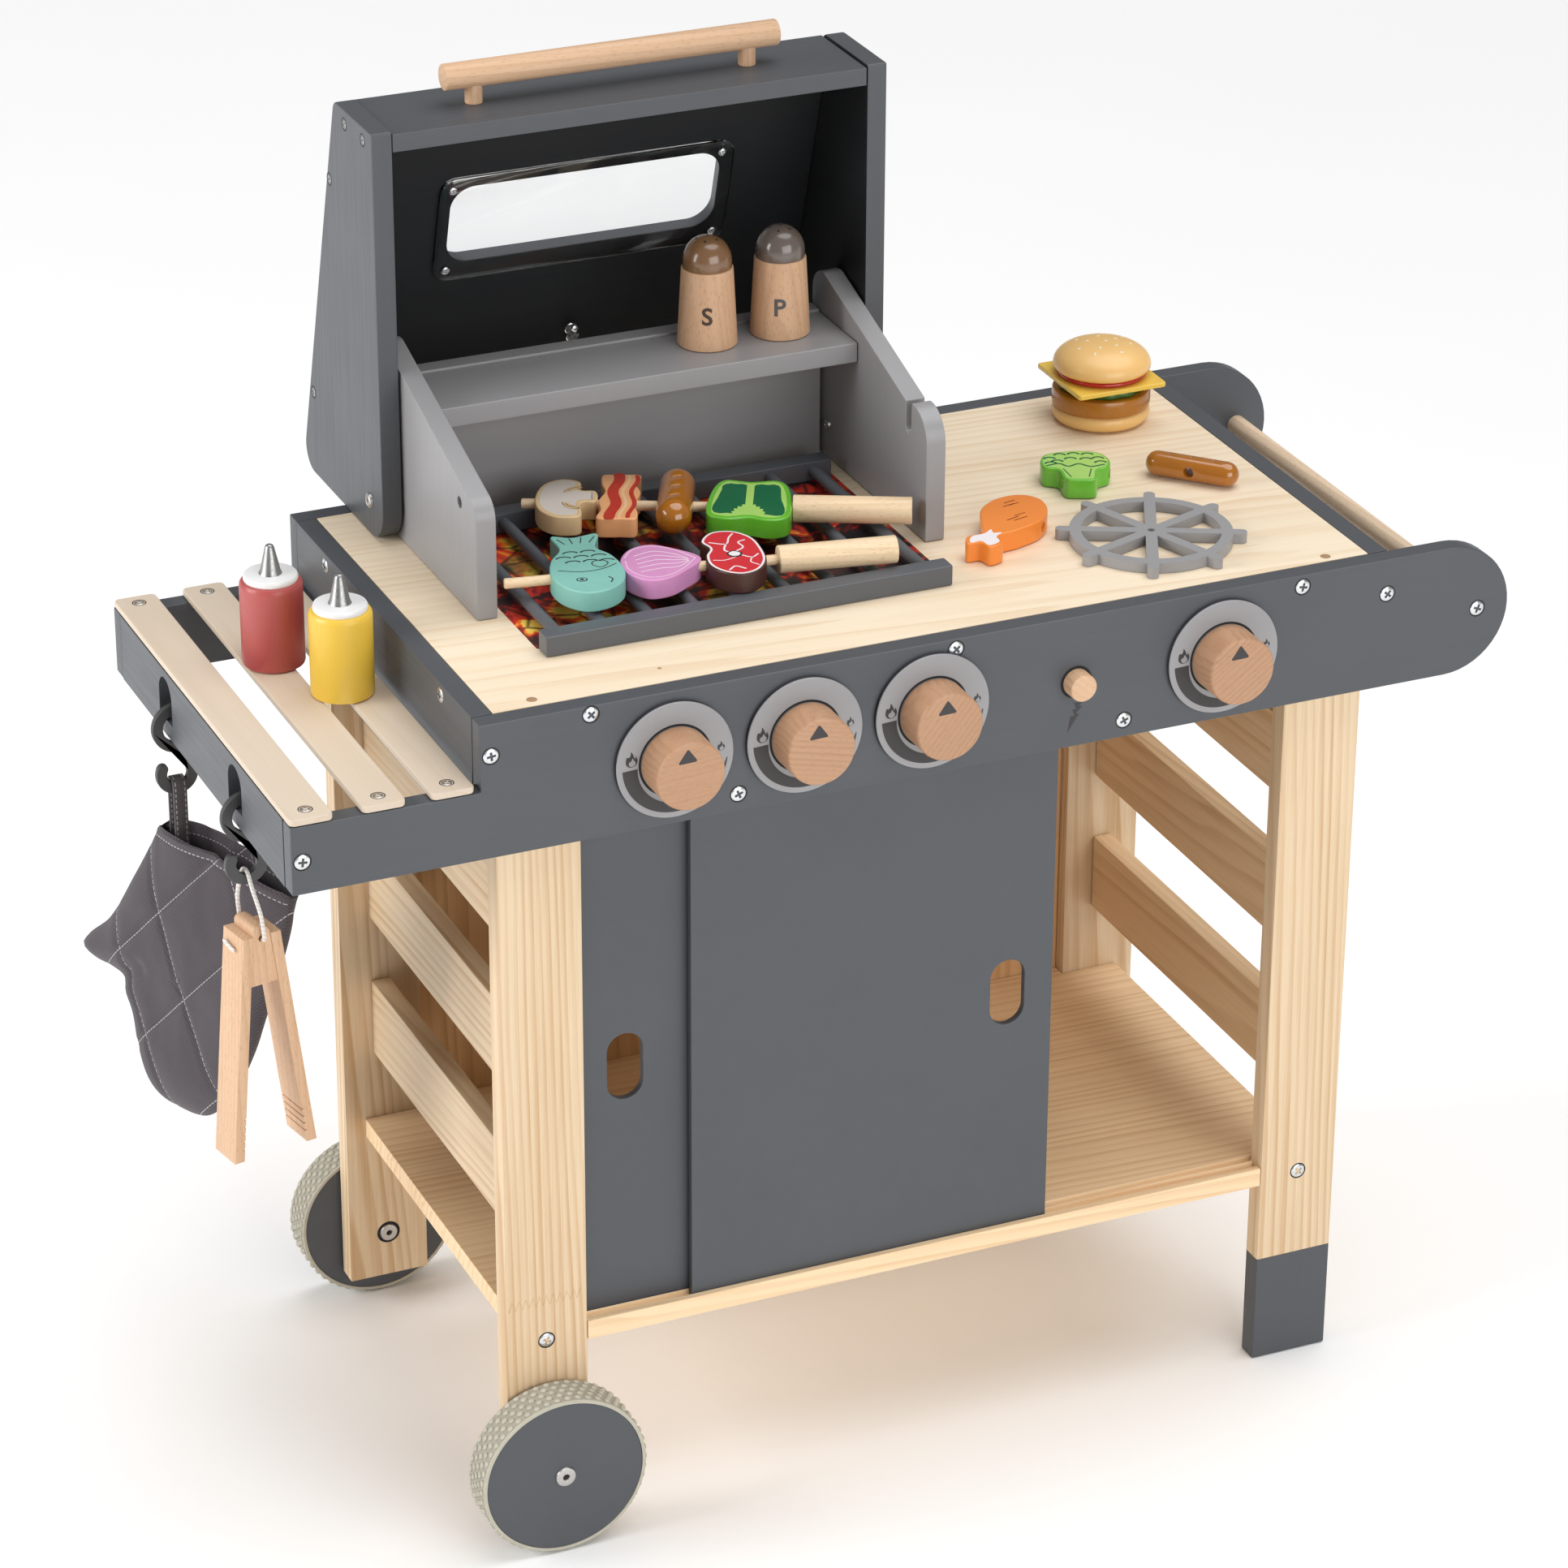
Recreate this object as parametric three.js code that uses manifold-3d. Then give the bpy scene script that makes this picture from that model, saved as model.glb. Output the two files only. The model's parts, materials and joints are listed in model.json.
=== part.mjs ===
// A toy barbecue grill on a wooden cart, in millimetres: X right, Y back, Z up, the floor at zero.
import * as THREE from 'three';
import { mergeVertices } from 'three/addons/utils/BufferGeometryUtils.js';
import Module from 'manifold-3d';

const wasm = await Module();
wasm.setup();

// Overall sizes
const BOARD_LENGTH = 730;
const BODY_DEPTH = 303;
const WORKTOP_HEIGHT = 520;
const BOARD = 12;
const FIT = 0.3;
const RUNNING_FIT = 0.1;
const OVERRUN = 3;
const ROUND_SIDES = 24;
const PIN_SIDES = 40;
const CURVE_STEPS = 6;

// Front and back boards with the lower tray on the left and the round tip on the right
const BOARD_HEIGHT = 79;
const TRAY_LENGTH = 106.25;
const TRAY_DROP = 39;
const BOX_LENGTH = 550.4;
const boardBottom = WORKTOP_HEIGHT - BOARD_HEIGHT;
const trayTop = WORKTOP_HEIGHT - TRAY_DROP;
const trayEnd = -BOARD_LENGTH / 2;
const stepX = trayEnd + TRAY_LENGTH;
const boxRight = stepX + BOX_LENGTH;
const tipRadius = BOARD_HEIGHT / 2;
const tipX = BOARD_LENGTH / 2 - tipRadius;
const tipZ = boardBottom + tipRadius;
const innerFront = BOARD + FIT;
const innerBack = BODY_DEPTH - BOARD - FIT;
const innerLeft = stepX + BOARD + FIT;
const innerRight = boxRight - BOARD - FIT;

// Legs, rails and wheels
const LEG_WIDTH = 49;
const LEG_THICK = 14;
const RAIL_HEIGHT = 49;
const RAIL_FIRST = 176;
const RAIL_PITCH = 91;
const RAIL_COUNT = 3;
const TYRE_RADIUS = 50.3;
const TYRE_THICK = 2.8;
const WHEEL_WIDTH = 23;
const WHEEL_GAP = 2.1;
const WHEEL_EDGE = 1;
const AXLE_RADIUS = 5;
const WHEEL_LEG_CUT = 21;
const legTop = WORKTOP_HEIGHT - BOARD - FIT;
const axleZ = TYRE_RADIUS;

// Shelf, doors and the batten that guides them
const SHELF_TOP = 132;
const SHELF_SIDE_INSET = 12;
const BACK_PANEL = 5;
const BACK_PANEL_LAP = 29;
const DOOR_THICK = 4.5;
const DOOR_WIDTH = 222.5;
const DOOR_PLAY = 0.4;
const TRACK_INSET = 4.7;
const TRACK_PITCH = 6.5;
const LOWER_GROOVE = 3;
const UPPER_GROOVE = 8;
const DOOR_HEADROOM = 1;
const BATTEN_HEIGHT = 20;
const BATTEN_BACK = 31;
const RIGHT_DOOR_LEFT = -132;
const FINGER_WIDTH = 21.3;
const FINGER_HEIGHT = 41;
const FINGER_Z = 284;
const FINGER_EDGE = 28;
const legInnerLeft = innerLeft + LEG_WIDTH;
const legInnerRight = innerRight - LEG_WIDTH;
const frontTrackY = innerFront + TRACK_INSET + DOOR_THICK / 2;
const rearTrackY = frontTrackY + TRACK_PITCH;

// Dials, knobs and the push button
const DIAL_RADIUS = 33.9;
const DIAL_THICK = 3;
const DIAL_ROW = [-149, -73, 3, 181.4];
const KNOB_RADIUS = 19.8;
const KNOB_LENGTH = 22.7;
const KNOB_EDGE = 1.6;
const KNOB_PIN_RADIUS = 3;
const KNOB_PIN_LENGTH = 13;
const BUTTON_X = 91.5;
const BUTTON_RADIUS = 8;
const BUTTON_PROUD = 10;
const BUTTON_COLLAR = 10.5;
const BUTTON_COLLAR_THICK = 2;
const BUTTON_TAIL_RADIUS = 3;
const BUTTON_TAIL = 6;
const BUTTON_CUP_WALL = 1.4;
const BUTTON_CUP_DEPTH = 18;

// Tray slats, hooks and their slots
const SLAT_WIDTH = 24.4;
const SLAT_THICK = 4;
const SLAT_CORNER = 3.5;
const SLAT_LEFTS = [-365, -324.7, -286.2];
const SLOT_WIDTH = 22;
const SLOT_LEDGE = 10;
const SLOT_HEAD = 5;
const HOOK_ROWS = [211, 91.5];
const HOOK_THICK = 4;
const HOOK_RING_RADIUS = 11.85;
const HOOK_RING_BAND = 6.3;
const HOOK_RING_DROP = 5.8;
const HOOK_CUP_RADIUS = 9;
const HOOK_CUP_DROP = 28.2;
const HOOK_CUP_SHIFT = 1.7;

// Grate, burner ring and push bar
const GRATE_LEFT = -195.5;
const GRATE_LENGTH = 241.5;
const GRATE_FRONT = 64.3;
const GRATE_DEPTH = 175.9;
const GRATE_ROD_RADIUS = 3.5;
const GRATE_ROD_PITCH = 27.3;
const GRATE_ROD_COUNT = 9;
const GRATE_ROD_Z = 7;
const BURNER_CLEAR = 52.9;
const BURNER_Y = 76.8;
const BURNER_RADIUS = 54;
const BURNER_RING = 43;
const BURNER_BAND = 6.6;
const BURNER_THICK = 6;
const BURNER_BORE = 2.2;
const BURNER_HUB = 7;
const BURNER_ARMS = 4;
const BURNER_TURN_ANGLE = 19.2;
const PUSH_BAR_RADIUS = 6;
const PUSH_BAR_X = 345;

// Cheeks, spice shelf and the hearth's back
const CHEEK_LEFT = -212.8;
const CHEEK_SPAN = 281.3;
const CHEEK_FRONT = 123;
const CHEEK_BACK = 281;
const CHEEK_FRONT_HEIGHT = 66.8;
const CHEEK_RISE_SHARE = 0.318;
const CHEEK_FRONT_ROUND = 13;
const CHEEK_BACK_ROUND = 14;
const SPIT_HOLE_RADIUS = 3.2;
const SPIT_Y = 147.8;
const SPIT_HEIGHT = 61;
const SPIT_SLOT_WIDTH = 7;
const SPIT_SLOT_ROUND = 3.4;
const SPIT_LOBE_HEIGHT = 77;
const SPIT_LOBE_ROUND = 19;
const SPICE_SHELF_TOP = 87;
const SPICE_SHELF_FRONT = 216;
const HEARTH_TOP = 88.5;
const cheekInnerLeft = CHEEK_LEFT + BOARD;
const cheekInnerRight = CHEEK_LEFT + CHEEK_SPAN - BOARD;
const besideCheek = CHEEK_LEFT + CHEEK_SPAN;
const burnerX = besideCheek + BURNER_CLEAR + BURNER_RADIUS;

// Lid
const LID_PIVOT_Y = 257;
const LID_PIVOT_HEIGHT = 21;
const LID_PIN_RADIUS = 4;
const LID_SIDE_GAP = 1.2;
const LID_HEIGHT = 244.5;
const LID_TOP_BACK = 298.4;
const LID_LEAN_ANGLE = 16.73;
const LID_FRONT_ROUND = 20;
const LID_TOP_ROUND = 7;
const LID_FOOT_ROUND = 14;
const LID_CREST_ROUND = 1.5;
const LID_PANEL = 11;
const LID_PANEL_FOOT = 14;
const WINDOW_LENGTH = 164;
const WINDOW_HEIGHT = 51.5;
const WINDOW_ROUND = 14;
const WINDOW_DROP = 56;
const LID_BAR_RADIUS = 7.5;
const LID_BAR_LENGTH = 200;
const LID_BAR_RISE = 16.5;
const LID_BAR_Y = 269;
const LID_PEG_RADIUS = 5;
const LID_PEG_SPAN = 164;
const lidPivotZ = WORKTOP_HEIGHT + LID_PIVOT_HEIGHT;
const lidFront = LID_PIVOT_Y - LID_PIVOT_HEIGHT + FIT;
const lidTop = WORKTOP_HEIGHT + LID_HEIGHT;
const lidLeft = CHEEK_LEFT - LID_SIDE_GAP - BOARD;
const lidRight = CHEEK_LEFT + CHEEK_SPAN + LID_SIDE_GAP + BOARD;
const lidMiddle = (lidLeft + lidRight) / 2;

// Bottles and shakers
const BOTTLE_PLACES = [[-308.5, 189], [-286.8, 136.8]];
const BOTTLE_RADIUS = 17.6;
const BOTTLE_BODY = 50;
const BOTTLE_SHOULDER = 3.5;
const BOTTLE_CAP_RADIUS = 15;
const BOTTLE_CAP = 3.5;
const NOZZLE_RADIUS = 6.5;
const NOZZLE_TIP_RADIUS = 2.2;
const NOZZLE_HEIGHT = 17;
const SHAKER_PLACES = [[-22.4, 250.5], [22.5, 250]];
const SHAKER_FOOT_RADIUS = 17.4;
const SHAKER_NECK_RADIUS = 14.9;
const SHAKER_BODY = 46;
const SHAKER_DOME_RADIUS = 14.8;
const SHAKER_DOME_WALL = 3.6;

// Burger: how far it stands from the right cheek and from the back
const BURGER_BESIDE = 161.5;
const BURGER_FROM_BACK = 54;
const BURGER_RADIUS = 29.2;
const BURGER_HEIGHT = 48.5;
const BURGER_CHEESE = 57;
const BURGER_CHEESE_Z = 25.5;
const BURGER_CHEESE_THICK = 3;
const BURGER_WAIST = 1.6;
const BURGER_LAYER_TOPS = [10, 20.5];

// Skewers and the food on them
const STICK_RADIUS = 3;
const STICK_LENGTH = 156;
const GRIP_RADIUS = 7.75;
const GRIP_START = 153;
const GRIP_END = 220;
const FOOD_THICK = 12;
const UPPER_SKEWER_TIP = [-149, 220.8];
const UPPER_SKEWER_ANGLE = -25.8;
const LOWER_SKEWER_TIP = [-197.4, 122.2];
const LOWER_SKEWER_ANGLE = -10.9;
const BANGER_RADIUS = 10.3;
const BANGER_SPAN = 41.5;
const BANGER_ALONG = 87;
const BANGER_ASIDE = 1;

// Each outline is in shares of its own length and width, from the place where its middle lies on the stick
const MUSHROOM = { along: 25, aside: 0, length: 34, width: 54 };
const MUSHROOM_SHARES = [
  [-0.5, 0.02], [-0.38, 0.36], [-0.08, 0.49], [0.2, 0.42], [0.24, 0.21], [0.48, 0.19],
  [0.5, -0.08], [0.28, -0.1], [0.29, -0.46], [-0.1, -0.5], [-0.4, -0.32],
];
const BACON = { along: 55.4, aside: 3, length: 23, width: 62 };
const BACON_SHARES = [
  [-0.48, 0.49], [-0.1, 0.5], [0.44, 0.5], [0.36, 0.3], [0.5, 0.1], [0.38, -0.15], [0.5, -0.35],
  [0.46, -0.49], [0.1, -0.5], [-0.48, -0.49], [-0.42, -0.3], [-0.5, -0.1], [-0.38, 0.12], [-0.5, 0.3],
];
const PEPPER = { along: 128.6, aside: 1, length: 48, width: 57 };
const PEPPER_SHARES = [
  [-0.3, 0.5], [0, 0.46], [0.3, 0.5], [0.42, 0.4], [0.5, -0.25], [0.44, -0.42], [0.25, -0.48],
  [0, -0.42], [-0.25, -0.46], [-0.46, -0.38], [-0.5, -0.2], [-0.4, 0.4],
];
const FISH = { along: 46, aside: 9, length: 43, width: 81 };
const FISH_SHARES = [
  [-0.27, 0.5], [0, 0.45], [0.36, 0.49], [0.26, 0.26], [0.42, 0.1], [0.5, -0.15], [0.4, -0.36],
  [0.15, -0.48], [-0.15, -0.5], [-0.4, -0.37], [-0.5, -0.16], [-0.42, 0.08], [-0.24, 0.26],
];
const ONION = { along: 88, aside: 2, length: 45, width: 48 };
const ONION_SHARES = [
  [-0.46, 0.2], [-0.3, 0.42], [-0.05, 0.5], [0.2, 0.36], [0.5, 0.02], [0.25, -0.28], [0, -0.46],
  [-0.25, -0.48], [-0.44, -0.28], [-0.5, -0.04],
];
const STEAK = { along: 129, aside: 5, length: 34, width: 59 };
const STEAK_SHARES = [
  [-0.2, 0.5], [0.15, 0.5], [0.42, 0.33], [0.5, 0.05], [0.46, -0.24], [0.25, -0.44], [-0.02, -0.5],
  [-0.3, -0.42], [-0.48, -0.24], [-0.47, -0.02], [-0.36, 0.13], [-0.44, 0.3],
];

// Loose food on the worktop, with x counted from the right cheek
const BROCCOLI = { x: 103, y: 164, turn_angle: -20, length: 40, width: 43 };
const BROCCOLI_SHARES = [
  [-0.5, 0.2], [-0.4, 0.4], [-0.15, 0.48], [0.12, 0.5], [0.38, 0.42], [0.5, 0.2], [0.47, -0.05],
  [0.3, -0.18], [0.22, -0.48], [0, -0.5], [-0.2, -0.46], [-0.28, -0.14], [-0.47, -0.05],
];
const DRUMSTICK = { x: 31, y: 109.5, turn_angle: 43, length: 78, width: 37 };
const DRUMSTICK_SHARES = [
  [-0.5, 0.2], [-0.44, 0.04], [-0.49, -0.16], [-0.38, -0.28], [-0.27, -0.14], [-0.12, -0.32], [0.1, -0.5],
  [0.32, -0.44], [0.47, -0.18], [0.48, 0.14], [0.34, 0.42], [0.12, 0.49], [-0.1, 0.3], [-0.28, 0.14],
  [-0.38, 0.3],
];
const FRANK_RADIUS = 7.3;
const FRANK_START = [153.2, 158.3];
const FRANK_END = [181.7, 127.9];
const FRANK_HOLE_RADIUS = 3.1;

// Oven mitt, hanging from the back hook
const MITT_TURN_ANGLE = -71;
const MITT_WIDTH = 200;
const MITT_HEIGHT = 178;
const MITT_TOP_DROP = 39;
const MITT_MIDDLE = 3;
const MITT_THICK = 25;
const MITT_PUFF_SHARES = [0, 0.45, 0.72, 0.88, 0.97, 1];
const MITT_PUFF_POWER = 6;
const TAPE_LAP = 24;
const MITT_SHARES = [
  [-0.1, 0.5], [-0.22, 0.287], [-0.36, 0.065], [-0.465, -0.039], [-0.495, -0.087], [-0.45, -0.115],
  [-0.305, -0.124], [-0.288, -0.174], [-0.26, -0.236], [-0.245, -0.348], [-0.202, -0.449], [-0.14, -0.497],
  [-0.04, -0.5], [0.06, -0.478], [0.16, -0.371], [0.27, -0.174], [0.365, 0.079], [0.462, 0.351], [0.5, 0.5],
];
const TAPE_WIDTH = 8;
const TAPE_THICK = 2.2;
const TAPE_GAP = 7.2;
const TAPE_RISE = 2;

// Tongs, hanging from the front hook
const TONGS_TURN_ANGLE = 11;
const TONGS_WIDTH = 22;
const TONGS_BLOCK_DROP = 70.3;
const TONGS_SOLE_DROP = 176;
const TONGS_CROWN_DROP = 34.5;
const TONGS_SHOULDER_DROP = 40;
const TONGS_ARM = 6.2;
const TONGS_LEFT_TOP = -9.5;
const TONGS_LEFT_FOOT = -20.9;
const TONGS_RIGHT_TOP = 13.6;
const TONGS_RIGHT_FOOT = 31;
const TONGS_CROWN_ROUND = 6;
const TONGS_HOLE_RADIUS = 1.9;
const TONGS_HOLE_X = 2.2;
const TONGS_HOLE_DROP = 42.3;
const CORD_RADIUS = 1.2;
const CORD_SIDES = 8;
const CORD_STEPS = 44;

// The cord's route from the front mouth of the hole over the hook to the back mouth
const CORD_ROUTE = [
  [2.2, -11.3, 374.7], [2.2, -12.6, 375], [2.1, -13.3, 377], [1.5, -13.4, 383], [0.8, -13, 390],
  [-0.2, -10.5, 398], [-0.8, -7.4, 404.5], [-0.9, -5.2, 409], [-0.8, -3.2, 412.2], [-0.5, 0, 413.4],
  [-0.4, 3.2, 412.2], [-0.2, 5.2, 409], [0, 7.4, 404.5], [0.4, 10.5, 398], [1, 13, 390],
  [1.6, 13.4, 383], [2.1, 13.3, 377], [2.2, 12.6, 375], [2.2, 11.3, 374.7],
];

// Paints, woods and cloth
function surface(color, roughness, metalness = 0) {
  return () => new THREE.MeshStandardMaterial({ color, roughness, metalness });
}
const darkPaint = surface(0x50565b, 0.55);
const greyPaint = surface(0x8b8b8e, 0.5);
const pine = surface(0xe8cfa4, 0.6);
const beech = surface(0xdcb48a, 0.55);
const plywood = surface(0xe9d2ac, 0.6);
const rubber = surface(0xb9b8a8, 0.8);
const blackMetal = surface(0x4c5054, 0.5);
const redPaint = surface(0xb84f47, 0.45);
const yellowPaint = surface(0xecc22f, 0.45);
const bunPaint = surface(0xe3a65a, 0.4);
const greenPaint = surface(0x4fae3e, 0.4);
const brownPaint = surface(0xa8662a, 0.3);
const orangePaint = surface(0xe8822c, 0.4);
const cloth = surface(0x5d565b, 0.9);
const cordWhite = surface(0xd8d2cf, 0.8);

// Solids are closed meshes with shared corners, so that they can be joined and cut
function toSolid(geometry) {
  const bare = geometry.clone();
  bare.deleteAttribute('normal');
  bare.deleteAttribute('uv');
  const merged = mergeVertices(bare);
  const corners = merged.index.array;
  const triangles = [];
  for (let i = 0; i < corners.length; i += 3) {
    const [a, b, c] = corners.slice(i, i + 3);
    if (a !== b && b !== c && a !== c) triangles.push(a, b, c);
  }
  return new wasm.Manifold(new wasm.Mesh({
    numProp: 3,
    vertProperties: new Float32Array(merged.attributes.position.array),
    triVerts: new Uint32Array(triangles),
  }));
}

function toGeometry(solid) {
  const mesh = solid.getMesh();
  const geometry = new THREE.BufferGeometry();
  geometry.setAttribute('position', new THREE.BufferAttribute(new Float32Array(mesh.vertProperties), 3));
  geometry.setIndex(new THREE.BufferAttribute(new Uint32Array(mesh.triVerts), 1));
  const facets = geometry.toNonIndexed();
  facets.computeVertexNormals();
  return facets;
}

function joined(...solids) {
  return solids.reduce((whole, next) => whole.add(next));
}

function cut(solid, ...cutters) {
  return cutters.reduce((whole, next) => whole.subtract(next), solid);
}

function block(x0, x1, y0, y1, z0, z1) {
  const geometry = new THREE.BoxGeometry(x1 - x0, y1 - y0, z1 - z0);
  geometry.translate((x0 + x1) / 2, (y0 + y1) / 2, (z0 + z1) / 2);
  return toSolid(geometry);
}

function rod(from, to, radius, sides = ROUND_SIDES) {
  const start = new THREE.Vector3(...from);
  const end = new THREE.Vector3(...to);
  const along = end.clone().sub(start);
  const geometry = new THREE.CylinderGeometry(radius, radius, along.length(), sides);
  const turn = new THREE.Quaternion().setFromUnitVectors(new THREE.Vector3(0, 1, 0), along.normalize());
  geometry.applyQuaternion(turn);
  geometry.translate(...start.add(end).divideScalar(2).toArray());
  return toSolid(geometry);
}

// An outline whose corners are [across, up, radius]
function roundedOutline(corners) {
  const shape = new THREE.Shape();
  corners.forEach(([x, y, radius = 0], index) => {
    const corner = new THREE.Vector2(x, y);
    const [bx, by] = corners[(index + corners.length - 1) % corners.length];
    const [ax, ay] = corners[(index + 1) % corners.length];
    const before = new THREE.Vector2(bx, by).sub(corner).normalize();
    const after = new THREE.Vector2(ax, ay).sub(corner).normalize();
    const halfAngle = Math.acos(before.dot(after)) / 2;
    const reach = radius / Math.tan(halfAngle);
    const start = before.clone().multiplyScalar(reach).add(corner);
    const end = after.clone().multiplyScalar(reach).add(corner);
    if (index === 0) shape.moveTo(start.x, start.y);
    else shape.lineTo(start.x, start.y);
    if (radius === 0) return;
    const centre = before.clone().add(after).normalize();
    centre.multiplyScalar(radius / Math.sin(halfAngle)).add(corner);
    const fromAngle = Math.atan2(start.y - centre.y, start.x - centre.x);
    const toAngle = Math.atan2(end.y - centre.y, end.x - centre.x);
    shape.absarc(centre.x, centre.y, radius, fromAngle, toAngle, before.cross(after) > 0);
  });
  shape.closePath();
  return shape;
}

// A smooth closed outline through points given in shares of a length and a width
function smoothOutline(shares, length, width) {
  const points = shares.map(([u, v]) => new THREE.Vector3(u * length, v * width, 0));
  const curve = new THREE.CatmullRomCurve3(points, true, 'centripetal');
  const ring = curve.getPoints(shares.length * 3).slice(1);
  return new THREE.Shape(ring.map((point) => new THREE.Vector2(point.x, point.y)));
}

function slab(shape, thick) {
  return new THREE.ExtrudeGeometry(shape, { depth: thick, bevelEnabled: false, curveSegments: CURVE_STEPS });
}

// An outline in X and Z made a board from one Y to another
function boardAlongY(shape, y0, y1) {
  const geometry = slab(shape, y1 - y0);
  geometry.rotateX(Math.PI / 2);
  geometry.translate(0, y1, 0);
  return toSolid(geometry);
}

// An outline in Y and Z made a board from one X to another
function boardAlongX(shape, x0, x1) {
  const geometry = slab(shape, x1 - x0);
  const across = new THREE.Vector3(0, 1, 0);
  const up = new THREE.Vector3(0, 0, 1);
  const along = new THREE.Vector3(1, 0, 0);
  geometry.applyMatrix4(new THREE.Matrix4().makeBasis(across, up, along));
  geometry.translate(x0, 0, 0);
  return toSolid(geometry);
}

function boardAlongZ(shape, z0, z1) {
  const geometry = slab(shape, z1 - z0);
  geometry.translate(0, 0, z0);
  return toSolid(geometry);
}

// A turned shape from [radius, height] points, listed from the foot's middle outwards and up
function turned(profile, sides = ROUND_SIDES) {
  const points = profile.map(([radius, height]) => new THREE.Vector2(radius, height));
  return new THREE.LatheGeometry(points, sides);
}

function turnedAlongY(profile, x, y, z, sides = ROUND_SIDES) {
  const geometry = turned(profile, sides);
  geometry.translate(x, y, z);
  return toSolid(geometry);
}

function turnedUpright(profile, x, y, z) {
  const geometry = turned(profile);
  geometry.rotateX(Math.PI / 2);
  geometry.translate(x, y, z);
  return toSolid(geometry);
}

function placed(geometry, x, y, z, degrees) {
  geometry.rotateZ(THREE.MathUtils.degToRad(degrees));
  geometry.translate(x, y, z);
  return geometry;
}

const group = new THREE.Group();
function add(name, solid, material) {
  const mesh = new THREE.Mesh(toGeometry(solid), material());
  mesh.name = name;
  group.add(mesh);
}

// Front and back boards
function longBoard(y0, y1) {
  const shape = new THREE.Shape();
  shape.moveTo(trayEnd, boardBottom);
  shape.lineTo(tipX, boardBottom);
  shape.absarc(tipX, tipZ, tipRadius, -Math.PI / 2, Math.PI / 2, false);
  shape.lineTo(stepX, WORKTOP_HEIGHT);
  shape.lineTo(stepX, trayTop);
  shape.lineTo(trayEnd, trayTop);
  shape.closePath();
  return boardAlongY(shape, y0, y1);
}

function grooves(z0, z1) {
  const half = DOOR_THICK / 2 + DOOR_PLAY;
  const left = legInnerLeft - OVERRUN;
  const right = legInnerRight + OVERRUN;
  return [frontTrackY, rearTrackY].map((y) => block(left, right, y - half, y + half, z0, z1));
}

function battenBehindBoard() {
  const left = legInnerLeft + FIT;
  const right = legInnerRight - FIT;
  const batten = block(left, right, BOARD / 2, BATTEN_BACK, boardBottom, boardBottom + BATTEN_HEIGHT);
  return cut(batten, ...grooves(boardBottom - OVERRUN, boardBottom + UPPER_GROOVE));
}

function buttonCup() {
  const inside = BUTTON_COLLAR + FIT;
  const back = BOARD + BUTTON_CUP_DEPTH;
  const outer = rod([BUTTON_X, BOARD / 2, tipZ], [BUTTON_X, back, tipZ], inside + BUTTON_CUP_WALL);
  const inner = rod([BUTTON_X, BOARD, tipZ], [BUTTON_X, back - BUTTON_COLLAR_THICK, tipZ], inside);
  return [outer, inner];
}

const [cupOuter, cupInner] = buttonCup();
const buttonHole = rod([BUTTON_X, -OVERRUN, tipZ], [BUTTON_X, BOARD + OVERRUN, tipZ], BUTTON_RADIUS + FIT);
const knobPins = DIAL_ROW.map((x) => joined(
  rod([x, -DIAL_THICK, tipZ], [x, OVERRUN, tipZ], DIAL_RADIUS),
  rod([x, -DIAL_THICK - KNOB_PIN_LENGTH, tipZ], [x, OVERRUN, tipZ], KNOB_PIN_RADIUS, PIN_SIDES),
));
const frontBoard = joined(longBoard(0, BOARD), battenBehindBoard(), cupOuter, ...knobPins);
add('front_board', cut(frontBoard, cupInner, buttonHole), darkPaint);
add('back_board', longBoard(BODY_DEPTH - BOARD, BODY_DEPTH), darkPaint);

// Boards across the body
function hookSlot(y) {
  const half = SLOT_WIDTH / 2;
  const foot = boardBottom + SLOT_LEDGE;
  const head = trayTop - SLOT_HEAD;
  const shape = roundedOutline([
    [y - half, foot], [y + half, foot], [y + half, head, half - FIT], [y - half, head, half - FIT],
  ]);
  return boardAlongX(shape, trayEnd - OVERRUN, trayEnd + BOARD + OVERRUN);
}

const trayEndBoard = block(trayEnd, trayEnd + BOARD, innerFront, innerBack, boardBottom, trayTop);
add('tray_end_board', cut(trayEndBoard, ...HOOK_ROWS.map(hookSlot)), darkPaint);
add('left_end_board', block(stepX, stepX + BOARD, innerFront, innerBack, boardBottom, WORKTOP_HEIGHT), darkPaint);
add('right_end_board', block(boxRight - BOARD, boxRight, innerFront, innerBack, boardBottom, WORKTOP_HEIGHT), darkPaint);
const worktop = block(innerLeft, innerRight, innerFront, innerBack, WORKTOP_HEIGHT - BOARD, WORKTOP_HEIGHT);
add('worktop', worktop, pine);
add('push_handle', rod([PUSH_BAR_X, innerFront, tipZ], [PUSH_BAR_X, innerBack, tipZ], PUSH_BAR_RADIUS), beech);

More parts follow.
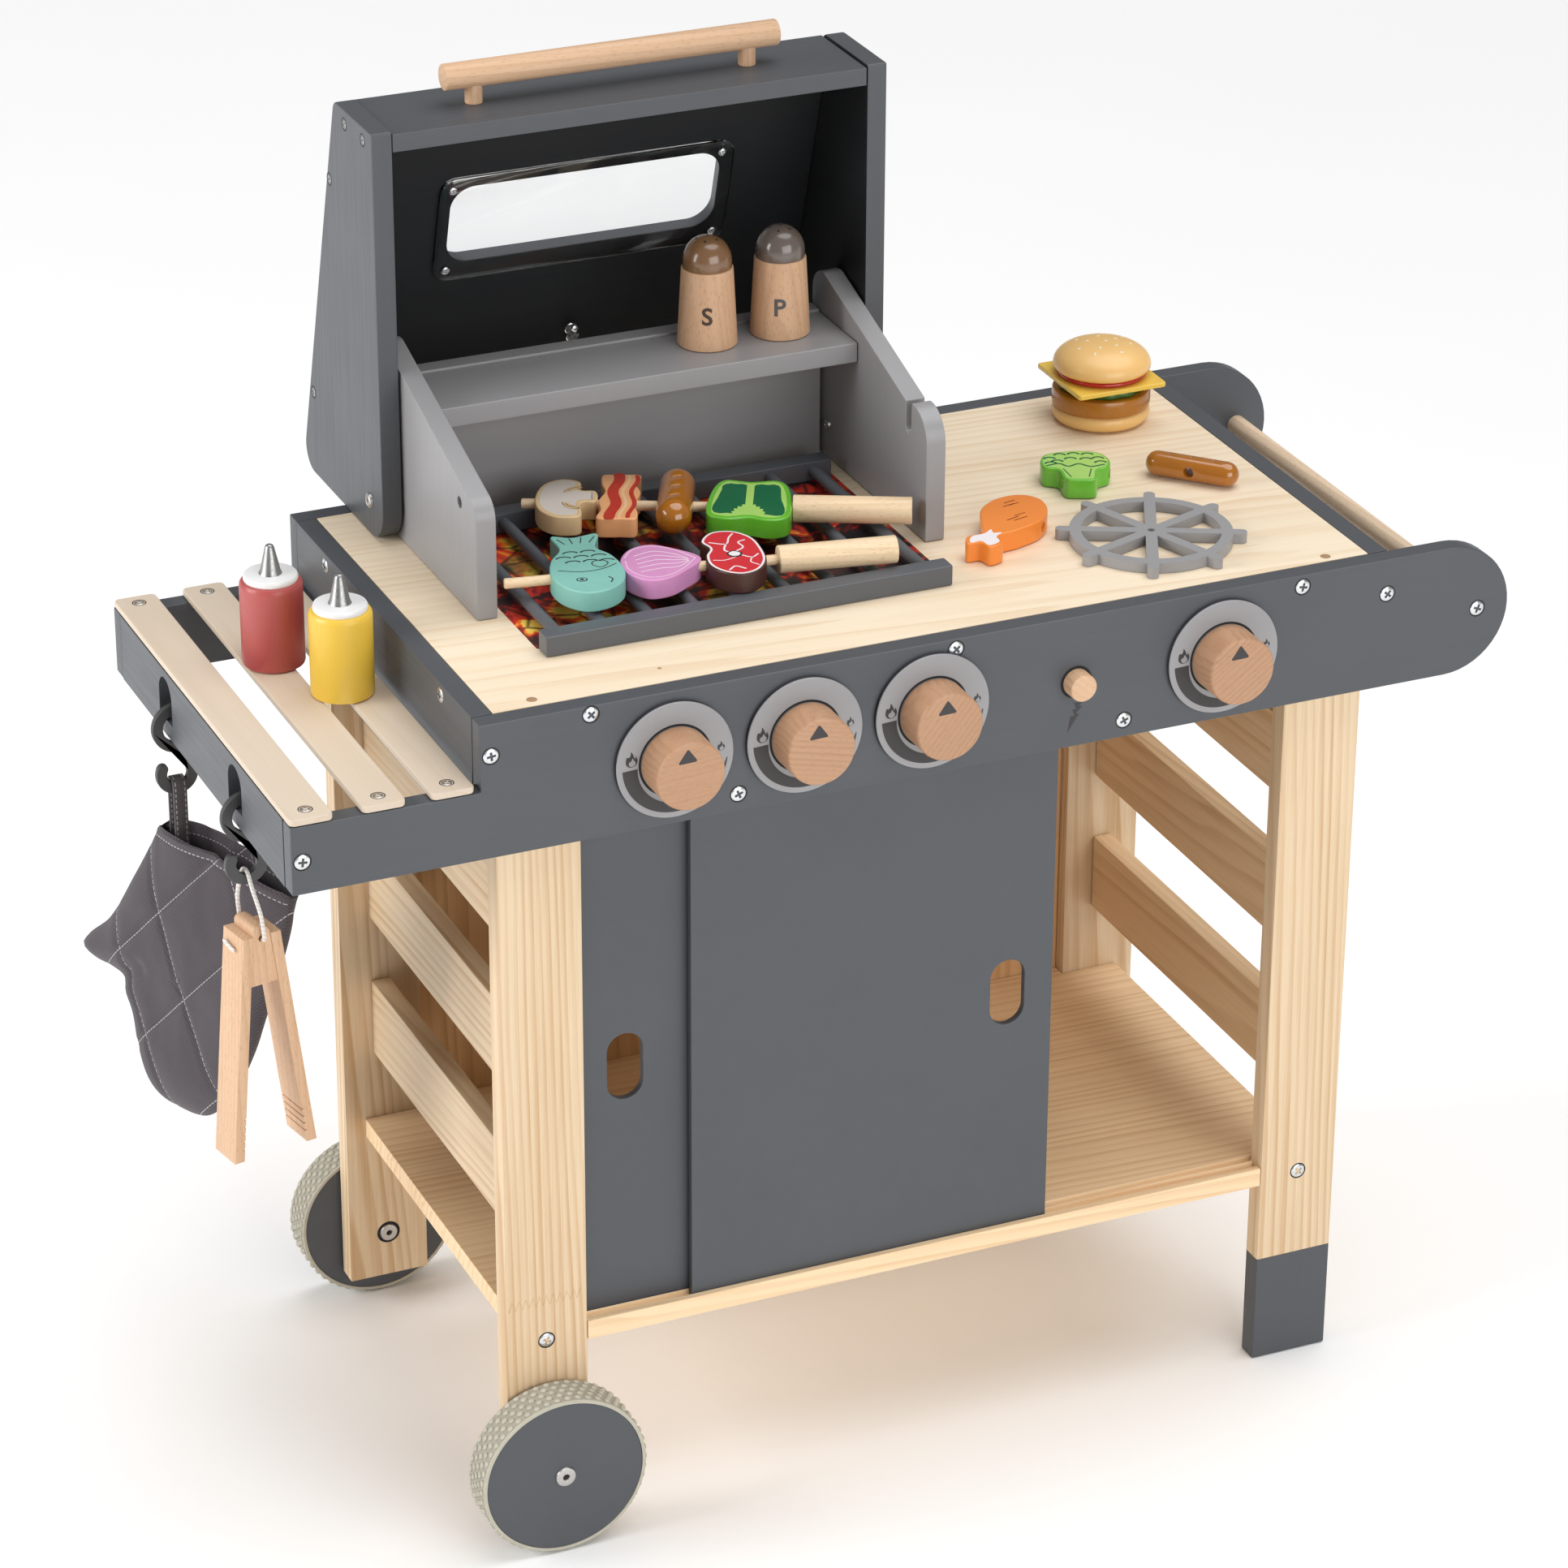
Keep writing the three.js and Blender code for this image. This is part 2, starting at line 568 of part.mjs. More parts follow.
// Legs: the two on the left are shorter and carry the axle stubs
const legFronts = { front: innerFront, back: innerBack - LEG_THICK };
for (const [place, y] of Object.entries(legFronts)) {
  const outerFace = place === 'front' ? y : y + LEG_THICK;
  const outward = place === 'front' ? -1 : 1;
  const axleX = innerLeft + LEG_WIDTH / 2;
  const wheelLeg = block(innerLeft, innerLeft + LEG_WIDTH, y, y + LEG_THICK, WHEEL_LEG_CUT, legTop);
  const hubBack = outerFace + outward * WHEEL_GAP;
  const hubFront = hubBack + outward * WHEEL_WIDTH;
  const axle = rod([axleX, outerFace - outward * OVERRUN, axleZ], [axleX, hubFront, axleZ], AXLE_RADIUS, PIN_SIDES);
  add(`${place}_left_leg`, joined(wheelLeg, axle), pine);
  add(`${place}_right_leg`, block(innerRight - LEG_WIDTH, innerRight, y, y + LEG_THICK, 0, legTop), pine);

  const rim = TYRE_RADIUS - TYRE_THICK - FIT;
  const bore = AXLE_RADIUS + RUNNING_FIT;
  const low = Math.min(hubBack, hubFront);
  add(`${place}_wheel`, turnedAlongY([
    [bore, 0], [rim - WHEEL_EDGE, 0], [rim, WHEEL_EDGE], [rim, WHEEL_WIDTH - WHEEL_EDGE],
    [rim - WHEEL_EDGE, WHEEL_WIDTH], [bore, WHEEL_WIDTH], [bore, 0],
  ], axleX, low, axleZ, PIN_SIDES), darkPaint);
  add(`${place}_tyre`, turnedAlongY([
    [rim + FIT, 0], [TYRE_RADIUS - WHEEL_EDGE, 0], [TYRE_RADIUS, WHEEL_EDGE],
    [TYRE_RADIUS, WHEEL_WIDTH - WHEEL_EDGE], [TYRE_RADIUS - WHEEL_EDGE, WHEEL_WIDTH],
    [rim + FIT, WHEEL_WIDTH], [rim + FIT, 0],
  ], axleX, low, axleZ, PIN_SIDES), rubber);
}

// Rails on both sides, each centred on its legs
const railInset = (LEG_WIDTH - BOARD) / 2;
const railLefts = { left: innerLeft + railInset, right: innerRight - LEG_WIDTH + railInset };
for (const [side, x] of Object.entries(railLefts)) {
  for (let index = 0; index < RAIL_COUNT; index += 1) {
    const z = RAIL_FIRST + index * RAIL_PITCH;
    const y0 = innerFront + LEG_THICK + FIT;
    const y1 = innerBack - LEG_THICK - FIT;
    add(`${side}_rail_${index + 1}`, block(x, x + BOARD, y0, y1, z, z + RAIL_HEIGHT), pine);
  }
}

// Bottom shelf, narrow between the legs and wide behind them, and the panel at its back
const panelFront = innerBack - BACK_PANEL;
function bottomShelf() {
  const z0 = SHELF_TOP - BOARD;
  const tongueLeft = legInnerLeft + FIT;
  const tongueRight = legInnerRight - FIT;
  const tongue = block(tongueLeft, tongueRight, innerFront, panelFront - FIT, z0, SHELF_TOP);
  const wide = block(
    innerLeft + SHELF_SIDE_INSET, innerRight - SHELF_SIDE_INSET,
    innerFront + LEG_THICK + FIT, innerBack - LEG_THICK - FIT, z0, SHELF_TOP,
  );
  return cut(joined(tongue, wide), ...grooves(SHELF_TOP - LOWER_GROOVE, SHELF_TOP + OVERRUN));
}
add('bottom_shelf', bottomShelf(), pine);
add('cabinet_back', block(
  legInnerLeft + FIT, legInnerRight - FIT, panelFront, innerBack,
  SHELF_TOP - BOARD, boardBottom + BACK_PANEL_LAP,
), plywood);

// Sliding doors, the right one in the front track
function door(left, trackY, fingerX) {
  const z0 = SHELF_TOP - LOWER_GROOVE + FIT;
  const z1 = boardBottom + UPPER_GROOVE - DOOR_HEADROOM;
  const half = FINGER_WIDTH / 2;
  const finger = roundedOutline([
    [fingerX - half, FINGER_Z - FINGER_HEIGHT / 2, half - FIT],
    [fingerX + half, FINGER_Z - FINGER_HEIGHT / 2, half - FIT],
    [fingerX + half, FINGER_Z + FINGER_HEIGHT / 2, half - FIT],
    [fingerX - half, FINGER_Z + FINGER_HEIGHT / 2, half - FIT],
  ]);
  const y0 = trackY - DOOR_THICK / 2;
  const y1 = trackY + DOOR_THICK / 2;
  const hole = boardAlongY(finger, y0 - OVERRUN, y1 + OVERRUN);
  return cut(block(left, left + DOOR_WIDTH, y0, y1, z0, z1), hole);
}
const leftDoorLeft = legInnerLeft + 2 * FIT;
add('right_door', door(RIGHT_DOOR_LEFT, frontTrackY, RIGHT_DOOR_LEFT + DOOR_WIDTH - FINGER_EDGE), darkPaint);
add('left_door', door(leftDoorLeft, rearTrackY, leftDoorLeft + FINGER_EDGE), darkPaint);

// Knobs on their pins and the push button in its cup
const knobBack = -DIAL_THICK - FIT;
const knobFront = knobBack - KNOB_LENGTH;
const knobBore = KNOB_PIN_RADIUS + RUNNING_FIT;
const boreEnd = -DIAL_THICK - KNOB_PIN_LENGTH - FIT;
DIAL_ROW.forEach((x, index) => {
  add(`knob_${index + 1}`, turnedAlongY([
    [0, knobFront], [KNOB_RADIUS - KNOB_EDGE, knobFront], [KNOB_RADIUS, knobFront + KNOB_EDGE],
    [KNOB_RADIUS, knobBack], [knobBore, knobBack], [knobBore, boreEnd], [0, boreEnd],
  ], x, 0, tipZ, PIN_SIDES), beech);
});
const collarFront = BOARD + FIT;
add('igniter_button', turnedAlongY([
  [0, -BUTTON_PROUD], [BUTTON_RADIUS - KNOB_EDGE, -BUTTON_PROUD], [BUTTON_RADIUS, KNOB_EDGE - BUTTON_PROUD],
  [BUTTON_RADIUS, collarFront], [BUTTON_COLLAR, collarFront],
  [BUTTON_COLLAR, collarFront + BUTTON_COLLAR_THICK], [BUTTON_TAIL_RADIUS, collarFront + BUTTON_COLLAR_THICK],
  [BUTTON_TAIL_RADIUS, collarFront + BUTTON_COLLAR_THICK + BUTTON_TAIL],
  [0, collarFront + BUTTON_COLLAR_THICK + BUTTON_TAIL],
], BUTTON_X, 0, tipZ), beech);

// Slats of the side tray
SLAT_LEFTS.forEach((x, index) => {
  const shape = roundedOutline([
    [x, 0, SLAT_CORNER], [x + SLAT_WIDTH, 0, SLAT_CORNER],
    [x + SLAT_WIDTH, BODY_DEPTH, SLAT_CORNER], [x, BODY_DEPTH, SLAT_CORNER],
  ]);
  add(`tray_slat_${index + 1}`, boardAlongZ(shape, trayTop + FIT, trayTop + FIT + SLAT_THICK), plywood);
});

// S hooks: a ring through the slot round the board's lower edge, and a cup below
const hookX = trayEnd + BOARD / 2;
const ringZ = boardBottom + SLOT_LEDGE - HOOK_RING_DROP;
const cupX = hookX - HOOK_CUP_SHIFT;
const cupZ = ringZ - HOOK_CUP_DROP;
function hookPath() {
  const ringStart = THREE.MathUtils.degToRad(40);
  const ringEnd = THREE.MathUtils.degToRad(295);
  const cupStart = THREE.MathUtils.degToRad(10);
  const cupEnd = THREE.MathUtils.degToRad(-205);
  const points = [];
  for (let i = 0; i <= ROUND_SIDES; i += 1) {
    const angle = ringStart + (ringEnd - ringStart) * i / ROUND_SIDES;
    points.push([hookX + HOOK_RING_RADIUS * Math.cos(angle), ringZ + HOOK_RING_RADIUS * Math.sin(angle)]);
  }
  for (let i = 0; i <= ROUND_SIDES; i += 1) {
    const angle = cupStart + (cupEnd - cupStart) * i / ROUND_SIDES;
    points.push([cupX + HOOK_CUP_RADIUS * Math.cos(angle), cupZ + HOOK_CUP_RADIUS * Math.sin(angle)]);
  }
  return points.map(([x, z]) => new THREE.Vector2(x, z));
}

// The band's two edges lie half its width to each side of the path, with a round end at both tips
function bandShape(path, width) {
  const leftEdge = [];
  const rightEdge = [];
  path.forEach((point, index) => {
    const before = path[Math.max(index - 1, 0)];
    const after = path[Math.min(index + 1, path.length - 1)];
    const along = after.clone().sub(before).normalize();
    const side = new THREE.Vector2(-along.y, along.x).multiplyScalar(width / 2);
    leftEdge.push(point.clone().add(side));
    rightEdge.push(point.clone().sub(side));
  });
  function tip(from, centre, turn) {
    const arm = from.clone().sub(centre);
    const steps = [];
    for (let i = 1; i < CURVE_STEPS; i += 1) {
      steps.push(arm.clone().rotateAround(new THREE.Vector2(), turn * Math.PI * i / CURVE_STEPS).add(centre));
    }
    return steps;
  }
  const endTip = tip(leftEdge.at(-1), path.at(-1), -1);
  const startTip = tip(rightEdge[0], path[0], -1);
  return new THREE.Shape([...leftEdge, ...endTip, ...rightEdge.reverse(), ...startTip]);
}
HOOK_ROWS.forEach((y, index) => {
  const shape = bandShape(hookPath(), HOOK_RING_BAND);
  add(`hook_${index + 1}`, boardAlongY(shape, y - HOOK_THICK / 2, y + HOOK_THICK / 2), greyPaint);
});

// Grate of nine rods between two bars
const restZ = WORKTOP_HEIGHT + FIT;
const grateRight = GRATE_LEFT + GRATE_LENGTH;
const grateBackBar = GRATE_FRONT + GRATE_DEPTH - BOARD;
function grate() {
  const front = block(GRATE_LEFT, grateRight, GRATE_FRONT, GRATE_FRONT + BOARD, restZ, restZ + BOARD);
  const back = block(GRATE_LEFT, grateRight, grateBackBar, grateBackBar + BOARD, restZ, restZ + BOARD);
  const span = GRATE_ROD_PITCH * (GRATE_ROD_COUNT - 1);
  const first = (GRATE_LEFT + grateRight - span) / 2;
  const z = WORKTOP_HEIGHT + GRATE_ROD_Z;
  const rods = [];
  for (let index = 0; index < GRATE_ROD_COUNT; index += 1) {
    const x = first + index * GRATE_ROD_PITCH;
    rods.push(rod([x, GRATE_FRONT + BOARD / 2, z], [x, grateBackBar + BOARD / 2, z], GRATE_ROD_RADIUS, CURVE_STEPS * 2));
  }
  return joined(front, back, ...rods);
}
add('grate', grate(), blackMetal);

// Burner ring with eight arms
function burnerArm(turn) {
  const half = BURNER_BAND / 2;
  const shape = roundedOutline([
    [-BURNER_RADIUS, -half, half - FIT / 2], [BURNER_RADIUS, -half, half - FIT / 2],
    [BURNER_RADIUS, half, half - FIT / 2], [-BURNER_RADIUS, half, half - FIT / 2],
  ]);
  return toSolid(placed(slab(shape, BURNER_THICK), burnerX, BURNER_Y, restZ, turn));
}

function burnerRing() {
  const half = BURNER_BAND / 2;
  const ring = turnedUpright([
    [BURNER_RING - half, 0], [BURNER_RING + half, 0], [BURNER_RING + half, BURNER_THICK],
    [BURNER_RING - half, BURNER_THICK], [BURNER_RING - half, 0],
  ], burnerX, BURNER_Y, restZ);
  const hub = rod([burnerX, BURNER_Y, restZ], [burnerX, BURNER_Y, restZ + BURNER_THICK], BURNER_HUB);
  const arms = [];
  for (let index = 0; index < BURNER_ARMS; index += 1) {
    arms.push(burnerArm(BURNER_TURN_ANGLE + index * 180 / BURNER_ARMS));
  }
  const bore = rod(
    [burnerX, BURNER_Y, restZ - OVERRUN], [burnerX, BURNER_Y, restZ + BURNER_THICK + OVERRUN], BURNER_BORE,
  );
  return cut(joined(ring, hub, ...arms), bore);
}
add('burner_ring', burnerRing(), greyPaint);

// Cheeks: their tops rise to the back, and each carries one of the lid's pins
const cheekFrontZ = WORKTOP_HEIGHT + CHEEK_FRONT_HEIGHT;
function cheekTopAt(y) {
  return cheekFrontZ + (y - CHEEK_FRONT) * CHEEK_RISE_SHARE;
}

function leftCheek() {
  const shape = roundedOutline([
    [CHEEK_FRONT, restZ], [CHEEK_BACK, restZ], [CHEEK_BACK, cheekTopAt(CHEEK_BACK), CHEEK_BACK_ROUND],
    [CHEEK_FRONT, cheekFrontZ, CHEEK_FRONT_ROUND],
  ]);
  const hole = rod(
    [CHEEK_LEFT - OVERRUN, SPIT_Y, WORKTOP_HEIGHT + SPIT_HEIGHT],
    [cheekInnerLeft + OVERRUN, SPIT_Y, WORKTOP_HEIGHT + SPIT_HEIGHT], SPIT_HOLE_RADIUS,
  );
  return cut(boardAlongX(shape, CHEEK_LEFT, cheekInnerLeft), hole);
}

function rightCheek() {
  const lobeTop = WORKTOP_HEIGHT + SPIT_LOBE_HEIGHT;
  const slotFront = SPIT_Y - SPIT_SLOT_WIDTH / 2;
  const slotBack = SPIT_Y + SPIT_SLOT_WIDTH / 2;
  const slotFoot = WORKTOP_HEIGHT + SPIT_HEIGHT - SPIT_SLOT_WIDTH / 2;
  const shape = roundedOutline([
    [CHEEK_FRONT, restZ], [CHEEK_BACK, restZ], [CHEEK_BACK, cheekTopAt(CHEEK_BACK), CHEEK_BACK_ROUND],
    [slotBack, cheekTopAt(slotBack)], [slotBack, slotFoot, SPIT_SLOT_ROUND],
    [slotFront, slotFoot, SPIT_SLOT_ROUND], [slotFront, lobeTop], [CHEEK_FRONT, lobeTop, SPIT_LOBE_ROUND],
  ]);
  return boardAlongX(shape, cheekInnerRight, cheekInnerRight + BOARD);
}

function lidPin(x0, x1) {
  return rod([x0, LID_PIVOT_Y, lidPivotZ], [x1, LID_PIVOT_Y, lidPivotZ], LID_PIN_RADIUS, PIN_SIDES);
}
add('left_cheek', joined(leftCheek(), lidPin(lidLeft, CHEEK_LEFT + OVERRUN)), greyPaint);
add('right_cheek', joined(rightCheek(), lidPin(lidRight - BOARD - LID_SIDE_GAP - OVERRUN, lidRight)), greyPaint);

const shelfBack = CHEEK_BACK - BOARD - FIT;
add('spice_shelf', block(
  cheekInnerLeft + FIT, cheekInnerRight - FIT, SPICE_SHELF_FRONT, shelfBack,
  WORKTOP_HEIGHT + SPICE_SHELF_TOP - BOARD, WORKTOP_HEIGHT + SPICE_SHELF_TOP,
), greyPaint);
add('hearth_back', block(
  cheekInnerLeft + FIT, cheekInnerRight - FIT, CHEEK_BACK - BOARD, CHEEK_BACK,
  restZ, WORKTOP_HEIGHT + HEARTH_TOP,
), greyPaint);

// Lid: two sides, a top board, a leaning back panel with a window, and the handle
const leanSlope = Math.tan(THREE.MathUtils.degToRad(LID_LEAN_ANGLE));
const leanCosine = Math.cos(THREE.MathUtils.degToRad(LID_LEAN_ANGLE));
const leanSine = Math.sin(THREE.MathUtils.degToRad(LID_LEAN_ANGLE));
function lidBackAt(z) {
  return LID_TOP_BACK + (lidTop - z) * leanSlope;
}

function lidSide(x0) {
  const shape = roundedOutline([
    [lidFront, restZ, LID_FRONT_ROUND], [lidBackAt(restZ), restZ, LID_FOOT_ROUND],
    [LID_TOP_BACK, lidTop, LID_TOP_ROUND], [lidFront, lidTop, LID_CREST_ROUND],
  ]);
  const bore = rod(
    [x0 - OVERRUN, LID_PIVOT_Y, lidPivotZ], [x0 + BOARD + OVERRUN, LID_PIVOT_Y, lidPivotZ],
    LID_PIN_RADIUS + RUNNING_FIT, PIN_SIDES,
  );
  return cut(boardAlongX(shape, x0, x0 + BOARD), bore);
}
add('lid_left_side', lidSide(lidLeft), darkPaint);
add('lid_right_side', lidSide(lidRight - BOARD), darkPaint);

const lidInnerLeft = lidLeft + BOARD + FIT;
const lidInnerRight = lidRight - BOARD - FIT;
const lidTopUnder = lidTop - BOARD;
function lidTopBoard() {
  const shape = roundedOutline([
    [lidFront, lidTopUnder], [lidBackAt(lidTopUnder), lidTopUnder],
    [lidBackAt(lidTop - LID_CREST_ROUND), lidTop - LID_CREST_ROUND], [lidFront, lidTop - LID_CREST_ROUND],
  ]);
  return boardAlongX(shape, lidInnerLeft, lidInnerRight);
}
add('lid_top_board', lidTopBoard(), darkPaint);

function windowCutter() {
  const half = WINDOW_LENGTH / 2;
  const shape = roundedOutline([
    [-half, -WINDOW_HEIGHT, WINDOW_ROUND], [half, -WINDOW_HEIGHT, WINDOW_ROUND],
    [half, 0, WINDOW_ROUND], [-half, 0, WINDOW_ROUND],
  ]);
  const geometry = slab(shape, LID_PANEL + 2 * OVERRUN);
  const across = new THREE.Vector3(1, 0, 0);
  const upSlope = new THREE.Vector3(0, -leanSine, leanCosine);
  const inward = new THREE.Vector3(0, -leanCosine, -leanSine);
  geometry.applyMatrix4(new THREE.Matrix4().makeBasis(across, upSlope, inward));
  const drop = WINDOW_DROP * leanCosine;
  const start = lidTop - LID_CREST_ROUND - LID_TOP_ROUND - drop;
  geometry.translate(lidMiddle, lidBackAt(start) + OVERRUN * leanCosine, start + OVERRUN * leanSine);
  return toSolid(geometry);
}

function lidPanel() {
  const head = lidTopUnder - FIT;
  const foot = restZ + LID_PANEL_FOOT;
  const thick = LID_PANEL / leanCosine;
  const shape = roundedOutline([
    [lidBackAt(foot) - thick, foot], [lidBackAt(foot), foot], [lidBackAt(head), head],
    [lidBackAt(head) - thick, head],
  ]);
  return cut(boardAlongX(shape, lidInnerLeft, lidInnerRight), windowCutter());
}
add('lid_back_panel', lidPanel(), darkPaint);

function lidHandle() {
  const foot = lidTop - LID_CREST_ROUND + FIT;
  const barZ = lidTop - LID_CREST_ROUND + LID_BAR_RISE;
  const halfBar = LID_BAR_LENGTH / 2;
  const halfPegs = LID_PEG_SPAN / 2;
  const bar = rod([lidMiddle - halfBar, LID_BAR_Y, barZ], [lidMiddle + halfBar, LID_BAR_Y, barZ], LID_BAR_RADIUS);
  const pegs = [-halfPegs, halfPegs].map((x) => rod(
    [lidMiddle + x, LID_BAR_Y, foot], [lidMiddle + x, LID_BAR_Y, barZ], LID_PEG_RADIUS,
  ));
  return joined(bar, ...pegs);
}
add('lid_handle', lidHandle(), beech);

// Sauce bottles on the tray and shakers on the spice shelf
const trayRest = trayTop + FIT + SLAT_THICK + FIT;
function bottle([x, y]) {
  const shoulder = BOTTLE_BODY - BOTTLE_SHOULDER;
  const capTop = BOTTLE_BODY + BOTTLE_CAP;
  return turnedUpright([
    [0, 0], [BOTTLE_RADIUS - BOTTLE_SHOULDER / 2, 0], [BOTTLE_RADIUS, BOTTLE_SHOULDER / 2],
    [BOTTLE_RADIUS, shoulder], [BOTTLE_RADIUS - BOTTLE_SHOULDER / 3, shoulder + BOTTLE_SHOULDER * 2 / 3],
    [BOTTLE_RADIUS - BOTTLE_SHOULDER / 2, BOTTLE_BODY], [BOTTLE_CAP_RADIUS, BOTTLE_BODY],
    [BOTTLE_CAP_RADIUS, capTop - BOTTLE_CAP / 2], [BOTTLE_CAP_RADIUS - BOTTLE_CAP / 2, capTop],
    [NOZZLE_RADIUS, capTop], [NOZZLE_TIP_RADIUS, capTop + NOZZLE_HEIGHT], [0, capTop + NOZZLE_HEIGHT],
  ], x, y, trayRest);
}
add('ketchup_bottle', bottle(BOTTLE_PLACES[0]), redPaint);
add('mustard_bottle', bottle(BOTTLE_PLACES[1]), yellowPaint);

function shaker([x, y]) {
  const profile = [
    [0, 0], [SHAKER_FOOT_RADIUS, 0], [SHAKER_NECK_RADIUS, SHAKER_BODY], [SHAKER_DOME_RADIUS, SHAKER_BODY],
  ];
  for (let index = 0; index <= CURVE_STEPS; index += 1) {
    const angle = Math.PI / 2 * index / CURVE_STEPS;
    const radius = index === CURVE_STEPS ? 0 : SHAKER_DOME_RADIUS * Math.cos(angle);
    profile.push([radius, SHAKER_BODY + SHAKER_DOME_WALL + SHAKER_DOME_RADIUS * Math.sin(angle)]);
  }
  return turnedUpright(profile, x, y, WORKTOP_HEIGHT + SPICE_SHELF_TOP + FIT);
}
add('salt_shaker', shaker(SHAKER_PLACES[0]), beech);
add('pepper_shaker', shaker(SHAKER_PLACES[1]), beech);

// Burger of round layers with a square slice of cheese
function burger([x, y]) {
  const [bunTop, pattyTop] = BURGER_LAYER_TOPS;
  const waist = BURGER_RADIUS - BURGER_WAIST;
  const crownFoot = BURGER_CHEESE_Z + BURGER_CHEESE_THICK;
  const crown = BURGER_HEIGHT - crownFoot;
  const profile = [
    [0, 0], [waist - BURGER_WAIST, 0], [BURGER_RADIUS, bunTop / 2], [waist, bunTop],
    [BURGER_RADIUS, (bunTop + pattyTop) / 2], [waist, pattyTop], [waist, crownFoot],
  ];
  for (let index = 1; index <= CURVE_STEPS; index += 1) {
    const angle = Math.PI / 2 * index / CURVE_STEPS;
    const radius = index === CURVE_STEPS ? 0 : BURGER_RADIUS * Math.cos(angle);
    profile.push([radius, crownFoot + crown * Math.sin(angle)]);
  }
  const half = BURGER_CHEESE / 2;
  const slice = block(
    x - half, x + half, y - half, y + half,
    restZ + BURGER_CHEESE_Z, restZ + BURGER_CHEESE_Z + BURGER_CHEESE_THICK,
  );
  return joined(turnedUpright(profile, x, y, restZ), slice);
}
add('burger', burger([besideCheek + BURGER_BESIDE, BODY_DEPTH - BURGER_FROM_BACK]), bunPaint);

// Skewers: a stick through the food and a round grip. Each lies partly on one of the grate's bars
const barTop = restZ + BOARD + FIT;
function foodOnStick(food, shares) {
  const geometry = slab(smoothOutline(shares, food.length, food.width), FOOD_THICK);
  geometry.translate(food.along, food.aside, 0);
  return geometry;
}

function capsule(from, to, radius) {
  const along = new THREE.Vector3(...to).sub(new THREE.Vector3(...from));
  const geometry = new THREE.CapsuleGeometry(radius, along.length(), CURVE_STEPS / 2, CURVE_STEPS * 2);
  const turn = new THREE.Quaternion().setFromUnitVectors(new THREE.Vector3(0, 1, 0), along.normalize());
  geometry.applyQuaternion(turn);
  const middle = new THREE.Vector3(...from).add(new THREE.Vector3(...to)).divideScalar(2);
  geometry.translate(...middle.toArray());
  return geometry;
}

function skewer([tipAcross, tipY], angle, foods, banger) {
  const axis = GRIP_RADIUS;
  const along = new THREE.Vector3(0, 1, 0);
  const stick = new THREE.CylinderGeometry(STICK_RADIUS, STICK_RADIUS, STICK_LENGTH, CURVE_STEPS * 2);
  stick.translate(0, STICK_LENGTH / 2, 0);
  const grip = new THREE.CylinderGeometry(GRIP_RADIUS, GRIP_RADIUS, GRIP_END - GRIP_START, ROUND_SIDES);
  grip.translate(0, (GRIP_START + GRIP_END) / 2, 0);
  const lie = new THREE.Quaternion().setFromUnitVectors(along, new THREE.Vector3(1, 0, 0));
  const pieces = [stick, grip].map((geometry) => geometry.applyQuaternion(lie).translate(0, 0, axis));
  pieces.push(...foods.map(([food, shares]) => foodOnStick(food, shares)));
  if (banger) {
    const half = BANGER_SPAN / 2;
    pieces.push(capsule(
      [BANGER_ALONG, BANGER_ASIDE - half, BANGER_RADIUS], [BANGER_ALONG, BANGER_ASIDE + half, BANGER_RADIUS],
      BANGER_RADIUS,
    ));
  }
  return joined(...pieces.map((geometry) => toSolid(placed(geometry, tipAcross, tipY, barTop, angle))));
}
add('upper_skewer', skewer(UPPER_SKEWER_TIP, UPPER_SKEWER_ANGLE, [
  [MUSHROOM, MUSHROOM_SHARES], [BACON, BACON_SHARES], [PEPPER, PEPPER_SHARES],
], true), beech);
add('lower_skewer', skewer(LOWER_SKEWER_TIP, LOWER_SKEWER_ANGLE, [
  [FISH, FISH_SHARES], [ONION, ONION_SHARES], [STEAK, STEAK_SHARES],
], false), beech);

// Loose food
function looseFood(food, shares) {
  const geometry = slab(smoothOutline(shares, food.length, food.width), FOOD_THICK);
  return toSolid(placed(geometry, besideCheek + food.x, food.y, restZ, food.turn_angle));
}
add('broccoli', looseFood(BROCCOLI, BROCCOLI_SHARES), greenPaint);
add('drumstick', looseFood(DRUMSTICK, DRUMSTICK_SHARES), orangePaint);

function frankfurter() {
  const z = restZ + FRANK_RADIUS;
  const [startX, endX] = [besideCheek + FRANK_START[0], besideCheek + FRANK_END[0]];
  const [startY, endY] = [FRANK_START[1], FRANK_END[1]];
  const solid = toSolid(capsule([startX, startY, z], [endX, endY, z], FRANK_RADIUS));
  const middle = new THREE.Vector3((startX + endX) / 2, (startY + endY) / 2, z);
  const across = new THREE.Vector3(endY - startY, startX - endX, 0).normalize();
  const reach = FRANK_RADIUS + OVERRUN;
  const from = middle.clone().addScaledVector(across, -reach).toArray();
  const to = middle.clone().addScaledVector(across, reach).toArray();
  return cut(solid, rod(from, to, FRANK_HOLE_RADIUS, CURVE_STEPS * 2));
}
add('sausage', frankfurter(), brownPaint);

